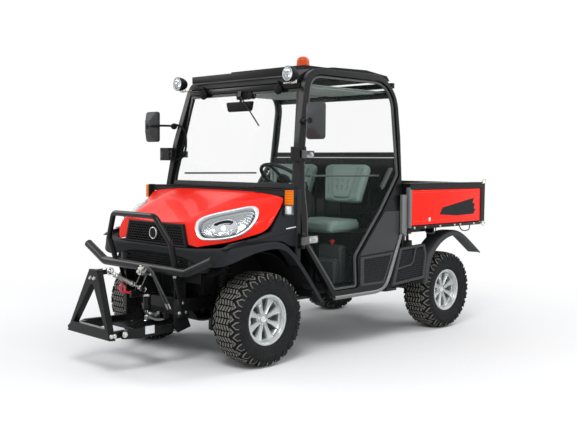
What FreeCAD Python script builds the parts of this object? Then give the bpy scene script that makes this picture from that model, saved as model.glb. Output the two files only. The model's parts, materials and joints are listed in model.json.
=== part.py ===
"""A side by side utility vehicle with a glazed cab, tipping bed and front linkage, in millimetres.

The front is towards -Y, the vehicle's left is +X and the ground is z = 0.
Every place below is measured from the point on the ground halfway between the axles.
Each finished piece is then set back by middle_y, so that the origin is under the middle of the whole.
"""
import FreeCAD, Part
import math
import os
import Sketcher

SIZES = {
    # Whole vehicle
    "wheel_base": 2035,
    "track_width": 1186,
    "rear_reach": 1460,
    "body_half": 752,
    "waist_height": 1000,
    "lean_in": 117,
    "lean_rise": 1000,
    # Clearances
    "seat_gap": 0.3,
    "running_gap": 0.3,
    "panel_gap": 8,
    "overrun": 5,
    # Tyres and rims
    "tyre_radius": 314,
    "tyre_width": 254,
    "tyre_wall": 14,
    "lug_depth": 15,
    "lug_length": 40,
    "lug_lean": 14,
    "lug_start": 8,
    "wall_relief": 6,
    "tread_pitches": 16,
    "crown_half": 100,
    "shoulder_drop": 22,
    "bulge_radius": 236,
    "bead_half": 92,
    "rim_seat_radius": 153,
    "rim_lip_radius": 170,
    "rim_wall": 8,
    "rim_half": 101,
    "rim_drop": 22,
    "disc_offset": 58,
    "disc_thickness": 16,
    "disc_dish": 22,
    "hub_boss_radius": 58,
    "hub_boss_length": 70,
    "spindle_radius": 30,
    "spindle_length": 50,
    "window_inner_radius": 66,
    "window_outer_radius": 128,
    "window_inner_half": 10,
    "window_outer_half": 30,
    # Ladder frame
    "rail_middle": 250,
    "rail_width": 60,
    "rail_height": 80,
    "rail_bottom": 360,
    "rail_front": 1380,
    "kick_start": 700,
    "kick_length": 60,
    "deck_rail_bottom": 760,
    "deck_rail_height": 60,
    "deck_rail_end": 1330,
    "cross_width": 50,
    "outrigger_height": 36,
    "outrigger_front": -400,
    "outrigger_rear": 10,
    "shock_tower_top": 800,
    "bed_post_place": 400,
    # Cab side hoops
    "hoop_width": 48,
    "hoop_front": 785,
    "hoop_length": 1160,
    "hoop_height": 1628,
    "sill_height": 400,
    "header_width": 30,
    "header_height": 40,
    "front_header_place": -632,
    "front_header_height": 1880,
    "front_header_rise": 24,
    "rear_header_place": 345,
    "rear_header_height": 1930,
    "waist_bar_height": 1400,
    "hinge_place": 790,
    "hinge_out": 785,
    "hinge_radius": 13,
    "hinge_height": 50,
    "hinge_strap": 8,
    "hinge_strap_length": 190,
    "upper_hinge_height": 1385,
    "lower_hinge_height": 805,
    "hinge_boss_height": 24,
    "bracket_reach": 63,
    "bracket_inset": 25,
    # Windscreen and rear window
    "screen_foot_place": -768,
    "screen_rise": 703,
    "screen_length": 715,
    "screen_lean": 129,
    "screen_band": 34,
    "screen_thickness": 18,
    "pane_thickness": 6,
    "rear_window_band": 30,
    # Doors
    "door_seal": 14,
    "door_seal_depth": 16,
    "door_inset": 14,
    "door_bar_radius": 7,
    "door_bar_height": 1262,
    "door_bar_front": -640,
    "door_bar_length": 760,
    "door_bar_standoff": 30,
    "handle_place": 150,
    "handle_height": 1170,
    "handle_run": 140,
    "handle_rise": 150,
    "handle_width": 34,
    "handle_depth": 22,
    # Floor, seats and controls
    "floor_thickness": 18,
    "floor_rear": 320,
    "toe_place": -560,
    "firewall_place": -745,
    "toe_rise": 200,
    "firewall_top": 1000,
    "seat_box_front": -90,
    "seat_box_rear": 320,
    "seat_box_top": 838,
    "seat_box_half": 600,
    "seat_box_wall": 16,
    "cushion_front": -285,
    "cushion_length": 400,
    "cushion_height": 90,
    "cushion_width": 480,
    "bench_width": 560,
    "seat_middle": 335,
    "bench_middle": 260,
    "seat_corner": 45,
    "back_place": 130,
    "back_thickness": 80,
    "back_height": 330,
    "back_foot": 1030,
    "back_lean_degrees": 12,
    "back_post_radius": 11,
    "back_post_place": 260,
    "back_post_height": 364,
    "dash_top": 1165,
    "dash_depth": 190,
    "dash_height": 220,
    "dash_half": 640,
    "column_radius": 24,
    "wheel_tilt_degrees": 35,
    "steering_place": -540,
    "steering_height": 1235,
    "steering_middle": 345,
    "steering_radius": 180,
    "steering_tube": 13,
    "steering_hub_radius": 42,
    "steering_hub_length": 36,
    "steering_spoke": 26,
    "steering_spoke_thickness": 10,
    "lever_radius": 9,
    "lever_height": 190,
    "lever_knob_radius": 20,
    "pedal_width": 70,
    "pedal_height": 90,
    "pedal_thickness": 12,
    "rear_wall_thickness": 24,
    "rear_wall_top": 1396,
    # Roof
    "roof_half": 584.5,
    "roof_front": 650,
    "roof_length": 1010,
    "roof_height": 142,
    "roof_base": 1905,
    "roof_thickness": 40,
    "roof_panel_half": 400,
    "roof_panel_front": -400,
    "roof_panel_length": 640,
    "roof_panel_rise": 12,
    # Hood, lamps and front
    "hood_front": 1415,
    "hood_length": 500,
    "hood_half": 735,
    "hood_base": 800,
    "hood_rise": 356,
    "hood_wall": 12,
    "lamp_front": 1405,
    "lamp_length": 318,
    "lamp_inner": 352,
    "lamp_reach": 338,
    "lamp_base": 842,
    "lamp_rise": 203,
    "grille_top_half": 304,
    "grille_bottom_half": 344,
    "grille_height": 150,
    "grille_base": 793,
    "grille_thickness": 22,
    "grille_place": 1430,
    "grille_bar": 10,
    "emblem_radius": 42,
    "emblem_depth": 16,
    "fascia_half": 470,
    "fascia_front": 1425,
    "fascia_depth": 150,
    "fascia_base": 634,
    "fascia_top": 784,
    "fascia_wall": 40,
    "low_grille_half": 360,
    "low_grille_base": 648,
    "low_grille_height": 84,
    "flare_inner": 704.5,
    "arch_inner": 600,
    "front_flare_front": 1459,
    "front_flare_length": 930,
    "front_flare_base": 400,
    "front_flare_height": 410,
    "rear_flare_front": 627,
    "rear_flare_base": 375,
    "rear_flare_height": 454,
    "flare_wall": 50,
    "shoulder_base": 790,
    "shoulder_front": 1370,
    "shoulder_length": 558,
    "cowl_front": 905,
    "cowl_base": 1128,
    "cowl_height": 44,
    "hood_hinge_radius": 6,
    "hood_hinge_width": 40,
    "hood_hinge_half": 450,
    "hood_hinge_place": 918,
    "hood_hinge_height": 1150,
    # Guard bar and bumper
    "guard_tube": 19,
    "guard_bend": 60,
    "guard_top_half": 238,
    "guard_mid_half": 357,
    "guard_foot_half": 339,
    "guard_top_place": 1597,
    "guard_mid_place": 1556,
    "guard_foot_place": 1512,
    "guard_top_height": 999,
    "guard_mid_height": 824,
    "guard_foot_height": 662,
    "bumper_tube": 30,
    "bumper_bend": 90,
    "bumper_corner_half": 465,
    "bumper_end_half": 712,
    "bumper_place": 1520,
    "bumper_end_place": 1500,
    "bumper_height": 646,
    "bumper_end_height": 746,
    # Front linkage
    "mount_half": 284,
    "mount_plate": 12,
    "mount_front_reach": 50,
    "mount_back": 1380,
    "mount_top_front": 1470,
    "mount_base": 228,
    "tower_half": 30,
    "tower_plate": 10,
    "arm_pivot_place": 1444,
    "arm_pivot_height": 256,
    "arm_length": 399,
    "coupler_ahead": 107,
    "arm_drop": 9,
    "arm_middle": 250,
    "arm_thickness": 24,
    "arm_eye_radius": 28,
    "arm_depth": 62,
    "link_pin_radius": 11,
    "cross_plate": 14,
    "cross_plate_front": 1660,
    "cross_plate_length": 130,
    "coupler_half": 248,
    "coupler_top_half": 42,
    "coupler_base": 236,
    "coupler_rise": 424,
    "coupler_leg": 52,
    "coupler_depth": 46,
    "coupler_lean": 40,
    "coupler_gusset": 95,
    "top_link_rear_place": 1539,
    "top_link_rear_height": 501,
    "top_link_front_place": 1812,
    "top_link_front_height": 642,
    "top_link_radius": 17,
    "top_link_eye": 20,
    "top_link_width": 26,
    "lift_cylinder_place": 1490,
    "lift_cylinder_top": 598,
    "lift_cylinder_eye": 268,
    "lift_barrel_radius": 26,
    "lift_barrel_length": 250,
    "lift_rod_radius": 11,
    # Axles and steering
    "kingpin_half": 470,
    "kingpin_radius": 19,
    "upright_thickness": 30,
    "upright_width": 76,
    "upright_base": 226,
    "upright_top": 428,
    "steer_arm_length": 110,
    "steer_arm_width": 36,
    "steer_arm_thickness": 14,
    "steer_arm_height": 354,
    "arm_spread": 140,
    "wishbone_tube": 13,
    "lower_wishbone_height": 222,
    "upper_wishbone_height": 436,
    "ball_end_radius": 16,
    "ball_end_gap": 0.6,
    "damper_radius": 26,
    "spring_radius": 40,
    "damper_shift": 90,
    "upper_spread": 70,
    "damper_foot_half": 360,
    "damper_foot_height": 224,
    "damper_top_height": 770,
    "rack_radius": 14,
    "rack_housing_half": 260,
    "gear_case_half": 120,
    "gear_case_length": 200,
    "gear_case_height": 150,
    "shaft_radius": 16,
    "boot_radius": 40,
    "boot_end_half": 416,
    "axle_tube_radius": 38,
    "axle_tube_half": 452,
    "prop_shaft_radius": 18,
    "prop_shaft_height": 275,
    "engine_front": 360,
    "engine_length": 280,
    "engine_base": 266,
    "engine_height": 534,
    # Side and rear bodywork
    "panel_thickness": 30,
    "side_panel_front": 110,
    "side_panel_base": 404,
    "side_panel_length": 560,
    "side_panel_height": 400,
    "mesh_recess": 10,
    "bed_half": 802,
    "bed_inside_half": 732,
    "bed_front": 361,
    "bed_inside_length": 980,
    "bed_wall": 30,
    "bed_floor_height": 880,
    "bed_floor_thickness": 16,
    "bed_wall_top": 1204,
    "bed_panel_thickness": 34,
    "bed_panel_base": 876,
    "bed_panel_top": 1156,
    "bed_rail": 48,
    "bed_hinge_place": 1300,
    "bed_hinge_height": 838,
    "bed_hinge_radius": 14,
    "bed_lug_width": 24,
    "gate_thickness": 32,
    "gate_hinge_radius": 9,
    "gate_lug_width": 40,
    "bed_cylinder_foot_place": 800,
    "bed_cylinder_foot_height": 470,
    "bed_cylinder_head_place": 980,
    "bed_cylinder_head_height": 825,
    "bed_barrel_radius": 28,
    "bed_barrel_length": 345,
    "bed_rod_radius": 17,
    "hitch_width": 60,
    "hitch_base": 400,
    "hitch_plate_width": 120,
    "hitch_reach": 1390,
    "hitch_hole_radius": 13,
    # Lamps, mirrors and wiper
    "mirror_out": 896,
    "mirror_place": 815,
    "mirror_height": 1627,
    "mirror_tall": 240,
    "mirror_wide": 150,
    "mirror_deep": 70,
    "mirror_stalk": 9,
    "signal_place": 912,
    "signal_base": 1009,
    "signal_tall": 164,
    "signal_wide": 50,
    "signal_deep": 52,
    "work_lamp_half": 606,
    "work_lamp_place": 733,
    "work_lamp_height": 1953,
    "work_lamp_radius": 52,
    "work_lamp_depth": 82,
    "beacon_radius": 56,
    "beacon_base_radius": 62,
    "beacon_base_height": 34,
    "beacon_height": 130,
    "wiper_radius": 5,
    "tail_lamp_width": 60,
    "tail_lamp_height": 110,
    "tail_lamp_depth": 24,
}

# Outlines as shares of the lengths and heights that they follow, with the bend radius as a share of the height
HOOP_SHARES = [
    (0.310, 0.000, 0.020), (0.025, 0.262, 0.055), (0.000, 0.473, 0.185), (0.034, 0.676, 0.240),
    (0.148, 0.993, 0.105), (1.000, 1.000, 0.153), (0.997, 0.713, 0.185), (0.974, 0.480, 0.185),
    (0.974, 0.296, 0.037), (0.759, 0.000, 0.068),
]
DOORWAY_SHARES = [
    (0.315, 0.030, 0.018), (0.534, 0.031, 0.018), (0.520, 0.172, 0.037), (0.965, 0.530, 0.037),
    (0.974, 0.970, 0.120), (0.181, 0.968, 0.090), (0.069, 0.627, 0.185), (0.052, 0.461, 0.120),
    (0.062, 0.250, 0.060),
]
ROOF_SHARES = [
    (0.000, 0.050), (0.010, 0.330), (0.120, 0.720), (0.360, 0.930), (0.720, 1.000), (0.965, 0.820),
    (1.000, 0.560), (0.940, 0.510), (0.700, 0.640), (0.360, 0.600), (0.140, 0.380), (0.050, 0.000),
]
# Hood sections from front to rear: share of the length, then half an outline from the middle outwards
HOOD_SHARES = [
    (0.00, [(0.00, 0.415), (0.42, 0.465), (0.55, 0.380), (0.61, 0.180), (0.60, 0.000)]),
    (0.30, [(0.00, 0.600), (0.46, 0.640), (0.70, 0.510), (0.82, 0.290), (0.82, 0.110)]),
    (0.70, [(0.00, 0.840), (0.53, 0.860), (0.86, 0.720), (1.00, 0.500), (1.00, 0.300)]),
    (1.00, [(0.00, 1.000), (0.57, 0.990), (0.90, 0.940), (1.00, 0.900), (1.00, 0.850)]),
]
LAMP_PLAN_SHARES = [
    (0.00, 0.00), (0.36, 0.05), (0.78, 0.42), (1.00, 1.00), (0.80, 0.98), (0.30, 0.52), (0.00, 0.36),
]
LAMP_SIDE_SHARES = [
    (-0.02, 0.02), (0.30, 0.02), (1.02, 0.62), (1.02, 1.00), (0.60, 0.92), (-0.02, 0.50),
]
FRONT_FLARE_SHARES = [
    (0.000, 0.812, 0.00), (0.287, 0.949, 0.25), (0.476, 1.000, 0.25), (0.680, 0.985, 0.12), (1.000, 0.056, 0.00),
    (0.960, 0.000, 0.00), (0.650, 0.845, 0.12), (0.476, 0.860, 0.25), (0.150, 0.760, 0.20), (0.000, 0.670, 0.00),
]
REAR_FLARE_SHARES = [
    (0.000, 0.011, 0.00), (0.025, 0.450, 0.15), (0.150, 0.800, 0.30), (0.450, 1.000, 0.30), (0.640, 0.975, 0.12),
    (1.000, 0.500, 0.00), (0.992, 0.478, 0.00), (0.625, 0.870, 0.10), (0.450, 0.880, 0.25), (0.210, 0.700, 0.30),
    (0.095, 0.380, 0.15), (0.073, 0.000, 0.00),
]
SIDE_PANEL_SHARES = [(0.03, 0.02), (0.345, 0.92), (0.43, 1.00), (1.00, 1.00), (0.905, 0.04)]
SHOULDER_SHARES = [
    (0.000, 0.000), (0.050, 0.100), (0.425, 0.245), (0.615, 0.330), (0.850, 0.950), (0.900, 1.000),
    (1.000, 1.000), (1.000, 0.000),
]
ARCH_TOP_SHARES = [
    (0.000, 0.812, 0.00), (0.287, 0.949, 0.25), (0.476, 1.000, 0.25), (0.660, 0.985, 0.00), (0.645, 0.850, 0.00),
    (0.476, 0.860, 0.25), (0.150, 0.760, 0.20), (0.000, 0.670, 0.00),
]
HINGE_EDGE_SHARES = (0.071, 0.060)


class Size:
    """A number together with the sheet expression that gives it."""

    def __init__(self, value, text):
        self.value = float(value)
        self.text = text

    def __float__(self):
        return self.value

    def __neg__(self):
        return Size(-self.value, f"(-{self.text})")

    def __add__(self, other):
        other = as_size(other)
        return Size(self.value + other.value, f"({self.text} + {other.text})")

    def __sub__(self, other):
        other = as_size(other)
        return Size(self.value - other.value, f"({self.text} - {other.text})")

    def __mul__(self, other):
        other = as_size(other)
        return Size(self.value * other.value, f"({self.text} * {other.text})")

    def __truediv__(self, other):
        other = as_size(other)
        return Size(self.value / other.value, f"({self.text} / {other.text})")


def as_size(number):
    if isinstance(number, Size):
        return number
    return Size(number, f"({round(float(number), 6)})")


class Names:
    """The driving sizes as attributes, so that s.wheel_base is the wheel base."""


doc = FreeCAD.newDocument("side_by_side")
s = Names()
nodes = []
zero = Size(0, "0")


def fill_sheet():
    sheet = doc.addObject("Spreadsheet::Sheet", "Sizes")
    for row, (name, value) in enumerate(SIZES.items(), start=1):
        sheet.set(f"A{row}", name)
        sheet.set(f"B{row}", str(value))
        sheet.setAlias(f"B{row}", name)
        setattr(s, name, Size(value, f"Sizes.{name}"))
    doc.recompute()


def bind(thing, prop, size):
    """Bind a property to the sheet."""
    thing.setExpression(prop, as_size(size).text)


def place(thing, x=zero, y=zero, z=zero):
    bind(thing, "Placement.Base.x", x)
    bind(thing, "Placement.Base.y", y)
    bind(thing, "Placement.Base.z", z)
    return thing


def turn(thing, axis, degrees):
    thing.Placement = FreeCAD.Placement(FreeCAD.Vector(), FreeCAD.Rotation(axis, degrees))
    return thing


X_AXIS = FreeCAD.Vector(1, 0, 0)
Y_AXIS = FreeCAD.Vector(0, 1, 0)
Z_AXIS = FreeCAD.Vector(0, 0, 1)
QUARTER = 90


def box(x, y, z, length, width, height):
    """A block from its low corner."""
    thing = doc.addObject("Part::Box", "block")
    bind(thing, "Length", length)
    bind(thing, "Width", width)
    bind(thing, "Height", height)
    return place(thing, x, y, z)


def box_across(half, y, z, width, height):
    """A block that reaches equally far to both sides of the middle."""
    return box(-half, y, z, half * 2, width, height)


def cylinder(axis, x, y, z, radius, length):
    """A round bar that starts at x, y, z and runs along the named axis."""
    thing = doc.addObject("Part::Cylinder", "bar")
    bind(thing, "Radius", radius)
    bind(thing, "Height", length)
    if axis == "x":
        turn(thing, Y_AXIS, QUARTER)
    if axis == "y":
        turn(thing, X_AXIS, -QUARTER)
    return place(thing, x, y, z)


def ball(x, y, z, radius):
    thing = doc.addObject("Part::Sphere", "ball")
    bind(thing, "Radius", radius)
    return place(thing, x, y, z)


def fuse(things, label="union"):
    whole = doc.addObject("Part::MultiFuse", label)
    whole.Shapes = things
    whole.Refine = True
    return whole


def group(things, label="set"):
    whole = doc.addObject("Part::Compound", label)
    whole.Links = things
    return whole


def cut(base, tools, label="cut"):
    result = doc.addObject("Part::Cut", label)
    result.Base = base
    result.Tool = tools[0] if len(tools) == 1 else fuse(tools)
    return result


def common(one, other, label="common"):
    result = doc.addObject("Part::Common", label)
    result.Base = one
    result.Tool = other
    return result


def mirror(thing):
    """The same thing on the vehicle's other side."""
    result = doc.addObject("Part::Mirroring", "mirrored")
    result.Source = thing
    result.Normal = X_AXIS
    return result


def plane_of(body, role):
    return [feature for feature in body.Origin.OriginFeatures if feature.Role == role][0]


def corner_of(corners, index):
    corner = corners[index % len(corners)]
    return float(corner[0]), float(corner[1])


def tangent_points(corners, index, radius):
    """Where a bend of this radius leaves the two sides at a corner, and its centre."""
    px, py = corner_of(corners, index)
    ax, ay = corner_of(corners, index - 1)
    bx, by = corner_of(corners, index + 1)
    back = FreeCAD.Vector(ax - px, ay - py, 0).normalize()
    ahead = FreeCAD.Vector(bx - px, by - py, 0).normalize()
    half_angle = math.acos(max(-1, min(1, back.dot(ahead)))) / 2
    reach = radius / math.tan(half_angle)
    point = FreeCAD.Vector(px, py, 0)
    centre = point + (back + ahead).normalize() * (radius / math.sin(half_angle))
    counter_clockwise = back.cross(ahead).z < 0
    return point + back * reach, point + ahead * reach, centre, counter_clockwise


def fix_point(sketch, geometry, vertex, corner):
    """Hold one sketch point at a place taken from the sheet."""
    for kind, size, axis in (("DistanceX", corner[0], -2), ("DistanceY", corner[1], -1)):
        if abs(float(size)) < 1e-9:
            sketch.addConstraint(Sketcher.Constraint("PointOnObject", geometry, vertex, axis))
        else:
            index = sketch.addConstraint(Sketcher.Constraint(kind, -1, 1, geometry, vertex, float(size)))
            sketch.setExpression(f"Constraints[{index}]", as_size(size).text)


def draw_outline(sketch, corners):
    """Draw a closed outline whose corners may carry a bend radius as a third value."""
    count = len(corners)
    starts, ends, bends = [], [], []
    for index, corner in enumerate(corners):
        radius = float(corner[2]) if len(corner) > 2 else 0
        if radius > 0:
            first, last, centre, counter_clockwise = tangent_points(corners, index, radius)
            bends.append((first, last, centre, counter_clockwise))
            ends.append(first)
            starts.append(last)
        else:
            px, py = corner_of(corners, index)
            bends.append(None)
            ends.append(FreeCAD.Vector(px, py, 0))
            starts.append(FreeCAD.Vector(px, py, 0))
    lines = [sketch.addGeometry(Part.LineSegment(starts[i], ends[(i + 1) % count]), False) for i in range(count)]
    for index, corner in enumerate(corners):
        before = lines[index - 1]
        after = lines[index]
        if bends[index] is None:
            sketch.addConstraint(Sketcher.Constraint("Coincident", before, 2, after, 1))
            fix_point(sketch, after, 1, corner)
            continue
        first, last, centre, counter_clockwise = bends[index]
        radius = float(corner[2])
        low, high = (first, last) if counter_clockwise else (last, first)
        circle = Part.Circle(centre, Z_AXIS, radius)
        arc = Part.ArcOfCircle(circle, circle.parameter(low), circle.parameter(high))
        bend = sketch.addGeometry(arc, False)
        enter, leave = (1, 2) if counter_clockwise else (2, 1)
        sketch.addConstraint(Sketcher.Constraint("Tangent", before, 2, bend, enter))
        sketch.addConstraint(Sketcher.Constraint("Tangent", after, 1, bend, leave))
        size = sketch.addConstraint(Sketcher.Constraint("Radius", bend, radius))
        sketch.setExpression(f"Constraints[{size}]", as_size(corner[2]).text)
        px, py = corner_of(corners, index)
        point = sketch.addGeometry(Part.Point(FreeCAD.Vector(px, py, 0)), True)
        sketch.addConstraint(Sketcher.Constraint("PointOnObject", point, 1, before))
        sketch.addConstraint(Sketcher.Constraint("PointOnObject", point, 1, after))
        fix_point(sketch, point, 1, corner)


def draw(body, role, outlines):
    sketch = body.newObject("Sketcher::SketchObject", "outline")
    sketch.AttachmentSupport = [(plane_of(body, role), "")]
    sketch.MapMode = "FlatFace"
    for corners in outlines:
        draw_outline(sketch, corners)
    return sketch


def prism(facing, outlines, start, thickness):
    """Pad outlines. facing is side (drawn in y, z), front (x, z) or top (x, y)."""
    role = {"side": "YZ_Plane", "front": "XZ_Plane", "top": "XY_Plane"}[facing]
    body = doc.addObject("PartDesign::Body", "pad_body")
    sketch = draw(body, role, outlines)
    pad = body.newObject("PartDesign::Pad", "pad")
    pad.Profile = sketch
    pad.Reversed = facing == "front"
    bind(pad, "Length", thickness)
    if facing == "side":
        return place(body, x=start)
    if facing == "front":
        return place(body, y=start)
    return place(body, z=start)


def turned(profile, axis="z", flip=False):
    """Revolve a profile of radius and height about its own axis, which then lies along the named axis."""
    body = doc.addObject("PartDesign::Body", "turned_body")
    sketch = draw(body, "XZ_Plane", [profile])
    revolution = body.newObject("PartDesign::Revolution", "revolution")
    revolution.Profile = sketch
    revolution.ReferenceAxis = (sketch, ["V_Axis"])
    revolution.Angle = 360
    sign = -1 if flip else 1
    if axis == "x":
        turn(body, Y_AXIS, QUARTER * sign)
    if axis == "y":
        turn(body, X_AXIS, -QUARTER * sign)
    return body


def vector(point):
    return FreeCAD.Vector(float(point[0]), float(point[1]), float(point[2]))


def tube(points, radius, bend=0):
    """A round bar along straight runs joined by arcs."""
    spots = [vector(point) for point in points]
    edges = []
    last = spots[0]
    for index in range(1, len(spots) - 1):
        here = spots[index]
        back = (spots[index - 1] - here).normalize()
        ahead = (spots[index + 1] - here).normalize()
        half_angle = math.acos(max(-1, min(1, back.dot(ahead)))) / 2
        reach = float(bend) / math.tan(half_angle)
        middle = here + (back + ahead).normalize() * (float(bend) / math.sin(half_angle) - float(bend))
        edges.append(Part.LineSegment(last, here + back * reach).toShape())
        edges.append(Part.Arc(here + back * reach, middle, here + ahead * reach).toShape())
        last = here + ahead * reach
    edges.append(Part.LineSegment(last, spots[-1]).toShape())
    path = Part.Wire(edges)
    ring = Part.Wire([Part.Circle(spots[0], spots[1] - spots[0], float(radius)).toShape()])
    thing = doc.addObject("Part::Feature", "bent_tube")
    thing.Shape = path.makePipeShell([ring], True, False)
    return thing


def loft(sections):
    """A closed body through polygons with like corners."""
    wires = [Part.makePolygon([vector(point) for point in section + section[:1]]) for section in sections]
    thing = doc.addObject("Part::Feature", "loft")
    thing.Shape = Part.makeLoft(wires, True, True)
    return thing


def inset(corners, gap):
    """An outline moved inwards by a gap, its bends kept round."""
    area = 0
    for index in range(len(corners)):
        ax, ay = corner_of(corners, index)
        bx, by = corner_of(corners, index + 1)
        area += ax * by - bx * ay
    side = 1 if area > 0 else -1
    moved = []
    for index, corner in enumerate(corners):
        px, py = corner_of(corners, index)
        ax, ay = corner_of(corners, index - 1)
        bx, by = corner_of(corners, index + 1)
        along = FreeCAD.Vector(px - ax, py - ay, 0).normalize()
        ahead = FreeCAD.Vector(bx - px, by - py, 0).normalize()
        inward = FreeCAD.Vector(-along.y, along.x, 0) * side
        inward_next = FreeCAD.Vector(-ahead.y, ahead.x, 0) * side
        shift = (inward + inward_next) * (1 / (1 + inward.dot(inward_next)))
        outward_bend = along.cross(ahead).z * side > 0
        new = [corner[0] + gap * shift.x, corner[1] + gap * shift.y]
        if len(corner) > 2 and float(corner[2]) > 0:
            new.append(corner[2] - gap if outward_bend else corner[2] + gap)
        moved.append(tuple(new))
    return moved


def shared(shares, u_start, u_length, v_start, v_length):
    """Corners from shares of a length and a height, with bend radii as shares of the height."""
    corners = []
    for share in shares:
        corner = [u_start + u_length * share[0], v_start + v_length * share[1]]
        if len(share) > 2:
            corner.append(v_length * share[2])
        corners.append(tuple(corner))
    return corners


def finish(label, things, apart=False):
    """Make the finished piece, set back so that the origin is under the middle of the vehicle."""
    whole = group(things, label) if apart else fuse(things, label)
    whole.Label = label
    if len(things) == 1 and not apart:
        doc.removeObject(whole.Name)
        whole = group(things, label)
        whole.Label = label
    bind(whole, "Placement.Base.y", middle_y())
    nodes.append(whole)
    return whole


def front_reach():
    """How far ahead of the wheelbase's middle the coupler's foot stands."""
    return s.arm_pivot_place + s.arm_length + s.coupler_ahead


def middle_y():
    return (front_reach() - s.rear_reach) / 2


def lean_at(height):
    """How far the cab side leans in at a height above the waist."""
    return (height - s.waist_height) * s.lean_in / s.lean_rise


def lean_degrees():
    return math.degrees(math.atan2(float(s.lean_in), float(s.lean_rise)))


def leaning(outlines, out, thickness):
    """A side panel that stands upright to the waist and leans in above it, its outer face at out."""
    far = s.hoop_height * 2
    low = prism("side", outlines, out - thickness, thickness)
    below = box(out - thickness - s.overrun, -far, -far, thickness + s.overrun * 2, far * 2, far + s.waist_height)
    lower = common(low, below)
    drawn_again = [[(c[0], c[1] - s.waist_height) + tuple(c[2:]) for c in corners] for corners in outlines]
    high = prism("side", drawn_again, -thickness, thickness)
    above = box(-thickness - s.overrun, -far, zero, thickness + s.overrun * 2, far * 2, far)
    upper = turn(common(high, above), Y_AXIS, -lean_degrees())
    place(upper, out, zero, s.waist_height)
    return fuse([lower, upper])


def hoop_outline():
    return shared(HOOP_SHARES, -s.hoop_front, s.hoop_length, s.sill_height, s.hoop_height)


def doorway_outline():
    return shared(DOORWAY_SHARES, -s.hoop_front, s.hoop_length, s.sill_height, s.hoop_height)


def axle_height():
    return s.tyre_radius


def axle_places():
    return -s.wheel_base / 2, s.wheel_base / 2


def faceted_ring(profile, pitches):
    """A closed ring of flat faces about the X axis. The profile's distances are those of the faces' middles."""
    count = int(pitches.value)
    step = math.tau / count
    reach = 1 / math.cos(step / 2)
    faces = []
    for index in range(count):
        start = step * (index - 0.5)
        for (near, near_x), (far, far_x) in zip(profile, profile[1:] + profile[:1]):
            corners = []
            for radius, x, angle in ((near, near_x, start), (near, near_x, start + step), (far, far_x, start + step),
                                     (far, far_x, start)):
                around = float(radius) * reach
                corners.append(vector((x, around * math.sin(angle), around * math.cos(angle))))
            faces.append(Part.Face(Part.makePolygon(corners + corners[:1])))
    thing = doc.addObject("Part::Feature", "faceted_ring")
    thing.Shape = Part.Solid(Part.Shell(faces))
    return thing


def tread_lug():
    """One lug, from the middle of the crown over the shoulder and down on to the wall."""
    half = s.tyre_width / 2
    root = s.tyre_radius - s.lug_depth * 1.3
    inside = half - s.wall_relief * 2

    def section(place, start):
        return [(start, place, root), (start, place, s.tyre_radius), (s.crown_half, place, s.tyre_radius),
                (half, place, s.tyre_radius - s.shoulder_drop * 1.5), (half, place, s.bulge_radius),
                (inside, place, s.bulge_radius), (s.crown_half - s.wall_relief, place, root)]

    return loft([section(-s.lug_length / 2, s.lug_start), section(s.lug_length / 2, s.lug_start + s.lug_lean)])


def tyre_shape():
    """The tyre about its own middle: faceted walls and crown, with a lug to each side on every facet."""
    half = s.tyre_width / 2
    crown = s.tyre_radius - s.lug_depth
    bead = s.rim_seat_radius + s.seat_gap
    inner = s.tyre_wall
    lip = s.rim_lip_radius + s.seat_gap
    profile = [
        (bead, -s.bead_half), (lip, -s.bead_half), (s.bulge_radius, s.wall_relief - half), (crown, -s.crown_half),
        (crown, s.crown_half), (s.bulge_radius, half - s.wall_relief), (lip, s.bead_half), (bead, s.bead_half),
        (bead, s.bead_half - inner), (crown - inner, s.crown_half - inner), (crown - inner, inner - s.crown_half),
        (bead, inner - s.bead_half),
    ]
    lug = tread_lug()
    lugs = ring_of(lug, s.tread_pitches)
    return [faceted_ring(profile, s.tread_pitches), *lugs, mirror(group(lugs))]


def tyre(label, side, axle_place):
    """An open tyre with wall and lugs, standing on the flat of a lug."""
    body = fuse(tyre_shape())
    place(body, s.track_width / 2 * side, axle_place, axle_height())
    finish(label, [body])


def rim(label, side, axle_place):
    """A rim with a dished disc, eight windows and a bored hub."""
    wall = s.rim_wall
    seat = s.rim_seat_radius
    barrel = turned([
        (s.rim_lip_radius, -s.rim_half), (s.rim_lip_radius, wall - s.rim_half),
        (seat, s.rim_wall - s.rim_half), (seat, s.rim_half - wall), (s.rim_lip_radius, s.rim_half - wall),
        (s.rim_lip_radius, s.rim_half), (seat - wall, s.rim_half), (seat - s.rim_drop, s.rim_half - s.rim_drop),
        (seat - s.rim_drop, s.rim_drop - s.rim_half), (seat - wall, -s.rim_half),
    ], "x")
    rear = s.disc_offset - s.disc_thickness
    disc = turned([
        (s.spindle_radius / 2, rear - s.disc_dish), (s.hub_boss_radius, rear - s.disc_dish),
        (seat - s.rim_drop + wall / 2, rear), (seat - s.rim_drop + wall / 2, s.disc_offset),
        (s.hub_boss_radius, s.disc_offset - s.disc_dish), (s.spindle_radius / 2, s.disc_offset - s.disc_dish),
    ], "x", flip=side < 0)
    bore = s.spindle_radius + s.running_gap
    boss_end = rear - s.disc_dish - s.hub_boss_length
    hub = turned([
        (zero, s.disc_offset), (s.spindle_radius * 1.1, s.disc_offset), (s.hub_boss_radius, rear),
        (s.hub_boss_radius, boss_end), (bore, boss_end), (bore, boss_end + s.spindle_length + s.running_gap),
        (zero, boss_end + s.spindle_length + s.running_gap),
    ], "x", flip=side < 0)
    window = prism("side", [[
        (-s.window_inner_half, s.window_inner_radius), (s.window_inner_half, s.window_inner_radius),
        (s.window_outer_half, s.window_outer_radius), (-s.window_outer_half, s.window_outer_radius),
    ]], -s.rim_half, s.rim_half * 2)
    wheel = fuse([barrel, cut(disc, ring_of(window, 8)), hub])
    place(wheel, s.track_width / 2 * side, axle_place, axle_height())
    finish(label, [wheel])


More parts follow.
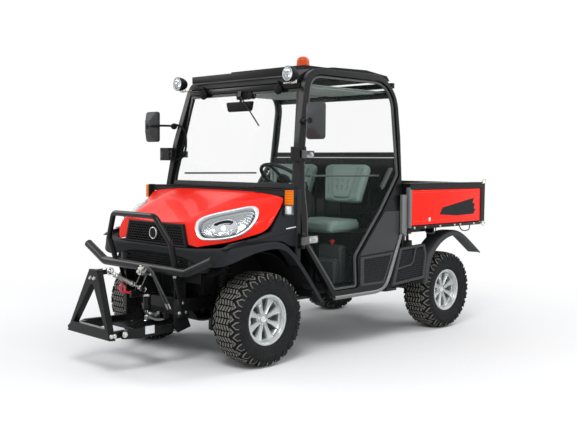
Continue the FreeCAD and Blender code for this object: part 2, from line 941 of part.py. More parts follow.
def ring_of(thing, count):
    """Copies of a thing, evenly turned about the X axis."""
    copies = []
    for index in range(int(as_size(count).value)):
        copy = group([thing])
        turn(copy, X_AXIS, 360 * index / as_size(count).value)
        copies.append(copy)
    return copies


def chassis_frame():
    """Two rails with a step up under the bed, cross members, outriggers, shock towers, bed posts and hitch."""
    rail_top = s.rail_bottom + s.rail_height
    deck_top = s.deck_rail_bottom + s.deck_rail_height
    start = s.rail_middle - s.rail_width / 2
    outline = [
        (-s.rail_front, s.rail_bottom), (s.kick_start + s.kick_length, s.rail_bottom),
        (s.kick_start + s.kick_length * 2, s.deck_rail_bottom), (s.deck_rail_end, s.deck_rail_bottom),
        (s.deck_rail_end, deck_top), (s.kick_start + s.kick_length, deck_top), (s.kick_start, rail_top),
        (-s.rail_front, rail_top),
    ]
    rail = prism("side", [outline], start, s.rail_width)
    things = [rail, mirror(rail)]
    half = s.rail_middle
    for y in (-s.rail_front, -s.hoop_front, -s.overrun * 8, s.kick_start - s.cross_width):
        things.append(box_across(half, y, s.rail_bottom, s.cross_width, s.rail_height))
    for y in (s.kick_start + s.kick_length * 2, s.deck_rail_end - s.cross_width):
        things.append(box_across(half, y, s.deck_rail_bottom, s.cross_width, s.deck_rail_height))
    things += front_mountings(start, rail_top)
    bed_bottom = s.bed_floor_height - s.bed_floor_thickness
    post = box(start, s.bed_post_place, rail_top - s.overrun, s.rail_width, s.cross_width,
               bed_bottom - s.seat_gap - rail_top + s.overrun)
    things += [post, mirror(post)]
    for y in (s.outrigger_front, s.outrigger_rear):
        reach = s.body_half - s.hoop_width - s.seat_gap - half
        arm = box(half, y, rail_top - s.outrigger_height - s.floor_thickness / 2, reach, s.cross_width,
                  s.outrigger_height)
        things += [arm, mirror(arm)]
    things += bed_mountings(start, deck_top)
    finish("chassis_frame", things + [hitch()])


def front_mountings(start, rail_top):
    """Shock towers, wishbone hangers, the gear case's hanger and the steering rack's housing."""
    axle = axle_places()[0]
    damper_place = axle - s.damper_shift
    tower_half = s.cross_width * 0.8
    tower = box(start, damper_place - tower_half, rail_top - s.overrun, s.rail_width, tower_half * 2,
                s.shock_tower_top - rail_top + s.overrun)
    things = [tower, mirror(tower)]
    things.append(box_across(s.rail_middle, damper_place - s.cross_width / 2, s.shock_tower_top - s.cross_width,
                             s.cross_width, s.cross_width))
    hanger_low = s.lower_wishbone_height - s.wishbone_tube * 1.2
    for y in (axle - s.arm_spread, axle + s.cross_width * 0.65):
        hanger = box(s.rail_middle, y, hanger_low, s.rail_width / 2, s.cross_width * 0.8,
                     s.rail_bottom - hanger_low + s.overrun)
        things += [hanger, mirror(hanger)]
    case_top = axle_height() + s.gear_case_height / 2 + s.seat_gap
    things.append(box_across(s.rail_middle, axle - s.cross_width / 2, case_top, s.cross_width, rail_top - case_top))
    y, z = rack_line()
    housing = cut(cylinder("x", -s.rack_housing_half, y, z, s.rail_bottom + s.overrun - z, s.rack_housing_half * 2),
                  [cylinder("x", -s.rack_housing_half - s.overrun, y, z, s.rack_radius + s.running_gap,
                            (s.rack_housing_half + s.overrun) * 2)])
    things.append(housing)
    return things


def rack_line():
    """Where the steering rack's rod lies."""
    return axle_places()[0] + s.steer_arm_length, s.steer_arm_height - s.rack_radius - s.ball_end_gap


def bed_mountings(start, deck_top):
    """The tipping cylinder's foot lugs and the bed's hinge blocks with their pins."""
    foot_z = s.bed_cylinder_foot_height
    lug_out = s.bed_barrel_radius + s.panel_gap / 2
    things = [box_across(s.rail_middle, s.kick_start + s.kick_length * 0.4, foot_z - s.bed_barrel_radius * 2,
                         s.cross_width, s.bed_barrel_radius)]
    lug = prism("side", [[
        (s.kick_start + s.kick_length * 0.5, foot_z - s.bed_barrel_radius * 2),
        (s.kick_start + s.kick_length, foot_z - s.bed_barrel_radius),
        (s.bed_cylinder_foot_place - s.bed_rod_radius, foot_z + s.bed_rod_radius),
        (s.bed_cylinder_foot_place + s.bed_rod_radius, foot_z + s.bed_rod_radius),
        (s.bed_cylinder_foot_place + s.bed_rod_radius, foot_z - s.bed_rod_radius),
        (s.kick_start + s.cross_width, foot_z - s.bed_barrel_radius * 2),
    ]], lug_out, s.tower_plate)
    things += [lug, mirror(lug)]
    things.append(cylinder("x", -lug_out - s.tower_plate, s.bed_cylinder_foot_place, foot_z, s.link_pin_radius,
                           (lug_out + s.tower_plate) * 2))
    block = box(start, s.bed_hinge_place - s.bed_hinge_radius, deck_top - s.overrun, s.rail_width,
                s.bed_hinge_radius * 2, s.bed_hinge_height - deck_top + s.overrun)
    barrel = cylinder("x", start, s.bed_hinge_place, s.bed_hinge_height, s.bed_hinge_radius, s.rail_width)
    pin = cylinder("x", s.rail_middle, s.bed_hinge_place, s.bed_hinge_height, s.bed_hinge_radius / 2,
                   s.rail_width / 2 + s.bed_lug_width + s.panel_gap)
    for thing in (block, barrel, pin):
        things += [thing, mirror(thing)]
    return things


def cab_frame():
    """Two side hoops around the doorways with the headers that join them and the hinge brackets."""
    hoop = leaning([hoop_outline(), doorway_outline()], s.body_half, s.hoop_width)
    things = [hoop, mirror(hoop)]
    for y, z, rise in ((s.front_header_place, s.front_header_height, s.front_header_rise),
                       (s.rear_header_place, s.rear_header_height, s.header_height),
                       (s.rear_header_place, s.waist_bar_height, s.header_height)):
        half = s.body_half - lean_at(z) - s.hoop_width / 2
        things.append(box_across(half, y, z, s.header_width, rise))
    for z in (s.upper_hinge_height, s.lower_hinge_height):
        bracket = hinge_bracket(z)
        things += [bracket, mirror(bracket)]
    finish("cab_frame", things)


def pillar_face(height):
    """How far out the pillar's outer face is at a height, above or below the waist."""
    if float(height) > float(s.waist_height):
        return s.body_half - lean_at(height)
    return s.body_half


def hinge_bracket(z):
    """The fixed half of a door hinge: bosses above and below the door's strap, on a block by the pillar."""
    face = pillar_face(z + s.hinge_height + s.hinge_boss_height)
    inner = face - s.hoop_width / 2
    front = -s.hinge_place - s.hinge_radius
    parts = []
    for low in (z - s.hinge_boss_height - s.running_gap * 2, z + s.hinge_height + s.running_gap * 2):
        parts.append(cylinder("z", s.hinge_out, -s.hinge_place, low, s.hinge_radius, s.hinge_boss_height))
        parts.append(box(inner, front, low, s.hinge_out - inner, s.hinge_radius * 2, s.hinge_boss_height))
        parts.append(box(inner, front, low, s.hinge_out - s.bracket_inset - inner, s.bracket_reach,
                         s.hinge_boss_height))
    parts.append(box(inner, front, z - s.hinge_boss_height, s.hinge_out - s.bracket_inset - inner,
                     s.hinge_radius * 1.2, s.hinge_height + s.hinge_boss_height * 2))
    return fuse(parts)


def screen_degrees():
    return math.degrees(math.atan2(float(s.screen_lean), float(s.screen_rise)))


def hoop_inner(height):
    """How far out a piece between the hoops may reach at a height above the waist."""
    lean_share = s.lean_in / s.lean_rise
    across = s.hoop_width * math.hypot(1, float(lean_share))
    return s.body_half - lean_at(height) - across - s.seat_gap


def screen_foot_height():
    return s.cowl_base + s.cowl_height + s.seat_gap + s.screen_thickness * s.lean_in / s.lean_rise * 1.6


def screen_outline(extra):
    """The windscreen's outline, narrower by extra all round, from its foot upwards."""
    inner_foot = hoop_inner(screen_foot_height())
    inner_top = hoop_inner(screen_foot_height() + s.screen_rise)
    corners = [(-inner_foot, zero), (inner_foot, zero), (inner_top, s.screen_length), (-inner_top, s.screen_length)]
    return inset(corners, extra) if float(extra) else corners


def on_screen(thing):
    turn(thing, X_AXIS, -screen_degrees())
    return place(thing, zero, s.screen_foot_place, screen_foot_height())


def cab_glass():
    """Windscreen in its frame, and the rear window between the headers."""
    band = prism("front", [screen_outline(zero), screen_outline(s.screen_band)], zero, s.screen_thickness)
    finish("windscreen_frame", [on_screen(group([band]))])
    pane = prism("front", [screen_outline(s.screen_band + s.seat_gap)],
                 (s.screen_thickness - s.pane_thickness) / 2, s.pane_thickness)
    low = s.waist_bar_height + s.header_height + s.seat_gap
    high = s.rear_header_height - s.seat_gap
    foot = hoop_inner(low)
    top = hoop_inner(high)
    middle = s.rear_header_place + (s.header_width - s.pane_thickness) / 2
    window = prism("front", [[(-foot, low), (foot, low), (top, high), (-top, high)]], middle, s.pane_thickness)
    finish("cab_glass", [on_screen(group([pane])), window], apart=True)


def rear_wall():
    half = s.body_half - s.hoop_width - s.seat_gap
    waist_half = hoop_inner(s.waist_height)
    top_half = hoop_inner(s.rear_wall_top)
    low = floor_low() + s.floor_thickness + s.seat_gap
    outline = [(-half, low), (half, low), (waist_half, s.waist_height), (top_half, s.rear_wall_top),
               (-top_half, s.rear_wall_top), (-waist_half, s.waist_height)]
    finish("rear_wall", [prism("front", [outline], s.floor_rear, s.rear_wall_thickness)])


def floor_low():
    """The underside of the floor, just above the rails."""
    return s.rail_bottom + s.rail_height + s.seat_gap


def floor_pan():
    """Floor, sloped toe board and firewall as one bent sheet."""
    wall = s.floor_thickness
    low = floor_low()
    outline = [
        (s.floor_rear + s.rear_wall_thickness, low), (s.floor_rear + s.rear_wall_thickness, low + wall),
        (s.toe_place, low + wall), (s.firewall_place + wall, low + s.toe_rise),
        (s.firewall_place + wall, s.firewall_top), (s.firewall_place, s.firewall_top),
        (s.firewall_place, low + s.toe_rise), (s.toe_place - wall / 2, low),
    ]
    half = s.body_half - s.hoop_width - s.seat_gap
    finish("floor_pan", [prism("side", [outline], -half, half * 2)])


def seat_box():
    """The hollow box under the seats, open below, with the posts that carry the backs."""
    low = floor_low() + s.floor_thickness + s.seat_gap
    high = s.seat_box_top
    wall = s.seat_box_wall
    length = s.seat_box_rear - s.seat_box_front - s.seat_gap
    outer = box_across(s.seat_box_half, s.seat_box_front, low, length, high - low)
    inner = box_across(s.seat_box_half - wall, s.seat_box_front + wall, low - s.overrun, length - wall * 2,
                       high - low - wall + s.overrun)
    things = [cut(outer, [inner])]
    for middle, width in seat_places():
        for share in (-0.3, 0.3):
            things.append(cylinder("z", middle + width * share, s.back_post_place, high - wall / 2,
                                   s.back_post_radius, s.back_post_height + wall / 2))
    finish("seat_box", things)


def seat_places():
    return (s.seat_middle, s.cushion_width), (-s.bench_middle, s.bench_width)


def rounded_block(x, y, z, length, width, height, corner):
    """A pad with rounded upright edges."""
    outline = [(x, y, corner), (x + length, y, corner), (x + length, y + width, corner), (x, y + width, corner)]
    return prism("top", [outline], z, height)


def seats():
    low = s.seat_box_top + s.seat_gap
    cushions = []
    backs = []
    for middle, width in seat_places():
        cushions.append(rounded_block(middle - width / 2, s.cushion_front, low, width, s.cushion_length,
                                      s.cushion_height, s.seat_corner))
        back = prism("front", [[
            (-width / 2, zero, s.seat_corner), (width / 2, zero, s.seat_corner),
            (width * 0.46, s.back_height, s.seat_corner), (-width * 0.46, s.back_height, s.seat_corner),
        ]], zero, s.back_thickness)
        turned_back = turn(group([back]), X_AXIS, -float(s.back_lean_degrees))
        backs.append(place(turned_back, middle, s.back_place, s.back_foot))
    finish("seat_cushions", cushions, apart=True)
    finish("seat_backs", backs, apart=True)


def dashboard():
    """Dash shell against the firewall with the steering column's shroud."""
    front = s.firewall_place + s.floor_thickness + s.seat_gap
    top = s.dash_top
    outline = [
        (front, top), (front + s.dash_depth * 0.75, top), (front + s.dash_depth, top - s.dash_height * 0.25),
        (front + s.dash_depth * 0.7, top - s.dash_height), (front, top - s.dash_height),
    ]
    shell = prism("side", [outline], -s.dash_half, s.dash_half * 2)
    column = cylinder("z", zero, zero, -s.steering_hub_length / 2 - s.seat_gap - s.dash_depth, s.column_radius,
                      s.dash_depth)
    finish("dashboard", [shell, on_column(group([column]))])


def on_column(thing):
    """Put a thing drawn about the upright axis onto the steering column's line."""
    turn(thing, X_AXIS, -float(s.wheel_tilt_degrees))
    return place(thing, s.steering_middle, s.steering_place, s.steering_height)


def steering_wheel():
    """Rim, hub and three spokes about the column's line."""
    rim_ring = doc.addObject("Part::Torus", "ring")
    bind(rim_ring, "Radius1", s.steering_radius)
    bind(rim_ring, "Radius2", s.steering_tube)
    hub = cylinder("z", zero, zero, -s.steering_hub_length / 2, s.steering_hub_radius, s.steering_hub_length)
    things = [rim_ring, hub]
    for index in range(3):
        spoke = box(-s.steering_spoke / 2, zero, -s.steering_spoke_thickness / 2, s.steering_spoke,
                    s.steering_radius, s.steering_spoke_thickness)
        arm = group([spoke])
        turn(arm, Z_AXIS, 120 * index + 180)
        things.append(arm)
    finish("steering_wheel", [on_column(fuse(things))])


def levers():
    """Two levers on the floor ahead of the seats, and two pedals."""
    low = floor_low() + s.floor_thickness + s.seat_gap
    things = []
    for x in (s.seat_middle * 0.12, s.seat_middle * 1.34):
        y = s.seat_box_front - s.cross_width
        base = box(x - s.lever_knob_radius, y - s.lever_knob_radius, low, s.lever_knob_radius * 2,
                   s.lever_knob_radius * 2, s.lever_knob_radius)
        stick = cylinder("z", x, y, low + s.lever_knob_radius / 2, s.lever_radius, s.lever_height)
        knob = cylinder("z", x, y, low + s.lever_height, s.lever_knob_radius, s.lever_knob_radius * 2)
        things.append(fuse([base, stick, knob]))
    for x in (s.steering_middle * 0.62, s.steering_middle * 1.15):
        y = s.toe_place + s.cross_width * 0.6
        plate = box(x - s.pedal_width / 2, y - s.pedal_thickness / 2, low + s.pedal_height / 2,
                    s.pedal_width, s.pedal_thickness, s.pedal_height)
        stem = cylinder("z", x, y, low, s.lever_radius, s.pedal_height)
        things.append(fuse([plate, stem]))
    finish("levers_and_pedals", things, apart=True)


def roof():
    """A moulded shell between the hoops with a raised panel."""
    outline = shared(ROOF_SHARES, -s.roof_front, s.roof_length, s.roof_base, s.roof_height)
    shell = prism("side", [outline], -s.roof_half, s.roof_half * 2)
    panel = box_across(s.roof_panel_half, s.roof_panel_front, s.roof_base + s.roof_height * 0.8,
                       s.roof_panel_length, s.roof_height * 0.2 + s.roof_panel_rise)
    finish("roof", [shell, panel])


def hood_section(y, half_outline, thinner):
    """One cross-section of the hood, both sides, closed along its lower edge."""
    left = [((s.hood_half - thinner) * u, y, s.hood_base + s.hood_rise * v - thinner) for u, v in half_outline]
    right = [(-x, y, z) for x, y, z in reversed(left[1:])]
    return left + right


def hood():
    """Hood shell with openings for the grille and the lamps, and barrels for its hinges."""
    outer = loft([hood_section(s.hood_length * share - s.hood_front, half, zero) for share, half in HOOD_SHARES])
    inner = []
    for share, half in HOOD_SHARES:
        y = s.hood_length * share - s.hood_front
        if share == 0:
            y = y + s.hood_wall
        if share == 1:
            y = y + s.overrun
        inner.append(hood_section(y, half, s.hood_wall))
    shell = cut(outer, [loft(inner)])
    grille_hole = prism("front", [inset(grille_outline(), -s.seat_gap)], -s.hood_front - s.overrun * 8,
                        s.overrun * 8 + s.hood_wall * 3)
    lamp_hole = lamp_shape(s.seat_gap)
    radius = s.hood_hinge_radius
    notch = box(s.hood_hinge_half - s.panel_gap, -s.hood_hinge_place - radius - s.panel_gap,
                s.hood_hinge_height - s.cowl_height, s.hood_hinge_width + s.panel_gap * 2,
                radius * 4 + s.panel_gap, s.cowl_height * 2)
    things = [cut(shell, [grille_hole, lamp_hole, mirror(lamp_hole), notch, mirror(notch)])]
    for start in (s.hood_hinge_half - s.seat_gap - s.hood_hinge_width,
                  s.hood_hinge_half + s.hood_hinge_width + s.seat_gap):
        barrel = cylinder("x", start, -s.hood_hinge_place, s.hood_hinge_height, radius, s.hood_hinge_width)
        things += [barrel, mirror(barrel)]
    finish("hood", things)


def grille_outline():
    return [(-s.grille_bottom_half, s.grille_base), (s.grille_bottom_half, s.grille_base),
            (s.grille_top_half, s.grille_base + s.grille_height),
            (-s.grille_top_half, s.grille_base + s.grille_height)]


def lamp_shape(extra):
    """The lamp's wedge, from its plan and its side view, grown by extra."""
    plan = [(s.lamp_inner + s.lamp_reach * u, -s.lamp_front + s.lamp_length * v) for u, v in LAMP_PLAN_SHARES]
    side = [(-s.lamp_front + s.lamp_length * u, s.lamp_base + s.lamp_rise * v) for u, v in LAMP_SIDE_SHARES]
    above = prism("top", [inset(plan, -extra) if float(extra) else plan], s.lamp_base - s.lamp_rise, s.lamp_rise * 3)
    across = prism("side", [inset(side, -extra) if float(extra) else side], zero, s.lamp_inner + s.lamp_reach * 2)
    return common(above, across)


def headlamps():
    lamp = lamp_shape(zero)
    finish("headlamps", [lamp, mirror(lamp)], apart=True)


def hood_grille():
    """A barred grille with a plain round badge."""
    inner = inset(grille_outline(), s.grille_bar * 1.5)
    frame = prism("front", [grille_outline(), inner], -s.grille_place, s.grille_thickness)
    things = [frame]
    rows = 5
    pitch = (s.grille_height - s.grille_bar * 2) / rows
    for row in range(1, rows):
        z = s.grille_base + s.grille_bar + pitch * row - s.grille_bar / 4
        half = s.grille_bottom_half - (s.grille_bottom_half - s.grille_top_half) * row / rows - s.grille_bar
        things.append(box_across(half, -s.grille_place + s.grille_thickness / 3, z, s.grille_thickness / 2,
                                 s.grille_bar / 2))
    columns = 5
    for column in range(-columns, columns + 1):
        x = s.grille_bottom_half * 0.82 * column / columns
        things.append(box(x - s.grille_bar / 4, -s.grille_place + s.grille_thickness / 3,
                          s.grille_base + s.grille_bar, s.grille_bar / 2, s.grille_thickness / 2,
                          s.grille_height - s.grille_bar * 2))
    things.append(cylinder("y", zero, -s.grille_place - s.emblem_depth, s.grille_base + s.grille_height / 2,
                           s.emblem_radius, s.emblem_depth + s.grille_thickness / 2))
    finish("hood_grille", things)


def front_fascia():
    """The lower front panel with its own grille opening, bars across it, wrapping back at both sides."""
    half = s.fascia_half
    wall = s.fascia_wall
    plan = [
        (-half * 0.82, -s.fascia_front), (half * 0.82, -s.fascia_front), (half, -s.fascia_front + wall),
        (half * 1.06, -s.fascia_front + s.fascia_depth), (half * 1.06 - wall, -s.fascia_front + s.fascia_depth),
        (half - wall, -s.fascia_front + wall * 1.6), (half * 0.82 - wall / 3, -s.fascia_front + wall),
        (wall / 3 - half * 0.82, -s.fascia_front + wall), (wall - half, -s.fascia_front + wall * 1.6),
        (wall - half * 1.06, -s.fascia_front + s.fascia_depth), (-half * 1.06, -s.fascia_front + s.fascia_depth),
        (-half, -s.fascia_front + wall),
    ]
    shell = prism("top", [plan], s.fascia_base, s.fascia_top - s.fascia_base)
    hole = box_across(s.low_grille_half, -s.fascia_front - s.overrun, s.low_grille_base, wall + s.overrun * 2,
                      s.low_grille_height)
    things = [cut(shell, [hole])]
    for share in (0.25, 0.5, 0.75):
        things.append(box_across(s.low_grille_half + s.overrun, -s.fascia_front + wall / 3,
                                 s.low_grille_base + s.low_grille_height * share - s.grille_bar / 4,
                                 wall / 3, s.grille_bar / 2))
    for column in range(-4, 5):
        things.append(box(s.low_grille_half * column / 5 - s.grille_bar / 4, -s.fascia_front + wall / 3,
                          s.low_grille_base - s.overrun, s.grille_bar / 2, wall / 3,
                          s.low_grille_height + s.overrun * 2))
    finish("front_fascia", things)


def front_flares():
    """Arch lips over the front wheels with the shoulder panels above them."""
    width = s.body_half - s.flare_inner
    outline = shared(FRONT_FLARE_SHARES, -s.front_flare_front, s.front_flare_length, s.front_flare_base,
                     s.front_flare_height)
    lip = prism("side", [outline], s.flare_inner, width)
    arch = shared(ARCH_TOP_SHARES, -s.front_flare_front, s.front_flare_length, s.front_flare_base,
                  s.front_flare_height)
    top = prism("side", [arch], s.arch_inner, s.flare_inner + s.overrun - s.arch_inner)
    shoulder = prism("side", [shared(SHOULDER_SHARES, -s.shoulder_front, s.shoulder_length, s.shoulder_base,
                                     s.cowl_base - s.seat_gap - s.shoulder_base)],
                     s.flare_inner, width * 0.8)
    flare = fuse([lip, top, shoulder])
    finish("front_flares", [flare, mirror(flare)], apart=True)


def rear_flares():
    """Arch lips over the rear wheels, each running back into a mud flap."""
    length = s.rear_reach - s.rear_flare_front
    outline = shared(REAR_FLARE_SHARES, s.rear_flare_front, length, s.rear_flare_base, s.rear_flare_height)
    lip = prism("side", [outline], s.arch_inner, s.body_half - s.arch_inner)
    things = [lip]
    start = s.rail_middle + s.rail_width / 2 + s.seat_gap
    for y, z in ((s.kick_start + s.kick_length * 0.65, s.deck_rail_bottom - s.kick_length * 1.75),
                 (s.deck_rail_end - s.kick_length * 2.2, s.deck_rail_bottom + s.wishbone_tube)):
        things.append(cylinder("x", start, y, z, s.wishbone_tube * 0.75, s.arch_inner + s.overrun - start))
    flare = fuse(things)
    finish("rear_flares", [flare, mirror(flare)], apart=True)


def cowl():
    """The panel between the hood and the windscreen, with a tongue back to the firewall and hinge ears."""
    half = s.body_half - s.hoop_width * 0.2
    tongue = hoop_inner(s.cowl_base + s.cowl_height)
    front = -s.cowl_front
    step = -s.hoop_front - s.seat_gap * 3
    rear = s.firewall_place - s.seat_gap
    plan = [(-half, front), (half, front), (half, step), (tongue, step), (tongue, rear), (-tongue, rear),
            (-tongue, step), (-half, step)]
    things = [prism("top", [plan], s.cowl_base, s.cowl_height)]
    radius = s.hood_hinge_radius
    barrel = cylinder("x", s.hood_hinge_half, -s.hood_hinge_place, s.hood_hinge_height, radius, s.hood_hinge_width)
    ear = box(s.hood_hinge_half, -s.hood_hinge_place, s.hood_hinge_height - radius, s.hood_hinge_width,
              s.hood_hinge_place - s.cowl_front + s.overrun, radius * 1.5)
    things += [barrel, mirror(barrel), ear, mirror(ear)]
    finish("cowl", things)


def guard_bar():
    """The bent guard hoop standing on the bumper tube, whose ends bend up and back."""
    half = [
        (s.guard_foot_half, -s.guard_foot_place, s.guard_foot_height),
        (s.guard_mid_half, -s.guard_mid_place, s.guard_mid_height),
        (s.guard_top_half, -s.guard_top_place, s.guard_top_height),
    ]
    hoop = tube(half + [(-x, y, z) for x, y, z in reversed(half)], s.guard_tube, s.guard_bend)
    ends = [
        (s.bumper_end_half, -s.bumper_end_place, s.bumper_end_height),
        (s.bumper_corner_half, -s.bumper_place, s.bumper_height),
    ]
    bumper = tube(ends + [(-x, y, z) for x, y, z in reversed(ends)], s.bumper_tube, s.bumper_bend)
    things = [hoop, bumper]
    for side in (-1, 1):
        strut_x = s.mount_half - s.mount_plate if side > 0 else -s.mount_half
        things.append(box(strut_x, -s.bumper_place, s.fascia_base, s.mount_plate, s.bumper_place -
                          s.fascia_front - s.panel_gap, s.bumper_height - s.fascia_base + s.bumper_tube / 2))
    finish("guard_bar", things)


def mount_top():
    """The mount's top edge, on which the fascia and the bumper's struts rest."""
    return s.fascia_base - s.seat_gap


def linkage_mount():
    """Side plates down from the bumper, a back plate, and the clevises for the top link and the cylinder."""
    inner = s.mount_half - s.mount_plate
    front = s.rail_front + s.seat_gap
    plate = prism("side", [[
        (-front, mount_top()), (-s.mount_top_front, mount_top()),
        (-s.arm_pivot_place - s.arm_eye_radius, s.arm_pivot_height), (-s.arm_pivot_place, s.mount_base),
        (-front + s.arm_eye_radius * 1.5, s.mount_base + s.arm_eye_radius), (-front, s.rail_bottom),
    ]], inner, s.mount_plate)
    back = box_across(s.mount_half - s.mount_plate / 2, -front - s.mount_plate, s.rail_bottom,
                      s.mount_plate, mount_top() - s.rail_bottom)
    things = [plate, mirror(plate), back]
    tower = prism("side", [[
        (-front - s.mount_plate / 2, mount_top()), (-front - s.mount_front_reach, mount_top()),
        (-s.lift_cylinder_place - s.link_pin_radius, s.lift_cylinder_top + s.link_pin_radius * 1.2),
        (-s.lift_cylinder_place - s.arm_eye_radius, s.lift_cylinder_top - s.link_pin_radius * 0.5),
        (-s.top_link_rear_place - s.top_link_eye, s.top_link_rear_height + s.top_link_eye),
        (-s.top_link_rear_place - s.top_link_eye, s.top_link_rear_height - s.top_link_eye),
        (-front - s.mount_plate / 2, s.top_link_rear_height - s.top_link_eye * 2),
    ]], s.tower_half, s.tower_plate)
    things += [tower, mirror(tower)]
    span = s.tower_half + s.tower_plate
    for y, z in ((s.lift_cylinder_place, s.lift_cylinder_top), (s.top_link_rear_place, s.top_link_rear_height)):
        things.append(cylinder("x", -span, -y, z, s.link_pin_radius, span * 2))
    pin_start = s.arm_middle - s.arm_thickness / 2
    pin = cylinder("x", pin_start, -s.arm_pivot_place, s.arm_pivot_height, s.link_pin_radius,
                   s.mount_half - pin_start)
    things += [pin, mirror(pin)]
    finish("linkage_mount", things)


def eye_bore(x, y, z, width):
    return cylinder("x", x - s.overrun, y, z, s.link_pin_radius + s.running_gap, width + s.overrun * 2)


def lift_arms():
    """Two lower arms joined by a cross plate that the lift cylinder's rod pulls on."""
    start = s.arm_middle - s.arm_thickness / 2
    front = s.arm_pivot_place + s.arm_length
    front_z = s.arm_pivot_height + s.arm_drop
    low = s.arm_pivot_height - s.arm_depth / 2
    outline = [
        (-s.arm_pivot_place + s.arm_eye_radius, low + s.arm_eye_radius / 2, s.arm_eye_radius / 2),
        (-s.arm_pivot_place + s.arm_eye_radius, s.arm_pivot_height + s.arm_eye_radius, s.arm_eye_radius / 2),
        (-front + s.arm_eye_radius, front_z + s.arm_eye_radius),
        (-front - s.arm_eye_radius / 2, front_z + s.arm_eye_radius / 2),
        (-front - s.arm_eye_radius / 2, front_z - s.arm_eye_radius),
        (-front + s.arm_length * 0.3, low),
    ]
    arm = prism("side", [outline], start, s.arm_thickness)
    holes = [eye_bore(start, -s.arm_pivot_place, s.arm_pivot_height, s.arm_thickness),
             eye_bore(start, -front, front_z, s.arm_thickness)]
    bored = cut(arm, holes)
    plate_z = s.arm_pivot_height - s.arm_eye_radius / 2
    plate = box_across(start + s.arm_thickness / 2, -s.cross_plate_front, plate_z, s.cross_plate_length,
                       s.cross_plate)
    lug_gap = s.tower_half - s.tower_plate / 2
    lug = prism("side", [[
        (-s.cross_plate_front + s.cross_plate_length / 2, plate_z),
        (-s.cross_plate_front + s.cross_plate_length / 2, plate_z + s.cross_plate),
        (-s.lift_cylinder_place - s.link_pin_radius, s.lift_cylinder_eye + s.link_pin_radius * 1.6),
        (-s.lift_cylinder_place + s.link_pin_radius, s.lift_cylinder_eye + s.link_pin_radius * 1.6),
        (-s.lift_cylinder_place + s.link_pin_radius, s.lift_cylinder_eye - s.link_pin_radius * 1.6),
        (-s.cross_plate_front + s.cross_plate_length, plate_z),
    ]], lug_gap, s.tower_plate)
    finish("lift_arms", [bored, mirror(bored), plate, lug, mirror(lug)])


def coupler_degrees():
    return math.degrees(math.atan2(float(s.coupler_lean), float(s.coupler_rise)))


def coupler():
    """The triangular coupler with its foot beam, the lugs for the lower arms and the top clevis."""
    rise = s.coupler_rise
    leg = s.coupler_leg
    outer = [(-s.coupler_half, zero), (s.coupler_half, zero), (s.coupler_top_half, rise),
             (-s.coupler_top_half, rise)]
    hole_foot = s.coupler_half - leg - s.coupler_leg * 0.15
    hole_top = s.coupler_top_half * 0.35
    hole = [(-hole_foot, leg * 1.25), (hole_foot, leg * 1.25), (hole_top, rise - s.coupler_gusset),
            (-hole_top, rise - s.coupler_gusset)]
    frame = group([prism("front", [outer, hole], zero, s.coupler_depth)])
    turn(frame, X_AXIS, -coupler_degrees())
    place(frame, zero, -front_reach(), s.coupler_base)
    front = s.arm_pivot_place + s.arm_length
    front_z = s.arm_pivot_height + s.arm_drop
    lug_x = s.arm_middle - s.arm_thickness / 2 - s.panel_gap / 2 - s.arm_thickness
    lug = box(lug_x, -front_reach() + s.coupler_depth / 2, front_z - s.arm_eye_radius * 0.8, s.arm_thickness,
              front_reach() - s.coupler_depth / 2 - front + s.arm_eye_radius * 0.8, s.arm_eye_radius * 1.6)
    pin = cylinder("x", lug_x, -front, front_z, s.link_pin_radius,
                   s.arm_middle + s.arm_thickness / 2 + s.panel_gap / 2 - lug_x)
    clevis_x = s.top_link_width / 2 + s.panel_gap * 0.75
    clevis = box(clevis_x, -front_reach() + s.coupler_depth, s.top_link_front_height - s.top_link_eye,
                 s.tower_plate, front_reach() - s.coupler_depth - s.top_link_front_place + s.top_link_eye,
                 s.top_link_eye * 1.6)
    bridge = box_across(clevis_x + s.tower_plate, -front_reach() + s.coupler_depth - s.overrun,
                        s.top_link_front_height - s.top_link_eye, s.coupler_leg * 0.8, s.top_link_eye * 1.6)
    finish("a_frame_coupler", [frame, lug, mirror(lug), pin, mirror(pin), clevis, mirror(clevis), bridge])


def along_line(start_y, start_z, end_y, end_z):
    """Length and lean of a line in the side view, the lean measured from upright towards the rear."""
    run = float(end_y) - float(start_y)
    rise = float(end_z) - float(start_z)
    return math.hypot(run, rise), math.degrees(math.atan2(run, rise))


def top_link():
    """An adjustable link: rear eye on its pin, threaded barrel, and a front eye left free of its pin."""
    start = (-s.top_link_rear_place, s.top_link_rear_height)
    end = (-s.top_link_front_place, s.top_link_front_height)
    length, lean = along_line(*start, *end)
    share = length / float(s.arm_length)
    whole = s.arm_length * share
    rear_eye = cut(cylinder("x", -s.top_link_width / 2, zero, zero, s.top_link_eye, s.top_link_width),
                   [eye_bore(-s.top_link_width / 2, zero, zero, s.top_link_width)])
    front_eye = cut(cylinder("x", -s.top_link_width / 2, zero, whole, s.top_link_eye, s.top_link_width),
                    [eye_bore(-s.top_link_width / 2, zero, whole, s.top_link_width)])
    rod = cylinder("z", zero, zero, s.top_link_eye * 0.8, s.link_pin_radius, whole - s.top_link_eye * 1.6)
    barrel = cylinder("z", zero, zero, whole * 0.28, s.top_link_radius, whole * 0.44)
    link = turn(fuse([rear_eye, front_eye, rod, barrel]), X_AXIS, -lean)
    place(link, zero, start[0], start[1])
    finish("top_link", [link])


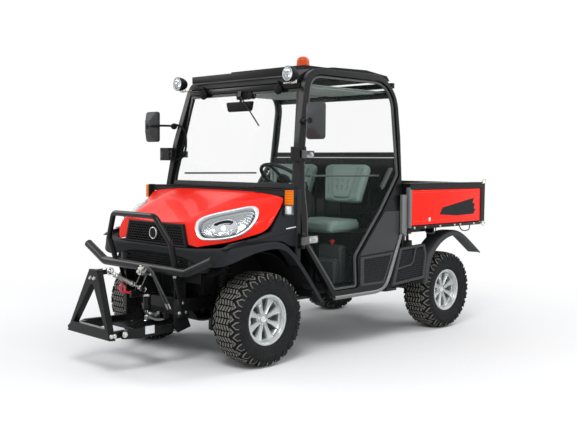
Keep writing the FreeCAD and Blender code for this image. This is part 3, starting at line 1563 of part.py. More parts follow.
def lift_cylinder():
    """The upright lift cylinder: barrel hung from its pin, rod down to the cross plate."""
    top = s.lift_cylinder_top
    y = -s.lift_cylinder_place
    width = s.top_link_width
    barrel = cylinder("z", zero, y, top - s.lift_barrel_length, s.lift_barrel_radius, s.lift_barrel_length -
                      s.top_link_eye * 0.8)
    eye = cylinder("x", -width / 2, y, top, s.top_link_eye, width)
    bore = cylinder("z", zero, y, top - s.lift_barrel_length - s.overrun,
                    s.lift_rod_radius + s.running_gap, s.lift_barrel_length - s.top_link_eye * 3)
    solid = fuse([barrel, eye])
    finish("lift_barrel", [cut(solid, [bore, eye_bore(-width / 2, y, top, width)])])
    low = s.lift_cylinder_eye
    rod_length = top - low - s.top_link_eye * 5
    rod = cylinder("z", zero, y, low, s.lift_rod_radius, rod_length)
    rod_eye = cylinder("x", -width / 2, y, low, s.top_link_eye * 0.8, width)
    finish("lift_rod", [rod, rod_eye])


def bed_cylinder():
    """The tipping cylinder: barrel on its foot pin, rod up to the bed."""
    start = (s.bed_cylinder_foot_place, s.bed_cylinder_foot_height)
    end = (s.bed_cylinder_head_place, s.bed_cylinder_head_height)
    length, lean = along_line(*start, *end)
    share = length / float(s.bed_barrel_length)
    whole = s.bed_barrel_length * share
    radius = s.bed_barrel_radius
    width = radius * 1.7
    barrel = cylinder("z", zero, zero, radius * 0.6, radius, s.bed_barrel_length - radius * 0.6)
    eye = cylinder("x", -width / 2, zero, zero, radius * 0.85, width)
    bore = cylinder("z", zero, zero, radius * 1.4, s.bed_rod_radius + s.running_gap, s.bed_barrel_length)
    solid = cut(fuse([barrel, eye]), [bore, eye_bore(-width / 2, zero, zero, width)])
    turn(solid, X_AXIS, -lean)
    place(solid, zero, start[0], start[1])
    finish("bed_barrel", [solid])
    rod = cylinder("z", zero, zero, radius * 1.6, s.bed_rod_radius, whole - radius * 1.6)
    head = cylinder("x", -width / 2, zero, whole, s.bed_rod_radius * 1.2, width)
    pair = turn(fuse([rod, head]), X_AXIS, -lean)
    place(pair, zero, start[0], start[1])
    finish("bed_rod", [pair])


def knuckle(label, side):
    """A steering upright with its spindle and steering arm."""
    y = axle_places()[0]
    kingpin = s.kingpin_half
    upright = box(kingpin - s.upright_thickness / 2, y - s.upright_width / 2, s.upright_base,
                  s.upright_thickness, s.upright_width, s.upright_top - s.upright_base)
    hub_start = s.track_width / 2 + s.disc_offset - s.disc_thickness - s.disc_dish - s.hub_boss_length
    spindle = cylinder("x", kingpin, y, axle_height(), s.spindle_radius,
                       hub_start + s.spindle_length - kingpin)
    flange = cylinder("x", kingpin, y, axle_height(), s.spindle_radius * 1.5, hub_start - kingpin - s.panel_gap)
    arm = box(kingpin - s.upright_thickness / 2 - s.steer_arm_width / 2, y, s.steer_arm_height,
              s.steer_arm_width, s.steer_arm_length + s.steer_arm_width / 2, s.steer_arm_thickness)
    kingpin_sleeve = cylinder("z", kingpin, y, s.upright_base, s.kingpin_radius, s.upright_top - s.upright_base)
    whole = fuse([upright, kingpin_sleeve, spindle, flange, arm])
    finish(label, [whole if side > 0 else mirror(whole)])


def front_suspension():
    """Upper and lower wishbones and a coil damper at each front wheel."""
    y = axle_places()[0]
    outer = s.kingpin_half
    inner = s.rail_middle + s.rail_width / 2 + s.wishbone_tube * 1.2 + s.seat_gap
    low_ball = s.upright_base - s.ball_end_radius - s.ball_end_gap
    high_ball = s.upright_top + s.ball_end_radius + s.ball_end_gap
    things = []
    for z, ball_z, spread in ((s.lower_wishbone_height, low_ball, s.arm_spread),
                              (s.upper_wishbone_height, high_ball, s.upper_spread)):
        for side in (-1, 1):
            things.append(tube([(inner, y + spread * side, z), (outer, y, ball_z)], s.wishbone_tube))
        things.append(ball(outer, y, ball_z, s.ball_end_radius))
        things.append(cylinder("y", inner, y - spread - s.ball_end_radius, z, s.wishbone_tube * 1.2,
                               spread * 2 + s.ball_end_radius * 2))
    damper_y = y - s.damper_shift
    top_x = s.rail_middle + s.rail_width / 2 + s.spring_radius + s.overrun
    foot = (s.damper_foot_half, damper_y, s.damper_foot_height)
    top = (top_x, damper_y, s.damper_top_height)
    low_share, high_share = 0.45, 0.9
    middle = tuple(a + (b - a) * low_share for a, b in zip(foot, top))
    high = tuple(a + (b - a) * high_share for a, b in zip(foot, top))
    things.append(tube([foot, top], s.damper_radius / 2))
    things.append(tube([middle, high], s.spring_radius))
    start = s.rail_middle + s.rail_width / 2 + s.seat_gap
    things.append(cylinder("x", start, damper_y, s.damper_top_height, s.damper_radius / 2, top_x - start))
    whole = fuse(things)
    finish("front_suspension", [whole, mirror(whole)], apart=True)


def steering_rack():
    """The rod that slides in the rack's housing, with an upright end below each steering arm."""
    y, z = rack_line()
    half = s.kingpin_half - s.upright_thickness / 2
    things = [cylinder("x", -half, y, z, s.rack_radius, half * 2)]
    end = cylinder("z", half, y, z - s.rack_radius * 1.2, s.rack_radius * 1.3, s.rack_radius * 2.23)
    finish("steering_rack", things + [end, mirror(end)])


def front_axle():
    """Gear case with a drive shaft and a rubber boot to each front wheel."""
    y = axle_places()[0]
    z = axle_height()
    case = rounded_block(-s.gear_case_half, y - s.gear_case_length / 2, z - s.gear_case_height / 2,
                         s.gear_case_half * 2, s.gear_case_length * 0.72, s.gear_case_height, s.gear_case_half / 3)
    shaft = cylinder("x", -s.boot_end_half, y, z, s.shaft_radius, s.boot_end_half * 2)
    things = [case, shaft]
    for side in (-1, 1):
        boot = turned([(zero, zero), (s.shaft_radius * 1.3, zero), (s.boot_radius, s.boot_radius * 2),
                       (s.boot_radius, s.boot_radius * 2.4), (zero, s.boot_radius * 2.4)], "x", flip=side < 0)
        place(boot, (s.boot_end_half - s.boot_radius * 2.4) * side, y, z)
        things.append(boot)
    case_end = y + s.gear_case_length * 0.22
    things.append(cylinder("y", zero, case_end - s.overrun, s.prop_shaft_height, s.prop_shaft_radius,
                           s.engine_front - s.seat_gap - case_end + s.overrun))
    finish("front_axle", things)


def rear_axle():
    """Rear axle tube with gear case, hub spindles, trailing arms and coil dampers."""
    y = axle_places()[1]
    z = axle_height()
    case = rounded_block(-s.gear_case_half, y - s.gear_case_length / 2, z - s.gear_case_height / 2,
                         s.gear_case_half * 2, s.gear_case_length, s.gear_case_height, s.gear_case_half / 3)
    beam = cylinder("x", -s.axle_tube_half, y, z, s.axle_tube_radius, s.axle_tube_half * 2)
    hub_start = s.track_width / 2 + s.disc_offset - s.disc_thickness - s.disc_dish - s.hub_boss_length
    spindle_reach = hub_start + s.spindle_length
    spindle = cylinder("x", -spindle_reach, y, z, s.spindle_radius, spindle_reach * 2)
    drum_reach = hub_start - s.panel_gap - s.axle_tube_half
    things = [case, beam, spindle]
    for side in (-1, 1):
        drum_x = s.axle_tube_half if side > 0 else -s.axle_tube_half - drum_reach
        things.append(cylinder("x", drum_x, y, z, s.spindle_radius * 2, drum_reach))
        x = s.damper_foot_half * 0.94 * side
        arm = tube([(x, y, z), (s.rail_middle * 1.22 * side, s.kick_start - s.arm_spread, s.rail_bottom)],
                   s.wishbone_tube * 1.3)
        foot = tube([(s.rail_middle * 1.22 * side, s.kick_start - s.arm_spread, s.rail_bottom),
                     (s.rail_middle * side + (s.rail_width / 2 + s.seat_gap) * side, s.kick_start - s.arm_spread,
                      s.rail_bottom)], s.wishbone_tube)
        damper = tube([(x, y - s.axle_tube_radius, z), (x, y - s.axle_tube_radius * 2, s.deck_rail_bottom)],
                      s.damper_radius / 2)
        spring = tube([(x, y - s.axle_tube_radius * 1.3, z + s.arm_spread),
                       (x, y - s.axle_tube_radius * 1.9, s.deck_rail_bottom - s.rail_width)], s.spring_radius)
        start_x = s.rail_middle + s.rail_width / 2 + s.seat_gap
        reach = s.damper_foot_half * 0.94 + s.damper_radius - start_x
        seat = box(start_x if side > 0 else -start_x - reach, y - s.axle_tube_radius * 2 - s.damper_radius,
                   s.deck_rail_bottom, reach, s.damper_radius * 2, s.damper_radius)
        things += [arm, foot, damper, spring, seat]
    shaft_start = s.engine_front + s.engine_length + s.seat_gap
    things.append(cylinder("y", zero, shaft_start, z, s.prop_shaft_radius, y - shaft_start))
    finish("rear_axle", things)


def engine_block():
    half = s.rail_middle - s.rail_width / 2 - s.seat_gap
    finish("engine_block", [box_across(half, s.engine_front, s.engine_base, s.engine_length, s.engine_height)])


def side_panels():
    """Panels beside the engine, each with a recessed mesh field."""
    outline = shared(SIDE_PANEL_SHARES, s.side_panel_front, s.side_panel_length, s.side_panel_base,
                     s.side_panel_height)
    start = s.body_half - s.hoop_width
    panel = prism("side", [outline], start, s.panel_thickness)
    recess = prism("side", [inset(outline, s.flare_wall)], start + s.panel_thickness - s.mesh_recess,
                   s.mesh_recess + s.overrun)
    plate = cut(panel, [recess])
    finish("side_panels", [plate, mirror(plate)], apart=True)


def bed():
    """Load bed: floor, front and side walls with rails and corner posts, hinge lugs and the cylinder's lug."""
    inside = s.bed_inside_half
    wall = s.bed_wall
    floor_low = s.bed_floor_height - s.bed_floor_thickness
    length = wall + s.bed_inside_length
    floor = box_across(inside + wall, s.bed_front, floor_low, length, s.bed_floor_thickness)
    front = box_across(inside + wall, s.bed_front, floor_low, wall, s.bed_wall_top - floor_low)
    things = [floor, front]
    side_wall = box(inside, s.bed_front, floor_low, wall, length, s.bed_wall_top - floor_low)
    rail = box(inside, s.bed_front, s.bed_panel_top + s.seat_gap, s.bed_half - inside,
               length, s.bed_wall_top - s.bed_panel_top - s.seat_gap)
    post = box(inside + wall - s.overrun, s.bed_front + length - s.bed_wall, floor_low,
               s.bed_half - inside - wall + s.overrun, s.bed_wall, s.bed_wall_top - floor_low)
    beam = box(inside - s.rail_width * 2, s.bed_front + wall, floor_low - s.rail_width / 3, s.rail_width,
               length - wall * 2, s.rail_width / 3 + s.overrun)
    lug_x = s.rail_middle + s.rail_width / 2 + s.panel_gap / 2
    lug = prism("side", [[
        (s.bed_hinge_place - s.bed_hinge_radius * 1.2, floor_low + s.overrun),
        (s.bed_hinge_place - s.bed_hinge_radius * 1.2, s.bed_hinge_height - s.bed_hinge_radius),
        (s.bed_hinge_place + s.bed_hinge_radius * 1.2, s.bed_hinge_height - s.bed_hinge_radius),
        (s.bed_hinge_place + s.bed_hinge_radius * 1.2, floor_low + s.overrun),
    ]], lug_x, s.bed_lug_width)
    lug_hole = cylinder("x", lug_x - s.overrun, s.bed_hinge_place, s.bed_hinge_height,
                        s.bed_hinge_radius / 2 + s.running_gap, s.bed_lug_width + s.overrun * 2)
    bored_lug = cut(lug, [lug_hole])
    for thing in (side_wall, rail, post, beam, bored_lug):
        things += [thing, mirror(thing)]
    head_gap = s.bed_barrel_radius + s.panel_gap
    head_lug = box(head_gap, s.bed_cylinder_head_place - s.bed_rod_radius,
                   s.bed_cylinder_head_height - s.bed_rod_radius * 1.2, s.tower_plate, s.bed_rod_radius * 2,
                   floor_low + s.overrun - s.bed_cylinder_head_height + s.bed_rod_radius * 1.2)
    things += [head_lug, mirror(head_lug)]
    gate_y, gate_z = gate_axis()
    lug_low = gate_z - s.gate_hinge_radius
    for share in (-0.7, 0.7):
        middle = s.bed_inside_half * share
        for offset in (-1, 1):
            start = middle + s.gate_lug_width * (0.5 if offset > 0 else -1) + s.running_gap * offset
            ear = box(start, s.bed_front + length - s.overrun, lug_low, s.gate_lug_width / 2,
                      gate_y - s.bed_front - length + s.overrun + s.gate_hinge_radius, s.gate_hinge_radius * 2)
            things.append(ear)
    finish("bed_tub", things)
    panel = box(inside + wall + s.seat_gap, s.bed_front, s.bed_panel_base,
                s.bed_half - inside - wall - s.seat_gap, length - s.bed_wall - s.seat_gap,
                s.bed_panel_top - s.bed_panel_base)
    finish("bed_side_panels", [panel, mirror(panel)], apart=True)


def gate_axis():
    """The tailgate's hinge line, behind and below the bed's floor."""
    y = s.bed_front + s.bed_wall + s.bed_inside_length + s.panel_gap + s.gate_thickness / 2
    z = s.bed_floor_height - s.bed_floor_thickness - s.gate_hinge_radius
    return y, z


def tailgate():
    gate_y, gate_z = gate_axis()
    low = gate_z + s.gate_hinge_radius + s.panel_gap
    plate = box_across(s.bed_half - s.panel_gap, gate_y - s.gate_thickness / 2, low, s.gate_thickness,
                       s.bed_wall_top - s.panel_gap - low)
    things = [plate]
    for share in (-0.7, 0.7):
        middle = s.bed_inside_half * share
        start = middle - s.gate_lug_width / 2
        things.append(box(start, gate_y - s.gate_hinge_radius, gate_z, s.gate_lug_width,
                          s.gate_hinge_radius * 2, low - gate_z + s.overrun))
        things.append(cylinder("x", start, gate_y, gate_z, s.gate_hinge_radius, s.gate_lug_width))
    finish("tailgate", things)


def doors():
    """Each door: a pane in an edge seal with hinge straps, a bar across and a pull handle."""
    out = s.body_half - s.door_inset
    rim_outline = inset(doorway_outline(), s.panel_gap)
    pane_outline = inset(doorway_outline(), s.panel_gap + s.door_seal)
    pane_edge = inset(doorway_outline(), s.panel_gap + s.door_seal + s.seat_gap * 3)
    seal = leaning([rim_outline, pane_outline], out, s.door_seal_depth)
    pane_out = out - (s.door_seal_depth - s.pane_thickness) / 2
    pane = leaning([pane_edge], pane_out, s.pane_thickness)
    things = [seal]
    for z, edge_share in zip((s.upper_hinge_height, s.lower_hinge_height), HINGE_EDGE_SHARES):
        things.append(hinge_strap_on_door(z, out, edge_share))
    inner = pane_out - lean_at(s.door_bar_height) - s.pane_thickness - s.door_bar_standoff
    bar = cylinder("y", inner, s.door_bar_front, s.door_bar_height, s.door_bar_radius, s.door_bar_length)
    left_pieces = []
    for y in (s.door_bar_front + s.door_bar_radius * 2, s.door_bar_front + s.door_bar_length - s.door_bar_radius * 2):
        left_pieces.append(cylinder("x", inner, y, s.door_bar_height, s.door_bar_radius,
                                    s.door_bar_standoff - s.seat_gap - s.lean_in / s.lean_rise * s.door_bar_radius))
    handle = door_handle(pane_out)
    bars = fuse([bar] + left_pieces)
    finish("door_left_frame", [group(things + [bars, handle])], apart=True)
    finish("door_right_frame", [mirror(group(things + [bars, handle]))], apart=True)
    finish("door_left_glass", [pane])
    finish("door_right_glass", [mirror(pane)])


def hinge_strap_on_door(z, out, edge_share):
    """The strap from the hinge barrel round the pillar to the door's face."""
    face = pillar_face(z)
    glass = out - (zero if float(z) < float(s.waist_height) else lean_at(z)) + s.seat_gap
    strap = s.hinge_strap
    front = -s.hinge_place
    doorway_edge = -s.hoop_front + s.hoop_length * edge_share
    outline = [
        (s.hinge_out - strap, front), (s.hinge_out + strap / 2, front),
        (s.hinge_out + strap / 2, front + s.hinge_radius * 1.5),
        (face + s.panel_gap + strap, doorway_edge + s.panel_gap),
        (glass + strap, doorway_edge + s.panel_gap * 4), (glass + strap, front + s.hinge_strap_length),
        (glass, front + s.hinge_strap_length), (glass, doorway_edge + s.panel_gap * 3),
        (face + s.panel_gap, doorway_edge), (s.hinge_out - strap, front + s.hinge_radius),
    ]
    plate = prism("top", [outline], z, s.hinge_height)
    barrel = cylinder("z", s.hinge_out, front, z, s.hinge_radius, s.hinge_height)
    return fuse([plate, barrel])


def door_handle(pane_out):
    """A slanted pull on the inside of the pane."""
    inner = pane_out - lean_at(s.handle_height + s.handle_rise) - s.pane_thickness - s.seat_gap - s.handle_depth
    outline = [
        (s.handle_place, s.handle_height, s.handle_width / 4),
        (s.handle_place + s.handle_width, s.handle_height, s.handle_width / 4),
        (s.handle_place + s.handle_run, s.handle_height + s.handle_rise, s.handle_width / 4),
        (s.handle_place + s.handle_run - s.handle_width, s.handle_height + s.handle_rise, s.handle_width / 4),
    ]
    return prism("side", [outline], inner, s.handle_depth)


def mirrors():
    """A housing tapered to the front on a stalk from the pillar."""
    z = s.mirror_height
    y = -s.mirror_place
    wide = s.mirror_wide / 2
    tall = s.mirror_tall / 2
    rear_y = y + s.mirror_deep / 2
    front_y = y - s.mirror_deep / 2
    middle_section = y + s.mirror_deep * 0.2
    x = s.mirror_out

    def section(at, share):
        return [(x - wide * share, at, z - tall * share), (x + wide * share, at, z - tall * share),
                (x + wide * share, at, z + tall * share), (x - wide * share, at, z + tall * share)]

    shell = loft([section(rear_y, 1), section(middle_section, 1), section(front_y, 0.3)])
    face = pillar_face(z - s.mirror_stalk * 1.5) + s.seat_gap
    root_y = -s.hoop_front + s.hoop_width * 2
    stalk = tube([(face + s.mirror_stalk / 2, root_y, z), (x, y, z)], s.mirror_stalk)
    foot = box(face, root_y - s.mirror_stalk * 1.5, z - s.mirror_stalk * 1.5, s.mirror_stalk,
               s.mirror_stalk * 3, s.mirror_stalk * 3)
    whole = fuse([shell, stalk, foot])
    finish("mirrors", [whole, mirror(whole)], apart=True)


def signal_lamps():
    """Turn lamps on the cowl's sides and tail lamps under the bed."""
    x = s.body_half - s.hoop_width * 0.2 + s.seat_gap
    lamp = box(x, -s.signal_place - s.signal_wide / 2, s.signal_base, s.signal_deep, s.signal_wide, s.signal_tall)
    tail_x = s.rail_middle + s.rail_width / 2 + s.seat_gap
    tail = box(tail_x, s.deck_rail_end - s.tail_lamp_depth,
               s.deck_rail_bottom + s.deck_rail_height - s.tail_lamp_height * 1.3, s.tail_lamp_width,
               s.tail_lamp_depth, s.tail_lamp_height)
    finish("signal_lamps", [lamp, mirror(lamp), tail, mirror(tail)], apart=True)


def work_lamps():
    """Round lamps on brackets at the roof's front corners."""
    r = s.work_lamp_radius
    deep = s.work_lamp_depth
    profile = [(zero, zero), (r * 0.6, zero), (r * 0.92, deep * 0.35), (r, deep * 0.8), (r, deep), (zero, deep)]
    lamp = turned(profile, "y", flip=True)
    place(lamp, s.work_lamp_half, -s.work_lamp_place + deep / 2, s.work_lamp_height)
    bracket_z = s.roof_base - s.mirror_stalk / 2
    bracket = box(s.work_lamp_half - r * 1.2, -s.work_lamp_place - s.mirror_stalk, bracket_z, r * 1.4,
                  s.work_lamp_place - s.roof_front - s.seat_gap + s.mirror_stalk, s.mirror_stalk * 2)
    whole = fuse([lamp, bracket])
    finish("work_lamps", [whole, mirror(whole)], apart=True)


def beacon():
    base_z = s.roof_base + s.roof_height + s.roof_panel_rise + s.seat_gap
    r = s.beacon_radius
    rise = s.beacon_base_height
    profile = [(zero, zero), (s.beacon_base_radius, zero), (s.beacon_base_radius, rise), (r, rise),
               (r * 0.92, s.beacon_height, r * 0.5), (zero, s.beacon_height)]
    finish("beacon", [place(turned(profile), zero, zero, base_z)])


def wiper():
    """Motor cover, arm and blade on the windscreen."""
    ahead = -s.wiper_radius * 3
    high = s.screen_length - s.screen_band * 1.2
    arm = tube([(zero, ahead, high), (s.screen_length * 0.35, ahead, s.screen_length * 0.62)], s.wiper_radius)
    cap = box(-s.screen_band / 2, ahead - s.wiper_radius * 2, high - s.screen_band * 0.3, s.screen_band,
              -s.seat_gap - ahead + s.wiper_radius * 2, s.screen_band * 1.2)
    finish("wiper", [on_screen(fuse([arm, cap]))])


def hitch():
    """Rear receiver: a square bar under the deck with a flat ball plate."""
    drop_start = s.deck_rail_end - s.cross_width
    drop = box_across(s.hitch_width / 2, drop_start, s.hitch_base, s.cross_width * 0.8,
                      s.deck_rail_bottom + s.overrun - s.hitch_base)
    plate = box_across(s.hitch_plate_width / 2, drop_start, s.hitch_base, s.hitch_reach - drop_start, s.mount_plate)
    hole = cylinder("z", zero, s.hitch_reach - s.hitch_plate_width / 3, s.hitch_base - s.overrun,
                    s.hitch_hole_radius, s.mount_plate + s.overrun * 2)
    return cut(fuse([drop, plate]), [hole])


def build():
    fill_sheet()
    front, rear = axle_places()
    for name, side, axle in (("front_left", 1, front), ("front_right", -1, front), ("rear_left", 1, rear),
                             ("rear_right", -1, rear)):
        tyre(f"tyre_{name}", side, axle)
        rim(f"rim_{name}", side, axle)
    chassis_frame()
    cab_frame()
    cab_glass()
    rear_wall()
    floor_pan()
    seat_box()
    seats()
    dashboard()
    steering_wheel()
    levers()
    roof()
    hood()
    headlamps()
    hood_grille()
    front_fascia()
    front_flares()
    rear_flares()
    cowl()
    guard_bar()
    linkage_mount()
    lift_arms()
    coupler()
    top_link()
    lift_cylinder()
    bed_cylinder()
    knuckle("knuckle_left", 1)
    knuckle("knuckle_right", -1)
    front_suspension()
    steering_rack()
    front_axle()
    rear_axle()
    engine_block()
    side_panels()
    bed()
    tailgate()
    doors()
    mirrors()
    signal_lamps()
    work_lamps()
    beacon()
    wiper()


def check_and_write():
    doc.recompute()
    for thing in doc.Objects:
        if "Invalid" in thing.State or "Error" in thing.State:
            raise RuntimeError(f"{thing.Label} did not build: {thing.State}")
    for node in nodes:
        if node.Shape.isNull() or not node.Shape.isValid() or not node.Shape.Solids:
            raise RuntimeError(f"{node.Label} has no valid solid")
    os.makedirs("parts", exist_ok=True)
    for node in nodes:
        node.Shape.exportStep(f"parts/{node.Label}.step")


build()
check_and_write()
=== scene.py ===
"""Dresses the side by side utility vehicle: a finish for every CAD node, and pieces that ride on them."""

import json
import math

import bpy
from mathutils import Matrix, Vector


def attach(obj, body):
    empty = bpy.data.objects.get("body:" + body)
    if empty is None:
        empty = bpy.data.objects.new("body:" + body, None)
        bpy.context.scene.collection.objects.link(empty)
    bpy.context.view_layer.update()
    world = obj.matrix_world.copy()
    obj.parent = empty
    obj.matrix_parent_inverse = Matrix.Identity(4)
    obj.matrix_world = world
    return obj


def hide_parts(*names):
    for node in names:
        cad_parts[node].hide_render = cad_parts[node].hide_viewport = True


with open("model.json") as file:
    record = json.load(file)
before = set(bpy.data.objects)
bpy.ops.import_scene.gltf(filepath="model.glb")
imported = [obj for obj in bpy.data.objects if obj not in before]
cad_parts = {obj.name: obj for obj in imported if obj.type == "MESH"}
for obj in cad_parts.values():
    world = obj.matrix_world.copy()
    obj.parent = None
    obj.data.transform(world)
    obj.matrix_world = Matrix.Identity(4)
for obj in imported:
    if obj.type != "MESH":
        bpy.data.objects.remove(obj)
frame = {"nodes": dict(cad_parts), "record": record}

bl_info = {
    "name": "Side By Side Vehicle Dresser",
    "version": (1, 0, 0),
    "blender": (4, 5, 0),
    "location": "3D View > Sidebar > Vehicle",
    "description": "Finishes, tread, lamps, seats and fittings for the side by side vehicle",
    "category": "Object"}

MIDDLE_Y = 0.245
SIDES = ((1, "left"), (-1, "right"))


def at(across, along, up):
    """A place in the row frame, from one that is counted from the middle of the wheelbase."""
    return Vector((across, along + MIDDLE_Y, up))


class VehicleSizes(bpy.types.PropertyGroup):
    tread_pitches: bpy.props.IntProperty(
        name="Tread pitches", description="How often the tread pattern repeats round a tyre", default=24,
        min=8)
    tread_depth: bpy.props.FloatProperty(
        name="Tread depth", description="Height of the tread blocks", default=0.0135, unit="LENGTH")
    hose_thickness: bpy.props.FloatProperty(
        name="Hose thickness", description="Diameter of the two lift hoses", default=0.014, unit="LENGTH")
    seat_crown: bpy.props.FloatProperty(
        name="Seat crown", description="How far the seat pads may swell", default=0.016, unit="LENGTH")


class VehicleColours(bpy.types.PropertyGroup):
    paint: bpy.props.FloatVectorProperty(
        name="Paint", description="Colour of the hood and the bed sides", default=(0.9, 0.015, 0.005),
        subtype="COLOR", min=0, max=1)
    charcoal: bpy.props.FloatVectorProperty(
        name="Charcoal", description="Colour of the moulded body panels", default=(0.02, 0.0215, 0.024),
        subtype="COLOR", min=0, max=1)
    black: bpy.props.FloatVectorProperty(
        name="Black", description="Colour of the painted frames", default=(0.0055, 0.0058, 0.0063),
        subtype="COLOR", min=0, max=1)
    rim: bpy.props.FloatVectorProperty(
        name="Rim", description="Colour of the rims", default=(0.52, 0.54, 0.545), subtype="COLOR", min=0,
        max=1)
    seat: bpy.props.FloatVectorProperty(
        name="Seat", description="Colour of the seat vinyl", default=(0.165, 0.235, 0.21), subtype="COLOR",
        min=0, max=1)
    glass: bpy.props.FloatVectorProperty(
        name="Glass", description="Tint of the cab's panes", default=(0.1, 0.16, 0.13), subtype="COLOR",
        min=0, max=1)


# Shader groups


def new_group(label, inputs, outputs):
    """An empty shader group with named inputs and outputs, and its two end nodes."""
    tree = bpy.data.node_groups.new(label, "ShaderNodeTree")
    for name, kind, value in inputs:
        socket = tree.interface.new_socket(name, in_out="INPUT", socket_type="NodeSocket" + kind)
        socket.default_value = value
    for name, kind in outputs:
        tree.interface.new_socket(name, in_out="OUTPUT", socket_type="NodeSocket" + kind)
    return tree, tree.nodes.new("NodeGroupInput"), tree.nodes.new("NodeGroupOutput")


def given(tree, value, socket):
    """Gives a socket a value, or a link from another socket."""
    if isinstance(value, bpy.types.NodeSocket):
        tree.links.new(value, socket)
    else:
        socket.default_value = value


def node(tree, kind, settings=(), **inputs):
    """Adds a shader node, sets its options, and gives each input a value or a link."""
    made = tree.nodes.new("ShaderNode" + kind)
    for key, value in dict(settings).items():
        setattr(made, key, value)
    for key, value in inputs.items():
        numbered = key[0] == "i" and key[1:].isdigit()
        given(tree, value, made.inputs[int(key[1:]) if numbered else key.replace("_", " ")])
    return made


def mixed(tree, share, first, second):
    """A colour mix of two colours by a share."""
    return node(tree, "Mix", {"data_type": "RGBA"}, i0=share, i6=first, i7=second).outputs[2]


def ranged(tree, value, low, high, to_low=0.0, to_high=1.0):
    made = node(
        tree, "MapRange", (), Value=value, From_Min=low, From_Max=high, To_Min=to_low, To_Max=to_high)
    return made.outputs[0]


def maths(tree, operation, first, second=0.5):
    return node(tree, "Math", {"operation": operation}, i0=first, i1=second).outputs[0]


def edge_group():
    """Rounds hard edges in the light, and marks them for wear and for a painted edge highlight."""
    tree, start, end = new_group(
        "rounded edges", [("Radius", "Float", 0.002)], [("Normal", "Vector"), ("Edge", "Float")])
    bevel = node(tree, "Bevel", {"samples": 4}, Radius=start.outputs["Radius"])
    plain = tree.nodes.new("ShaderNodeNewGeometry")
    turn = node(
        tree, "VectorMath", {"operation": "DOT_PRODUCT"}, i0=bevel.outputs[0], i1=plain.outputs["Normal"])
    tree.links.new(bevel.outputs[0], end.inputs["Normal"])
    tree.links.new(ranged(tree, turn.outputs["Value"], 0.985, 0.8), end.inputs["Edge"])
    return tree


def grain_group():
    """Fine surface grain, and a slow drift of shade over the surface."""
    tree, start, end = new_group(
        "surface grain", [("Scale", "Float", 400.0)], [("Height", "Float"), ("Drift", "Float")])
    place = tree.nodes.new("ShaderNodeTexCoord").outputs["Object"]
    fine = node(tree, "TexNoise", (), Vector=place, Scale=start.outputs["Scale"], Detail=3.0)
    slow = node(tree, "TexNoise", (), Vector=place, Scale=5.0, Detail=5.0)
    tree.links.new(fine.outputs[0], end.inputs["Height"])
    tree.links.new(slow.outputs[0], end.inputs["Drift"])
    return tree


def dust_group():
    """Road dust, more of it low down and in patches."""
    inputs = [
        ("Colour", "Color", (0.5, 0.5, 0.5, 1)), ("Dust", "Color", (0.22, 0.2, 0.17, 1)),
        ("Amount", "Float", 0.1)]
    tree, start, end = new_group("road dust", inputs, [("Colour", "Color"), ("Mask", "Float")])
    place = tree.nodes.new("ShaderNodeTexCoord").outputs["Object"]
    patches = node(tree, "TexNoise", (), Vector=place, Scale=16.0, Detail=6.0)
    height = node(tree, "SeparateXYZ", (), Vector=place).outputs["Z"]
    low = ranged(tree, height, 0.1, 1.1, 1.0, 0.25)
    mask = maths(tree, "MULTIPLY", ranged(tree, patches.outputs[0], 0.4, 0.75), low)
    mask = maths(tree, "MULTIPLY", mask, start.outputs["Amount"])
    tree.links.new(mixed(tree, mask, start.outputs["Colour"], start.outputs["Dust"]), end.inputs["Colour"])
    tree.links.new(mask, end.inputs["Mask"])
    return tree


GROUPS = {}


def placed(tree, label, **inputs):
    """A copy of a shared group in a material, with its own values."""
    made = tree.nodes.new("ShaderNodeGroup")
    made.node_tree = GROUPS[label]
    for key, value in inputs.items():
        given(tree, value, made.inputs[key])
    return made


def opaque(colour):
    return (*tuple(colour)[:3], 1.0)


def lighter(colour, share):
    """A colour moved towards white by a share."""
    return tuple(c + (1 - c) * share for c in tuple(colour)[:3])


def scaled(colour, share):
    """A colour made stronger or weaker in proportion."""
    return tuple(min(1.0, c * share) for c in tuple(colour)[:3])


def new_material(label):
    """A material with its node tree and its Principled shader."""
    material = bpy.data.materials.new(label)
    material.use_nodes = True
    return material, material.node_tree, material.node_tree.nodes["Principled BSDF"]


def finish(
        label, colour, rough, metal=0.0, coat=0.0, grain=500.0, depth=0.1, drift=0.06, edge=0.1, dust=0.05,
        radius=0.002, extra=None, glow=0.0, shine=0.5):
    """A finish of the vehicle's own: drifting colour, grain, rounded edges lightened as wear and painted
    highlight, dust.
    """
    material, tree, shader = new_material(label)
    surface = placed(tree, "surface grain", Scale=grain)
    edges = placed(tree, "rounded edges", Radius=radius)
    weaker, stronger = opaque(scaled(colour, 1 - 2 * drift)), opaque(scaled(colour, 1 + 2 * drift))
    shade = mixed(tree, surface.outputs["Drift"], weaker, stronger)
    height = surface.outputs["Height"]
    if extra:
        shade, height = extra(tree, shade)
    # Edges are mixed towards a lighter colour: partly wear, partly a painted highlight.
    worn_and_highlit_edge = maths(tree, "MULTIPLY", edges.outputs["Edge"], edge)
    shade = mixed(tree, worn_and_highlit_edge, shade, opaque(lighter(colour, 0.5)))
    dusty = placed(tree, "road dust", Colour=shade, Amount=dust)
    tree.links.new(dusty.outputs["Colour"], shader.inputs["Base Color"])
    spread = ranged(tree, surface.outputs["Drift"], 0.3, 0.7, rough * 0.88, rough * 1.12)
    tree.links.new(maths(tree, "ADD", spread, dusty.outputs["Mask"]), shader.inputs["Roughness"])
    bump = node(
        tree, "Bump", (), Strength=depth, Distance=0.001, Height=height, Normal=edges.outputs["Normal"])
    tree.links.new(bump.outputs[0], shader.inputs["Normal"])
    values = {"Metallic": metal, "Coat Weight": coat, "Coat Roughness": 0.06, "Specular IOR Level": shine}
    if glow:
        values.update({"Emission Color": opaque(colour), "Emission Strength": glow})
    for key, value in values.items():
        shader.inputs[key].default_value = value
    return material


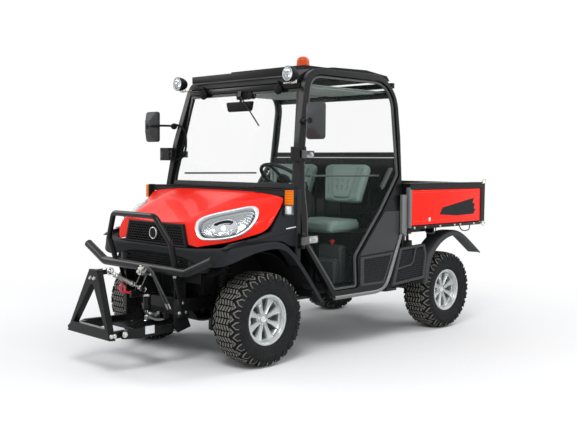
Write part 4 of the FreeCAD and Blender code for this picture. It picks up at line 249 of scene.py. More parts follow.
def clear_finish(label, colour, alpha, rough=0.02):
    """A clear pane or lens: it shows what is behind it, and reflects more at a low angle."""
    material, tree, shader = new_material(label)
    surface = placed(tree, "surface grain", Scale=60.0)
    shade = mixed(
        tree, surface.outputs["Drift"], opaque(scaled(colour, 0.94)), opaque(scaled(colour, 1.04)))
    gloss = node(tree, "LayerWeight", (), Blend=0.5).outputs["Facing"]
    tree.links.new(shade, shader.inputs["Base Color"])
    tree.links.new(ranged(tree, gloss, 0.45, 1.0, alpha, 0.5), shader.inputs["Alpha"])
    tree.links.new(ranged(
        tree, surface.outputs["Drift"], 0.3, 0.7, rough, rough * 2), shader.inputs["Roughness"])
    shader.inputs["Coat Weight"].default_value = 0.6
    return material


def ribbed(scale, axis, sink=0.5):
    """Straight ribs across one axis, with painted shade darkening their valleys."""
    def pattern(tree, shade):
        place = tree.nodes.new("ShaderNodeTexCoord").outputs["Object"]
        split = node(tree, "SeparateXYZ", (), Vector=place)
        wave = maths(tree, "SINE", maths(tree, "MULTIPLY", split.outputs[axis], scale * math.tau))
        mask = ranged(tree, wave, -0.6, 0.3)
        # The valleys are mixed towards near black by the sink share: painted shade.
        return mixed(tree, mask, mixed(tree, sink, shade, (0.004, 0.004, 0.004, 1)), shade), mask
    return pattern


MATERIALS = {}


class VEHICLE_OT_finishes(bpy.types.Operator):
    """Builds the shader groups and the materials, and gives every CAD node its finish"""

    bl_idname = "vehicle.finishes"
    bl_label = "Finishes"

    def execute(self, context):
        colours = context.scene.vehicle_colours
        GROUPS["rounded edges"] = edge_group()
        GROUPS["surface grain"] = grain_group()
        GROUPS["road dust"] = dust_group()
        soot = (0.014, 0.0145, 0.0155)
        # The edge values set how far edges are lightened: partly wear, partly a painted highlight.
        MATERIALS.update({
            "tyre_rubber": finish(
                "tyre rubber", soot, 0.62, grain=700, depth=0.25, drift=0.15, edge=0.0, dust=0.04,
                shine=0.08),
            "tread_top": finish(
                "scuffed tread", (0.175, 0.17, 0.155), 0.8, grain=900, depth=0.4, drift=0.25, edge=0.2,
                dust=0.25, radius=0.001, shine=0.1),
            "rim_silver": finish(
                "rim silver", colours.rim, 0.32, metal=0.45, coat=0.1, grain=900, depth=0.03, edge=0.7,
                dust=0.08, shine=0.4),
            "body_red": finish(
                "red paint", colours.paint, 0.34, coat=0.22, grain=1200, depth=0.01, drift=0.03, edge=0.02,
                dust=0.0, radius=0.004, shine=0.08),
            "body_charcoal": finish(
                "charcoal moulding", colours.charcoal, 0.5, grain=1100, depth=0.22, drift=0.08, edge=0.05,
                dust=0.01, radius=0.005, shine=0.07),
            "frame_black": finish(
                "black frame paint", colours.black, 0.26, grain=800, depth=0.05, drift=0.1, edge=0.04,
                dust=0.0, radius=0.006, shine=0.2),
            "steel_black": finish(
                "black steel paint", colours.black, 0.28, drift=0.12, edge=0.06, dust=0.01, shine=0.2),
            "steel_plated": finish(
                "zinc plate", (0.6, 0.6, 0.57), 0.34, metal=1.0, depth=0.12, drift=0.1, edge=0.2, dust=0.04,
                radius=0.001),
            "rod_chrome": finish(
                "hard chrome", (0.78, 0.79, 0.8), 0.1, metal=1.0, grain=900, depth=0.01, drift=0.02,
                dust=0.0, radius=0.001),
            "cab_pane": clear_finish("tinted pane", colours.glass, 0.02),
            "lamp_clear": clear_finish("clear lens", (0.7, 0.75, 0.78), 0.08),
            "lamp_amber": finish(
                "amber lens", (0.92, 0.165, 0.0), 0.22, coat=0.05, grain=120, drift=0.25, edge=0.04,
                dust=0.0, glow=0.12, shine=0.12, extra=ribbed(60, "Z", 0.35)),
            "seat_vinyl": finish(
                "seat vinyl", colours.seat, 0.55, grain=900, depth=0.35, drift=0.08, edge=0.0, dust=0.03),
            "roof_black": finish(
                "roof moulding", soot, 0.42, grain=900, depth=0.25, drift=0.08, edge=0.05, dust=0.01,
                radius=0.006, shine=0.08),
            "machine_grey": finish(
                "bare casting", (0.085, 0.086, 0.085), 0.5, metal=0.5, grain=350, depth=0.35, drift=0.2,
                edge=0.15, dust=0.12, shine=0.2),
            "steel_grey": finish(
                "grey guard paint", (0.15, 0.155, 0.155), 0.4, metal=0.2, coat=0.2, grain=700, depth=0.08,
                drift=0.08, edge=0.2),
            "lamp_red": finish(
                "red lens", (0.55, 0.01, 0.008), 0.16, coat=1.0, grain=120, dust=0.0, glow=0.05,
                extra=ribbed(160, "Z", 0.2)),
            "trim_black": finish(
                "black moulding", (0.01, 0.0102, 0.011), 0.5, grain=1200, depth=0.2, drift=0.1, edge=0.03,
                dust=0.01, shine=0.06),
            "reflector": finish(
                "bright reflector", (0.62, 0.64, 0.66), 0.08, metal=1.0, grain=300, depth=0.02, drift=0.05,
                edge=0.0, dust=0.0, radius=0.001),
            "hose_rubber": finish(
                "hose rubber", (0.045, 0.047, 0.047), 0.4, grain=1500, depth=0.3, drift=0.1, edge=0.0,
                shine=0.3),
            "lining": finish(
                "cab lining", (0.32, 0.37, 0.34), 0.85, grain=1200, depth=0.6, drift=0.1, edge=0.0,
                dust=0.02),
            "mat": finish(
                "floor mat", (0.12, 0.17, 0.145), 0.7, grain=900, depth=0.3, drift=0.1, edge=0.0, dust=0.15,
                extra=ribbed(45, "X", 0.5), shine=0.2),
            "hook_red": finish("red hook paint", (0.75, 0.012, 0.03), 0.3, coat=0.8, drift=0.05, edge=0.2),
            "marker_yellow": finish("yellow marker", (0.8, 0.55, 0.02), 0.45, drift=0.08),
            "lamp_bezel": finish(
                "silver bezel", (0.66, 0.69, 0.72), 0.25, metal=0.3, coat=0.6, grain=900, depth=0.02,
                drift=0.03, edge=0.4, dust=0.0, radius=0.001),
            "bulb_glow": finish(
                "frosted bulb", (0.9, 0.92, 0.9), 0.3, drift=0.02, edge=0.0, dust=0.0, glow=0.35),
            # Near black without shine: the dial face, and sheets that paint the shade in openings.
            "dial_black_and_painted_shade": finish(
                "dial black and painted shade", (0.002, 0.002, 0.002), 0.9, drift=0.3, edge=0.0, dust=0.0, shine=0.0),
            # A lighter copy of the charcoal moulding, for the side parts, the mirrors and the shaded cab
            # console: painted light.
            "painted_light_charcoal": finish(
                "painted light charcoal moulding", (0.042, 0.0445, 0.046), 0.45, grain=1100, depth=0.22, drift=0.08,
                edge=0.06, dust=0.01, radius=0.004, shine=0.15),
            "seal_grey": finish(
                "door seal", (0.07, 0.074, 0.074), 0.4, drift=0.08, edge=0.35, dust=0.0, radius=0.003,
                shine=0.3),
            "satin_silver": finish(
                "satin silver", (0.34, 0.35, 0.35), 0.38, metal=0.7, drift=0.05, edge=0.3, dust=0.02),
            "lamp_shell": finish(
                "lamp inside", (0.26, 0.27, 0.28), 0.22, metal=0.8, drift=0.15, edge=0.5, dust=0.0,
                radius=0.003),
            "beacon_amber": finish(
                "beacon dome", (0.8, 0.085, 0.0), 0.18, coat=0.05, grain=120, drift=0.2, dust=0.0,
                glow=0.08, extra=ribbed(70, "Z", 0.35), shine=0.3),
            "marker_white": finish("white marker", (0.78, 0.79, 0.77), 0.4, drift=0.04, edge=0.05)})
        own = {
            "door_left_frame": "seal_grey",
            "door_right_frame": "seal_grey",
            "floor_pan": "trim_black",
            "front_suspension": "trim_black",
            "rear_wall": "frame_black",
            "seat_box": "trim_black",
            "dashboard": "trim_black",
            "engine_block": "machine_grey"}
        for row in frame["record"]["subparts"]:
            label = own.get(row["node"], row["material_slot"])
            shown = frame["nodes"][row["node"]]
            for place in shown.material_slots:
                place.material = MATERIALS[label]
            if not shown.material_slots:
                shown.data.materials.append(MATERIALS[label])
        return {"FINISHED"}


# Modelling tools


def clear():
    bpy.ops.object.select_all(action="DESELECT")


def named(label):
    """Names the primitive just added, and puts its place in its mesh."""
    piece = bpy.context.object
    piece.name = label
    piece.data.name = label
    bpy.ops.object.transform_apply(location=True, rotation=True, scale=True)
    return piece


def selected(*pieces):
    clear()
    for piece in pieces:
        piece.select_set(True)
    bpy.context.view_layer.objects.active = pieces[0]


def side_line(across, *spots):
    """Places on an upright plane along the vehicle, from (along, up)."""
    return [at(across, along, up) for along, up in spots]


def front_line(along, *spots):
    """Places on an upright plane across the vehicle, from (across, up)."""
    return [at(across, along, up) for across, up in spots]


def block(label, low, high):
    """A cube between two corners."""
    clear()
    low, high = Vector(low), Vector(high)
    bpy.ops.mesh.primitive_cube_add(size=1, location=(low + high) / 2, scale=high - low)
    return named(label)


def slab(label, low, high, width, segments=2):
    """A block between two corners, with rounded edges."""
    piece = block(label, low, high)
    return bevelled(piece, width, segments)


def rod(label, start, end, radius, sides=24, end_radius=None):
    """A cylinder or a cone between two points."""
    clear()
    start, end = Vector(start), Vector(end)
    turn = (end - start).to_track_quat("Z", "Y").to_euler()
    bpy.ops.mesh.primitive_cone_add(
        vertices=sides, radius1=radius, radius2=radius if end_radius is None else end_radius,
        depth=(end - start).length, location=(start + end) / 2, rotation=turn)
    return named(label)


def plate(label, outline, along):
    """A ring of corners moved to an outline, filled, and extruded along a vector."""
    clear()
    bpy.ops.mesh.primitive_circle_add(vertices=len(outline), fill_type="NGON")
    piece = named(label)
    for corner, place in zip(piece.data.vertices, outline):
        corner.co = place
    bpy.ops.object.mode_set(mode="EDIT")
    bpy.ops.mesh.select_all(action="SELECT")
    bpy.ops.mesh.extrude_region_move(TRANSFORM_OT_translate={"value": tuple(along)})
    bpy.ops.mesh.select_all(action="SELECT")
    bpy.ops.mesh.normals_make_consistent(inside=False)
    bpy.ops.object.mode_set(mode="OBJECT")
    return piece


def turned(label, profile, centre, axis, steps=48):
    """A profile of (distance along the axis, radius) spun round the axis."""
    axis, centre = Vector(axis).normalized(), Vector(centre)
    side = axis.orthogonal().normalized()
    clear()
    bpy.ops.mesh.primitive_circle_add(vertices=len(profile), fill_type="NOTHING")
    piece = named(label)
    for corner, (along, radius) in zip(piece.data.vertices, profile):
        corner.co = centre + axis * along + side * radius
    bpy.ops.object.mode_set(mode="EDIT")
    bpy.ops.mesh.select_all(action="SELECT")
    bpy.ops.mesh.spin(steps=steps, angle=math.tau, center=centre, axis=axis)
    bpy.ops.mesh.select_all(action="SELECT")
    bpy.ops.mesh.remove_doubles(threshold=0.00002)
    bpy.ops.mesh.select_all(action="SELECT")
    bpy.ops.mesh.normals_make_consistent(inside=False)
    bpy.ops.object.mode_set(mode="OBJECT")
    return piece


def applied(piece, kind, **settings):
    """Adds a modifier, sets it and applies it."""
    selected(piece)
    modifier = piece.modifiers.new(kind.title(), kind)
    for key, value in settings.items():
        setattr(modifier, key, value)
    bpy.ops.object.modifier_apply(modifier=modifier.name)
    return piece


def bevelled(piece, width, segments=2):
    return applied(piece, "BEVEL", width=width, segments=segments, limit_method="ANGLE", angle_limit=0.5)


def joined(label, *pieces):
    selected(*pieces)
    if len(pieces) > 1:
        bpy.ops.object.join()
    pieces[0].name = label
    return pieces[0]


def copied(piece, label, move):
    """A copy with its own mesh, each corner moved by a matrix or a function."""
    made = piece.copy()
    made.data = piece.data.copy()
    made.name = label
    bpy.context.scene.collection.objects.link(made)
    if isinstance(move, Matrix):
        made.data.transform(move)
        if move.determinant() < 0:
            made.data.flip_normals()
    else:
        for corner in made.data.vertices:
            corner.co = move(corner.co)
    return made


def round_axis(angle, axis, centre):
    centre = Vector(centre)
    return Matrix.Translation(centre) @ Matrix.Rotation(angle, 4, Vector(
        axis)) @ Matrix.Translation(-centre)


def both_sides(piece):
    """The piece and its mirror image over the vehicle's middle, as one piece."""
    other = copied(piece, piece.name + "_other", Matrix.Diagonal((-1, 1, 1, 1)))
    return joined(piece.name, piece, other)


def wire(label, points, radius, sides, steps, straight=False):
    """A curve with a round section, through a line of points or bent smoothly between them."""
    curve = bpy.data.curves.new(label, "CURVE")
    curve.dimensions = "3D"
    spline = curve.splines.new("POLY" if straight else "NURBS")
    spline.points.add(len(points) - 1)
    for point, place in zip(spline.points, points):
        point.co = (*place, 1)
    if not straight:
        spline.order_u = 3
        spline.use_endpoint_u = True
    curve.bevel_depth = radius
    curve.bevel_resolution = sides
    curve.resolution_u = steps
    curve.use_fill_caps = True
    piece = bpy.data.objects.new(label, curve)
    bpy.context.scene.collection.objects.link(piece)
    return piece


def bar(label, points, radius, sides=4, straight=False):
    """A round bar along a line of points, as a mesh."""
    selected(wire(label, points, radius, sides, 8, straight))
    bpy.ops.object.convert(target="MESH")
    return bpy.context.object


def settled(piece, body, *materials, angle=35.0, slot=None):
    """Gives a finished piece its materials and smooth shading, and lets it ride on its body."""
    if materials:
        kept = [polygon.material_index for polygon in piece.data.polygons]
        piece.data.materials.clear()
        for label in materials:
            piece.data.materials.append(MATERIALS[label])
        if len(materials) > 1:
            for polygon, index in zip(piece.data.polygons, kept):
                polygon.material_index = min(index, len(materials) - 1)
    selected(piece)
    bpy.ops.object.shade_smooth_by_angle(angle=math.radians(angle))
    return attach(piece, body)


# Stage


CAMERA_AROUND, CAMERA_RISE, CAMERA_ROLL = 45.09, 3.65, 0.56
CAMERA_PLACE = (4.6949, -4.825, 1.3529)
SENSOR_WIDTH = 36.0
FOCAL_PIXELS, PHOTO_PIXELS = 845.5, 577
STUDIO_LAMPS = (
    ((3.5, -4.5, 5.5), 2.4, 250), ((-5.0, -3.0, 4.0), 3.0, 120), ((2.5, 5.0, 5.0), 3.0, 120),
    ((6.0, 0.5, 2.2), 1.6, 60))


def looked_at(tree):
    """1 for what is seen straight, mirrored or through glass, and 0 for all other light."""
    rays = tree.nodes.new("ShaderNodeLightPath")
    share = maths(tree, "MAXIMUM", rays.outputs["Is Camera Ray"], rays.outputs["Is Glossy Ray"])
    return maths(tree, "MAXIMUM", share, rays.outputs["Is Transmission Ray"])


class VEHICLE_OT_stage(bpy.types.Operator):
    """Camera at the photograph's angle, soft studio lamps, pale floor and white background"""

    bl_idname = "vehicle.stage"
    bl_label = "Stage"

    def execute(self, context):
        self.camera(context)
        self.lamps()
        self.background(context)
        self.floor()
        context.scene.view_settings.view_transform = "Standard"
        return {"FINISHED"}

    def camera(self, context):
        bpy.ops.object.camera_add()
        camera = context.object
        around, up, roll = math.radians(CAMERA_AROUND), math.radians(CAMERA_RISE), math.radians(CAMERA_ROLL)
        back = Vector((math.sin(around) * math.cos(up), -math.cos(around) * math.cos(up), math.sin(up)))
        right = Vector((0, 0, 1)).cross(back).normalized()
        top = back.cross(right)
        tilted = right * math.cos(roll) + top * math.sin(roll)
        upright = top * math.cos(roll) - right * math.sin(roll)
        turn = Matrix((tilted, upright, back)).transposed().to_4x4()
        camera.matrix_world = Matrix.Translation(at(*CAMERA_PLACE)) @ turn
        camera.data.sensor_width = SENSOR_WIDTH
        camera.data.lens = FOCAL_PIXELS / PHOTO_PIXELS * SENSOR_WIDTH
        context.scene.camera = camera

    def lamps(self):
        for place, size, power in STUDIO_LAMPS:
            bpy.ops.object.light_add(type="AREA", location=place)
            lamp = bpy.context.object
            lamp.data.energy = power
            lamp.data.size = size
            lamp.rotation_euler = (Vector(place) - Vector((0, 0, 0.9))).to_track_quat("Z", "Y").to_euler()

    def background(self, context):
        world = bpy.data.worlds.new("studio")
        context.scene.world = world
        world.use_nodes = True
        tree = world.node_tree
        tree.nodes.clear()
        soft = node(tree, "Background", (), Color=(0.94, 0.97, 1.0, 1), Strength=0.62)
        white = node(tree, "Background", (), Color=(1, 1, 1, 1), Strength=1.0)
        both = node(tree, "MixShader", (), i0=looked_at(tree), i1=soft.outputs[0], i2=white.outputs[0])
        node(tree, "OutputWorld", (), Surface=both.outputs[0])

    def floor(self):
        clear()
        bpy.ops.mesh.primitive_plane_add(size=60, location=(0, 0, 0))
        floor = named("studio_floor")
        material = bpy.data.materials.new("studio floor")
        material.use_nodes = True
        tree = material.node_tree
        tree.nodes.clear()
        place = tree.nodes.new("ShaderNodeTexCoord").outputs["Object"]
        far = node(tree, "VectorMath", {"operation": "LENGTH"}, i0=place).outputs["Value"]
        share = maths(tree, "MULTIPLY", ranged(tree, far, 1.6, 4.2), looked_at(tree))
        grain = node(tree, "TexNoise", (), Vector=place, Scale=30.0)
        shade = mixed(tree, grain.outputs[0], (0.86, 0.86, 0.86, 1), (0.89, 0.89, 0.89, 1))
        matt = node(tree, "BsdfDiffuse", (), Color=shade)
        white = node(tree, "Emission", (), Color=(1, 1, 1, 1), Strength=1.0)
        both = node(tree, "MixShader", (), i0=share, i1=matt.outputs[0], i2=white.outputs[0])
        node(tree, "OutputMaterial", (), Surface=both.outputs[0])
        floor.data.materials.append(material)


# Tyres

CROWN = (
    (0, 0.3005), (0.05, 0.299), (0.092, 0.2945), (0.11, 0.2855), (0.1195, 0.27), (0.1235, 0.25),
    (0.1235, 0.225), (0.118, 0.2), (0.108, 0.18), (0.095, 0.1715))
WHEEL_ACROSS, WHEEL_ALONG, WHEEL_HEIGHT = 0.593, 1.0175, 0.314
WHEELS = {
    f"{end}_{word}": (side * WHEEL_ACROSS, way * WHEEL_ALONG, side)
    for end, way in (("front", -1), ("rear", 1)) for side, word in SIDES}


def on_wheels(whole, label, node_label, turn, *finishes, **settings):
    """Copies a wheel piece to the four wheels in place of their solids, and removes the first."""
    for wheel, (x, y, side) in WHEELS.items():
        place = Matrix.Translation(at(x, y, WHEEL_HEIGHT)) @ Matrix.Rotation(turn, 4, "X")
        if side < 0:
            place = place @ Matrix.Rotation(math.pi, 4, "Z")
        made = copied(whole, label + wheel, place)
        settled(made, "wheel_" + wheel, *finishes, **settings)
        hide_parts(node_label + wheel)
    bpy.data.objects.remove(whole)


def faced(piece, direction):
    """Selects the faces that look along a direction, and leaves the piece in edit mode."""
    selected(piece)
    bpy.ops.object.mode_set(mode="EDIT")
    bpy.ops.mesh.select_all(action="DESELECT")
    bpy.ops.object.mode_set(mode="OBJECT")
    for polygon in piece.data.polygons:
        polygon.select = polygon.normal.dot(Vector(direction)) > 0.9
    bpy.ops.object.mode_set(mode="EDIT")


def on_crown(across):
    """The tyre's surface at a distance across it from its middle: place and outward direction."""
    side = 1 if across >= 0 else -1
    left = abs(across)
    for (x0, r0), (x1, r1) in zip(CROWN, CROWN[1:]):
        step = math.hypot(x1 - x0, r1 - r0)
        if left <= step:
            share = left / step
            nx, nr = -(r1 - r0) / step, (x1 - x0) / step
            return side * (x0 + (x1 - x0) * share), r0 + (r1 - r0) * share, side * nx, nr
        left -= step
    return side * CROWN[-1][0], CROWN[-1][1], side, 0


def tread_pitch(depth, length):
    """One pitch of the tread, flat: x across the tyre, y round it, z outwards."""
    parts = []
    half = length / 2
    foot = -0.002
    bar_half, bar_lean, gap, sink = 0.0085, 0.0075, 0.0035, 0.005
    for row, lean in ((0, 1), (1, -1)):
        for column in range(-2, 3):
            middle = column * 0.0265
            low, high = row * half + gap, (row + 1) * half - gap
            shift = bar_lean * lean
            outline = [
                (middle - bar_half - shift, low, foot), (middle + bar_half - shift, low, foot),
                (middle + bar_half + shift, high, foot), (middle - bar_half + shift, high, foot)]
            parts.append(plate("tread_bar", outline, (0, 0, depth - foot)))
    for side in (-1, 1):
        wedge = [(0.069, 0.012), (0.069, length - 0.012), (0.1, half)]
        shoulder = [
            (0.084, 0), (0.109, 0.027), (0.129, 0.03), (0.154, 0.013), (0.154, -0.013), (0.129, -0.03),
            (0.109, -0.027)]
        for label, outline in (("tread_wedge", wedge), ("tread_shoulder", shoulder)):
            parts.append(plate(label, [(side * x, y, foot) for x, y in outline], (0, 0, depth - foot)))
            faced(parts[-1], (0, 0, 1))
            bpy.ops.mesh.inset(thickness=0.008)
            bpy.ops.mesh.extrude_region_move(TRANSFORM_OT_translate={"value": (0, 0, -sink)})
            bpy.ops.object.mode_set(mode="OBJECT")
    pitch = bevelled(joined("tread_pitch", *parts), 0.0011, 1)
    for polygon in pitch.data.polygons:
        flat = polygon.normal.z > 0.9 and polygon.center.z > depth - 0.001
        polygon.material_index = 1 if flat and abs(polygon.center.x) < 0.132 else 0
    return pitch


class VEHICLE_OT_tyres(bpy.types.Operator):
    """Four tyres: a smooth carcass with ribs on its walls, and blocks of tread wrapped round it"""

    bl_idname = "vehicle.tyres"
    bl_label = "Tyres"

    def execute(self, context):
        sizes = context.scene.vehicle_sizes
        profile = self.rounded([(x, r) for x, r in reversed(CROWN)] + [(-x, r) for x, r in CROWN[1:]])
        profile += [(-0.085, 0.175), (-0.07, 0.2), (0.07, 0.2), (0.085, 0.175)]
        carcass = turned("tyre_carcass", profile, (0, 0, 0), (1, 0, 0), steps=96)
        for ring in (0.212, 0.242):
            x = self.wall(ring)
            low, high = x - 0.002, x + 0.0012
            for side in (-1, 1):
                section = [
                    (side * low, ring - 0.003), (side * high, ring - 0.0015), (side * high, ring + 0.0015),
                    (side * low, ring + 0.003)]
                rib = turned("tyre_rib", section, (0, 0, 0), (1, 0, 0), steps=96)
                carcass = joined("tyre_carcass", carcass, rib)
        for polygon in carcass.data.polygons:
            polygon.material_index = 0
        length = math.tau * WHEEL_HEIGHT / sizes.tread_pitches
        pitch = tread_pitch(sizes.tread_depth, length)
        parts = [carcass]
        for turn in range(sizes.tread_pitches):
            parts.append(copied(pitch, "tread_part", lambda flat, turn=turn: self.wrapped(
                flat, turn * length)))
        bpy.data.objects.remove(pitch)
        for part in parts:
            part.data.materials.append(MATERIALS["tyre_rubber"])
            part.data.materials.append(MATERIALS["tread_top"])
        on_wheels(
            joined("tyre", *parts), "tread_tyre_", "tyre_", 0.0, "tyre_rubber", "tread_top",
            slot="tyre_rubber")
        return {"FINISHED"}

    def rounded(self, profile):
        """The profile with its corners cut once, so that the walls read as smooth."""
        made = [profile[0]]
        for (x0, r0), (x1, r1) in zip(profile, profile[1:]):
            made += [
                (x0 * 0.75 + x1 * 0.25, r0 * 0.75 + r1 * 0.25),
                (x0 * 0.25 + x1 * 0.75, r0 * 0.25 + r1 * 0.75)]
        return made + [profile[-1]]

    def wall(self, radius):
        for (x0, r0), (x1, r1) in zip(CROWN, CROWN[1:]):
            if r1 <= radius <= r0:
                return x0 + (x1 - x0) * (r0 - radius) / (r0 - r1)
        return CROWN[-1][0]

    def wrapped(self, flat, start):
        x, r, nx, nr = on_crown(flat.x)
        rise = flat.z * max(0.25, min(1.0, 1.0 - (abs(flat.x) - 0.105) * 15))
        turn = (flat.y + start) / WHEEL_HEIGHT
        out = r + nr * rise
        return Vector((x + nx * rise, math.sin(turn) * out, math.cos(turn) * out))


# Hood and lamps

HOOD_FRONT, HOOD_LENGTH, HOOD_HALF, HOOD_FOOT, HOOD_RISE = -1.415, 0.5, 0.735, 0.8, 0.356
HOOD_SECTIONS = (
    (0.0, ((0, 0.415), (0.2, 0.42), (0.42, 0.455), (0.5, 0.44), (0.57, 0.33), (0.61, 0.18), (0.6, 0.01))),
    (0.3, ((0, 0.6), (0.24, 0.61), (0.46, 0.64), (0.56, 0.6), (0.72, 0.47), (0.82, 0.29), (0.82, 0.11))),
    (0.7, (
        (0, 0.84), (0.28, 0.845), (0.53, 0.86), (0.66, 0.815), (0.87, 0.69), (0.995, 0.5), (0.995, 0.3))),
    (1.0, (
        (0, 1.0), (0.3, 0.998), (0.57, 0.99), (0.72, 0.97), (0.9, 0.935), (0.995, 0.895), (0.995, 0.85))))
LAMP_OUTLINE = (
    (0.37, -1.37, 0.965), (0.38, -1.3115, 0.995), (0.4471, -1.2164, 1.0232), (0.5248, -1.1327, 1.0458),
    (0.5786, -1.075, 1.066), (0.6255, -1.0583, 1.0612), (0.678, -1.0865, 1.0345), (0.688, -1.109, 0.9873),
    (0.676, -1.1664, 0.9191), (0.638, -1.2242, 0.8769), (0.5902, -1.2925, 0.856), (0.4761, -1.3871, 0.844),
    (0.437, -1.412, 0.86), (0.4034, -1.412, 0.9155))
LAMP_EYE = (
    (0.5064, -1.362, 0.9359), (0.511, -1.3493, 0.9703), (0.5546, -1.3075, 0.9884), (0.6, -1.27, 0.998),
    (0.6296, -1.2369, 0.9806), (0.6264, -1.2447, 0.9203), (0.6101, -1.2761, 0.8913),
    (0.5431, -1.3315, 0.883), (0.513, -1.3565, 0.9))


def hood_place(share, column):
    """A point of the hood's control net: share of its length, and column across it."""
    for (t0, first), (t1, second) in zip(HOOD_SECTIONS, HOOD_SECTIONS[1:]):
        if share <= t1:
            k = (share - t0) / (t1 - t0)
            u = first[column][0] * (1 - k) + second[column][0] * k
            v = first[column][1] * (1 - k) + second[column][1] * k
            return u, v
    return HOOD_SECTIONS[-1][1][column]


def swollen(loop, centre, share, out):
    """A loop of points drawn towards its middle by a share, and moved by a vector."""
    return [centre + (place - centre) * share + out for place in loop]


def rings(loop, centre, out, *steps):
    """Loops drawn from one loop, each by its own share and rise along a direction."""
    return [swollen(loop, centre, share, out * rise) for share, rise in steps]


def lamp_axis():
    """The left headlamp's outline, its middle and the way it looks."""
    loop = [at(*place) for place in LAMP_OUTLINE]
    centre = sum(loop, Vector()) / len(loop)
    out = Vector()
    for first, second in zip(loop, loop[1:] + loop[:1]):
        out += (first - centre).cross(second - centre)
    out.normalize()
    return loop, centre, out if out.x > 0 else -out


def banded(label, loops, closed=True, capped=False):
    """A surface through loops of points, each with as many points as the first."""
    clear()
    count = len(loops[0])
    wide = count + (1 if closed else 0)
    bpy.ops.mesh.primitive_grid_add(x_subdivisions=wide - 1, y_subdivisions=len(loops) - 1)
    piece = named(label)
    for row, loop in enumerate(loops):
        for column in range(wide):
            piece.data.vertices[row * wide + column].co = loop[column % count]
    bpy.ops.object.mode_set(mode="EDIT")
    bpy.ops.mesh.select_all(action="SELECT")
    bpy.ops.mesh.remove_doubles(threshold=0.00005)
    if capped:
        bpy.ops.object.mode_set(mode="OBJECT")
        for corner in piece.data.vertices:
            corner.select = any((corner.co - place).length < 0.0002 for place in loops[-1])
        bpy.ops.object.mode_set(mode="EDIT")
        bpy.ops.mesh.edge_face_add()
    bpy.ops.mesh.select_all(action="SELECT")
    bpy.ops.mesh.normals_make_consistent(inside=False)
    bpy.ops.object.mode_set(mode="OBJECT")
    return piece


class VEHICLE_OT_hood(bpy.types.Operator):
    """The hood's smooth skin with its creases, cut out for the two headlamps"""

    bl_idname = "vehicle.hood"
    bl_label = "Hood"

    def execute(self, context):
        shares = (0.0, 0.03, 0.15, 0.3, 0.42, 0.55, 0.7, 0.85, 0.97, 1.0)
        rows = []
        for share in shares:
            half = [hood_place(share, column) for column in range(7)]
            line = [(-u, v) for u, v in reversed(half[1:])] + half
            rows.append([at(
                HOOD_HALF * u, HOOD_FRONT + HOOD_LENGTH * share,
                HOOD_FOOT + HOOD_RISE * v) for u, v in line])
        middle = at(0, HOOD_FRONT, HOOD_FOOT + 0.05)
        front = [[middle + (place - middle) * share for place in rows[0]] for share in (0.35, 0.9, 0.985)]
        skin = banded("hood_skin", front + rows, closed=False)
        creases = skin.data.attributes.new("crease_edge", "FLOAT", "EDGE")
        wide = len(rows[0])
        for index, edge in enumerate(skin.data.edges):
            columns = {corner % wide for corner in edge.vertices}
            creases.data[index].value = 0.75 if columns in ({4}, {8}) else 0.0
        applied(skin, "SUBSURF", levels=3, render_levels=3)
        applied(skin, "SOLIDIFY", thickness=0.006, offset=-1)
        loop, centre, out = lamp_axis()
        for side in (1, -1):
            turn = Matrix.Diagonal((side, 1, 1, 1))
            cutter = plate("lamp_cutter", swollen(loop, centre, 0.97, -out * 0.07), out * 0.16)
            cutter.data.transform(turn)
            if side < 0:
                cutter.data.flip_normals()
            applied(skin, "BOOLEAN", operation="DIFFERENCE", object=cutter, solver="EXACT")
            bpy.data.objects.remove(cutter)
        settled(skin, "hood", "body_red", angle=30, slot="body_red")
        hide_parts("hood")
        for side in (-1, 1):
            seam = bar("hood_strip", front_line(
                -1.4175, (side * 0.352, 0.806), (side * 0.33, 0.88),
                (side * 0.311, 0.944)), 0.0045, straight=True)
            settled(seam, "hood", "trim_black")
            seam.name = "hood_strip_left" if side > 0 else "hood_strip_right"
        return {"FINISHED"}


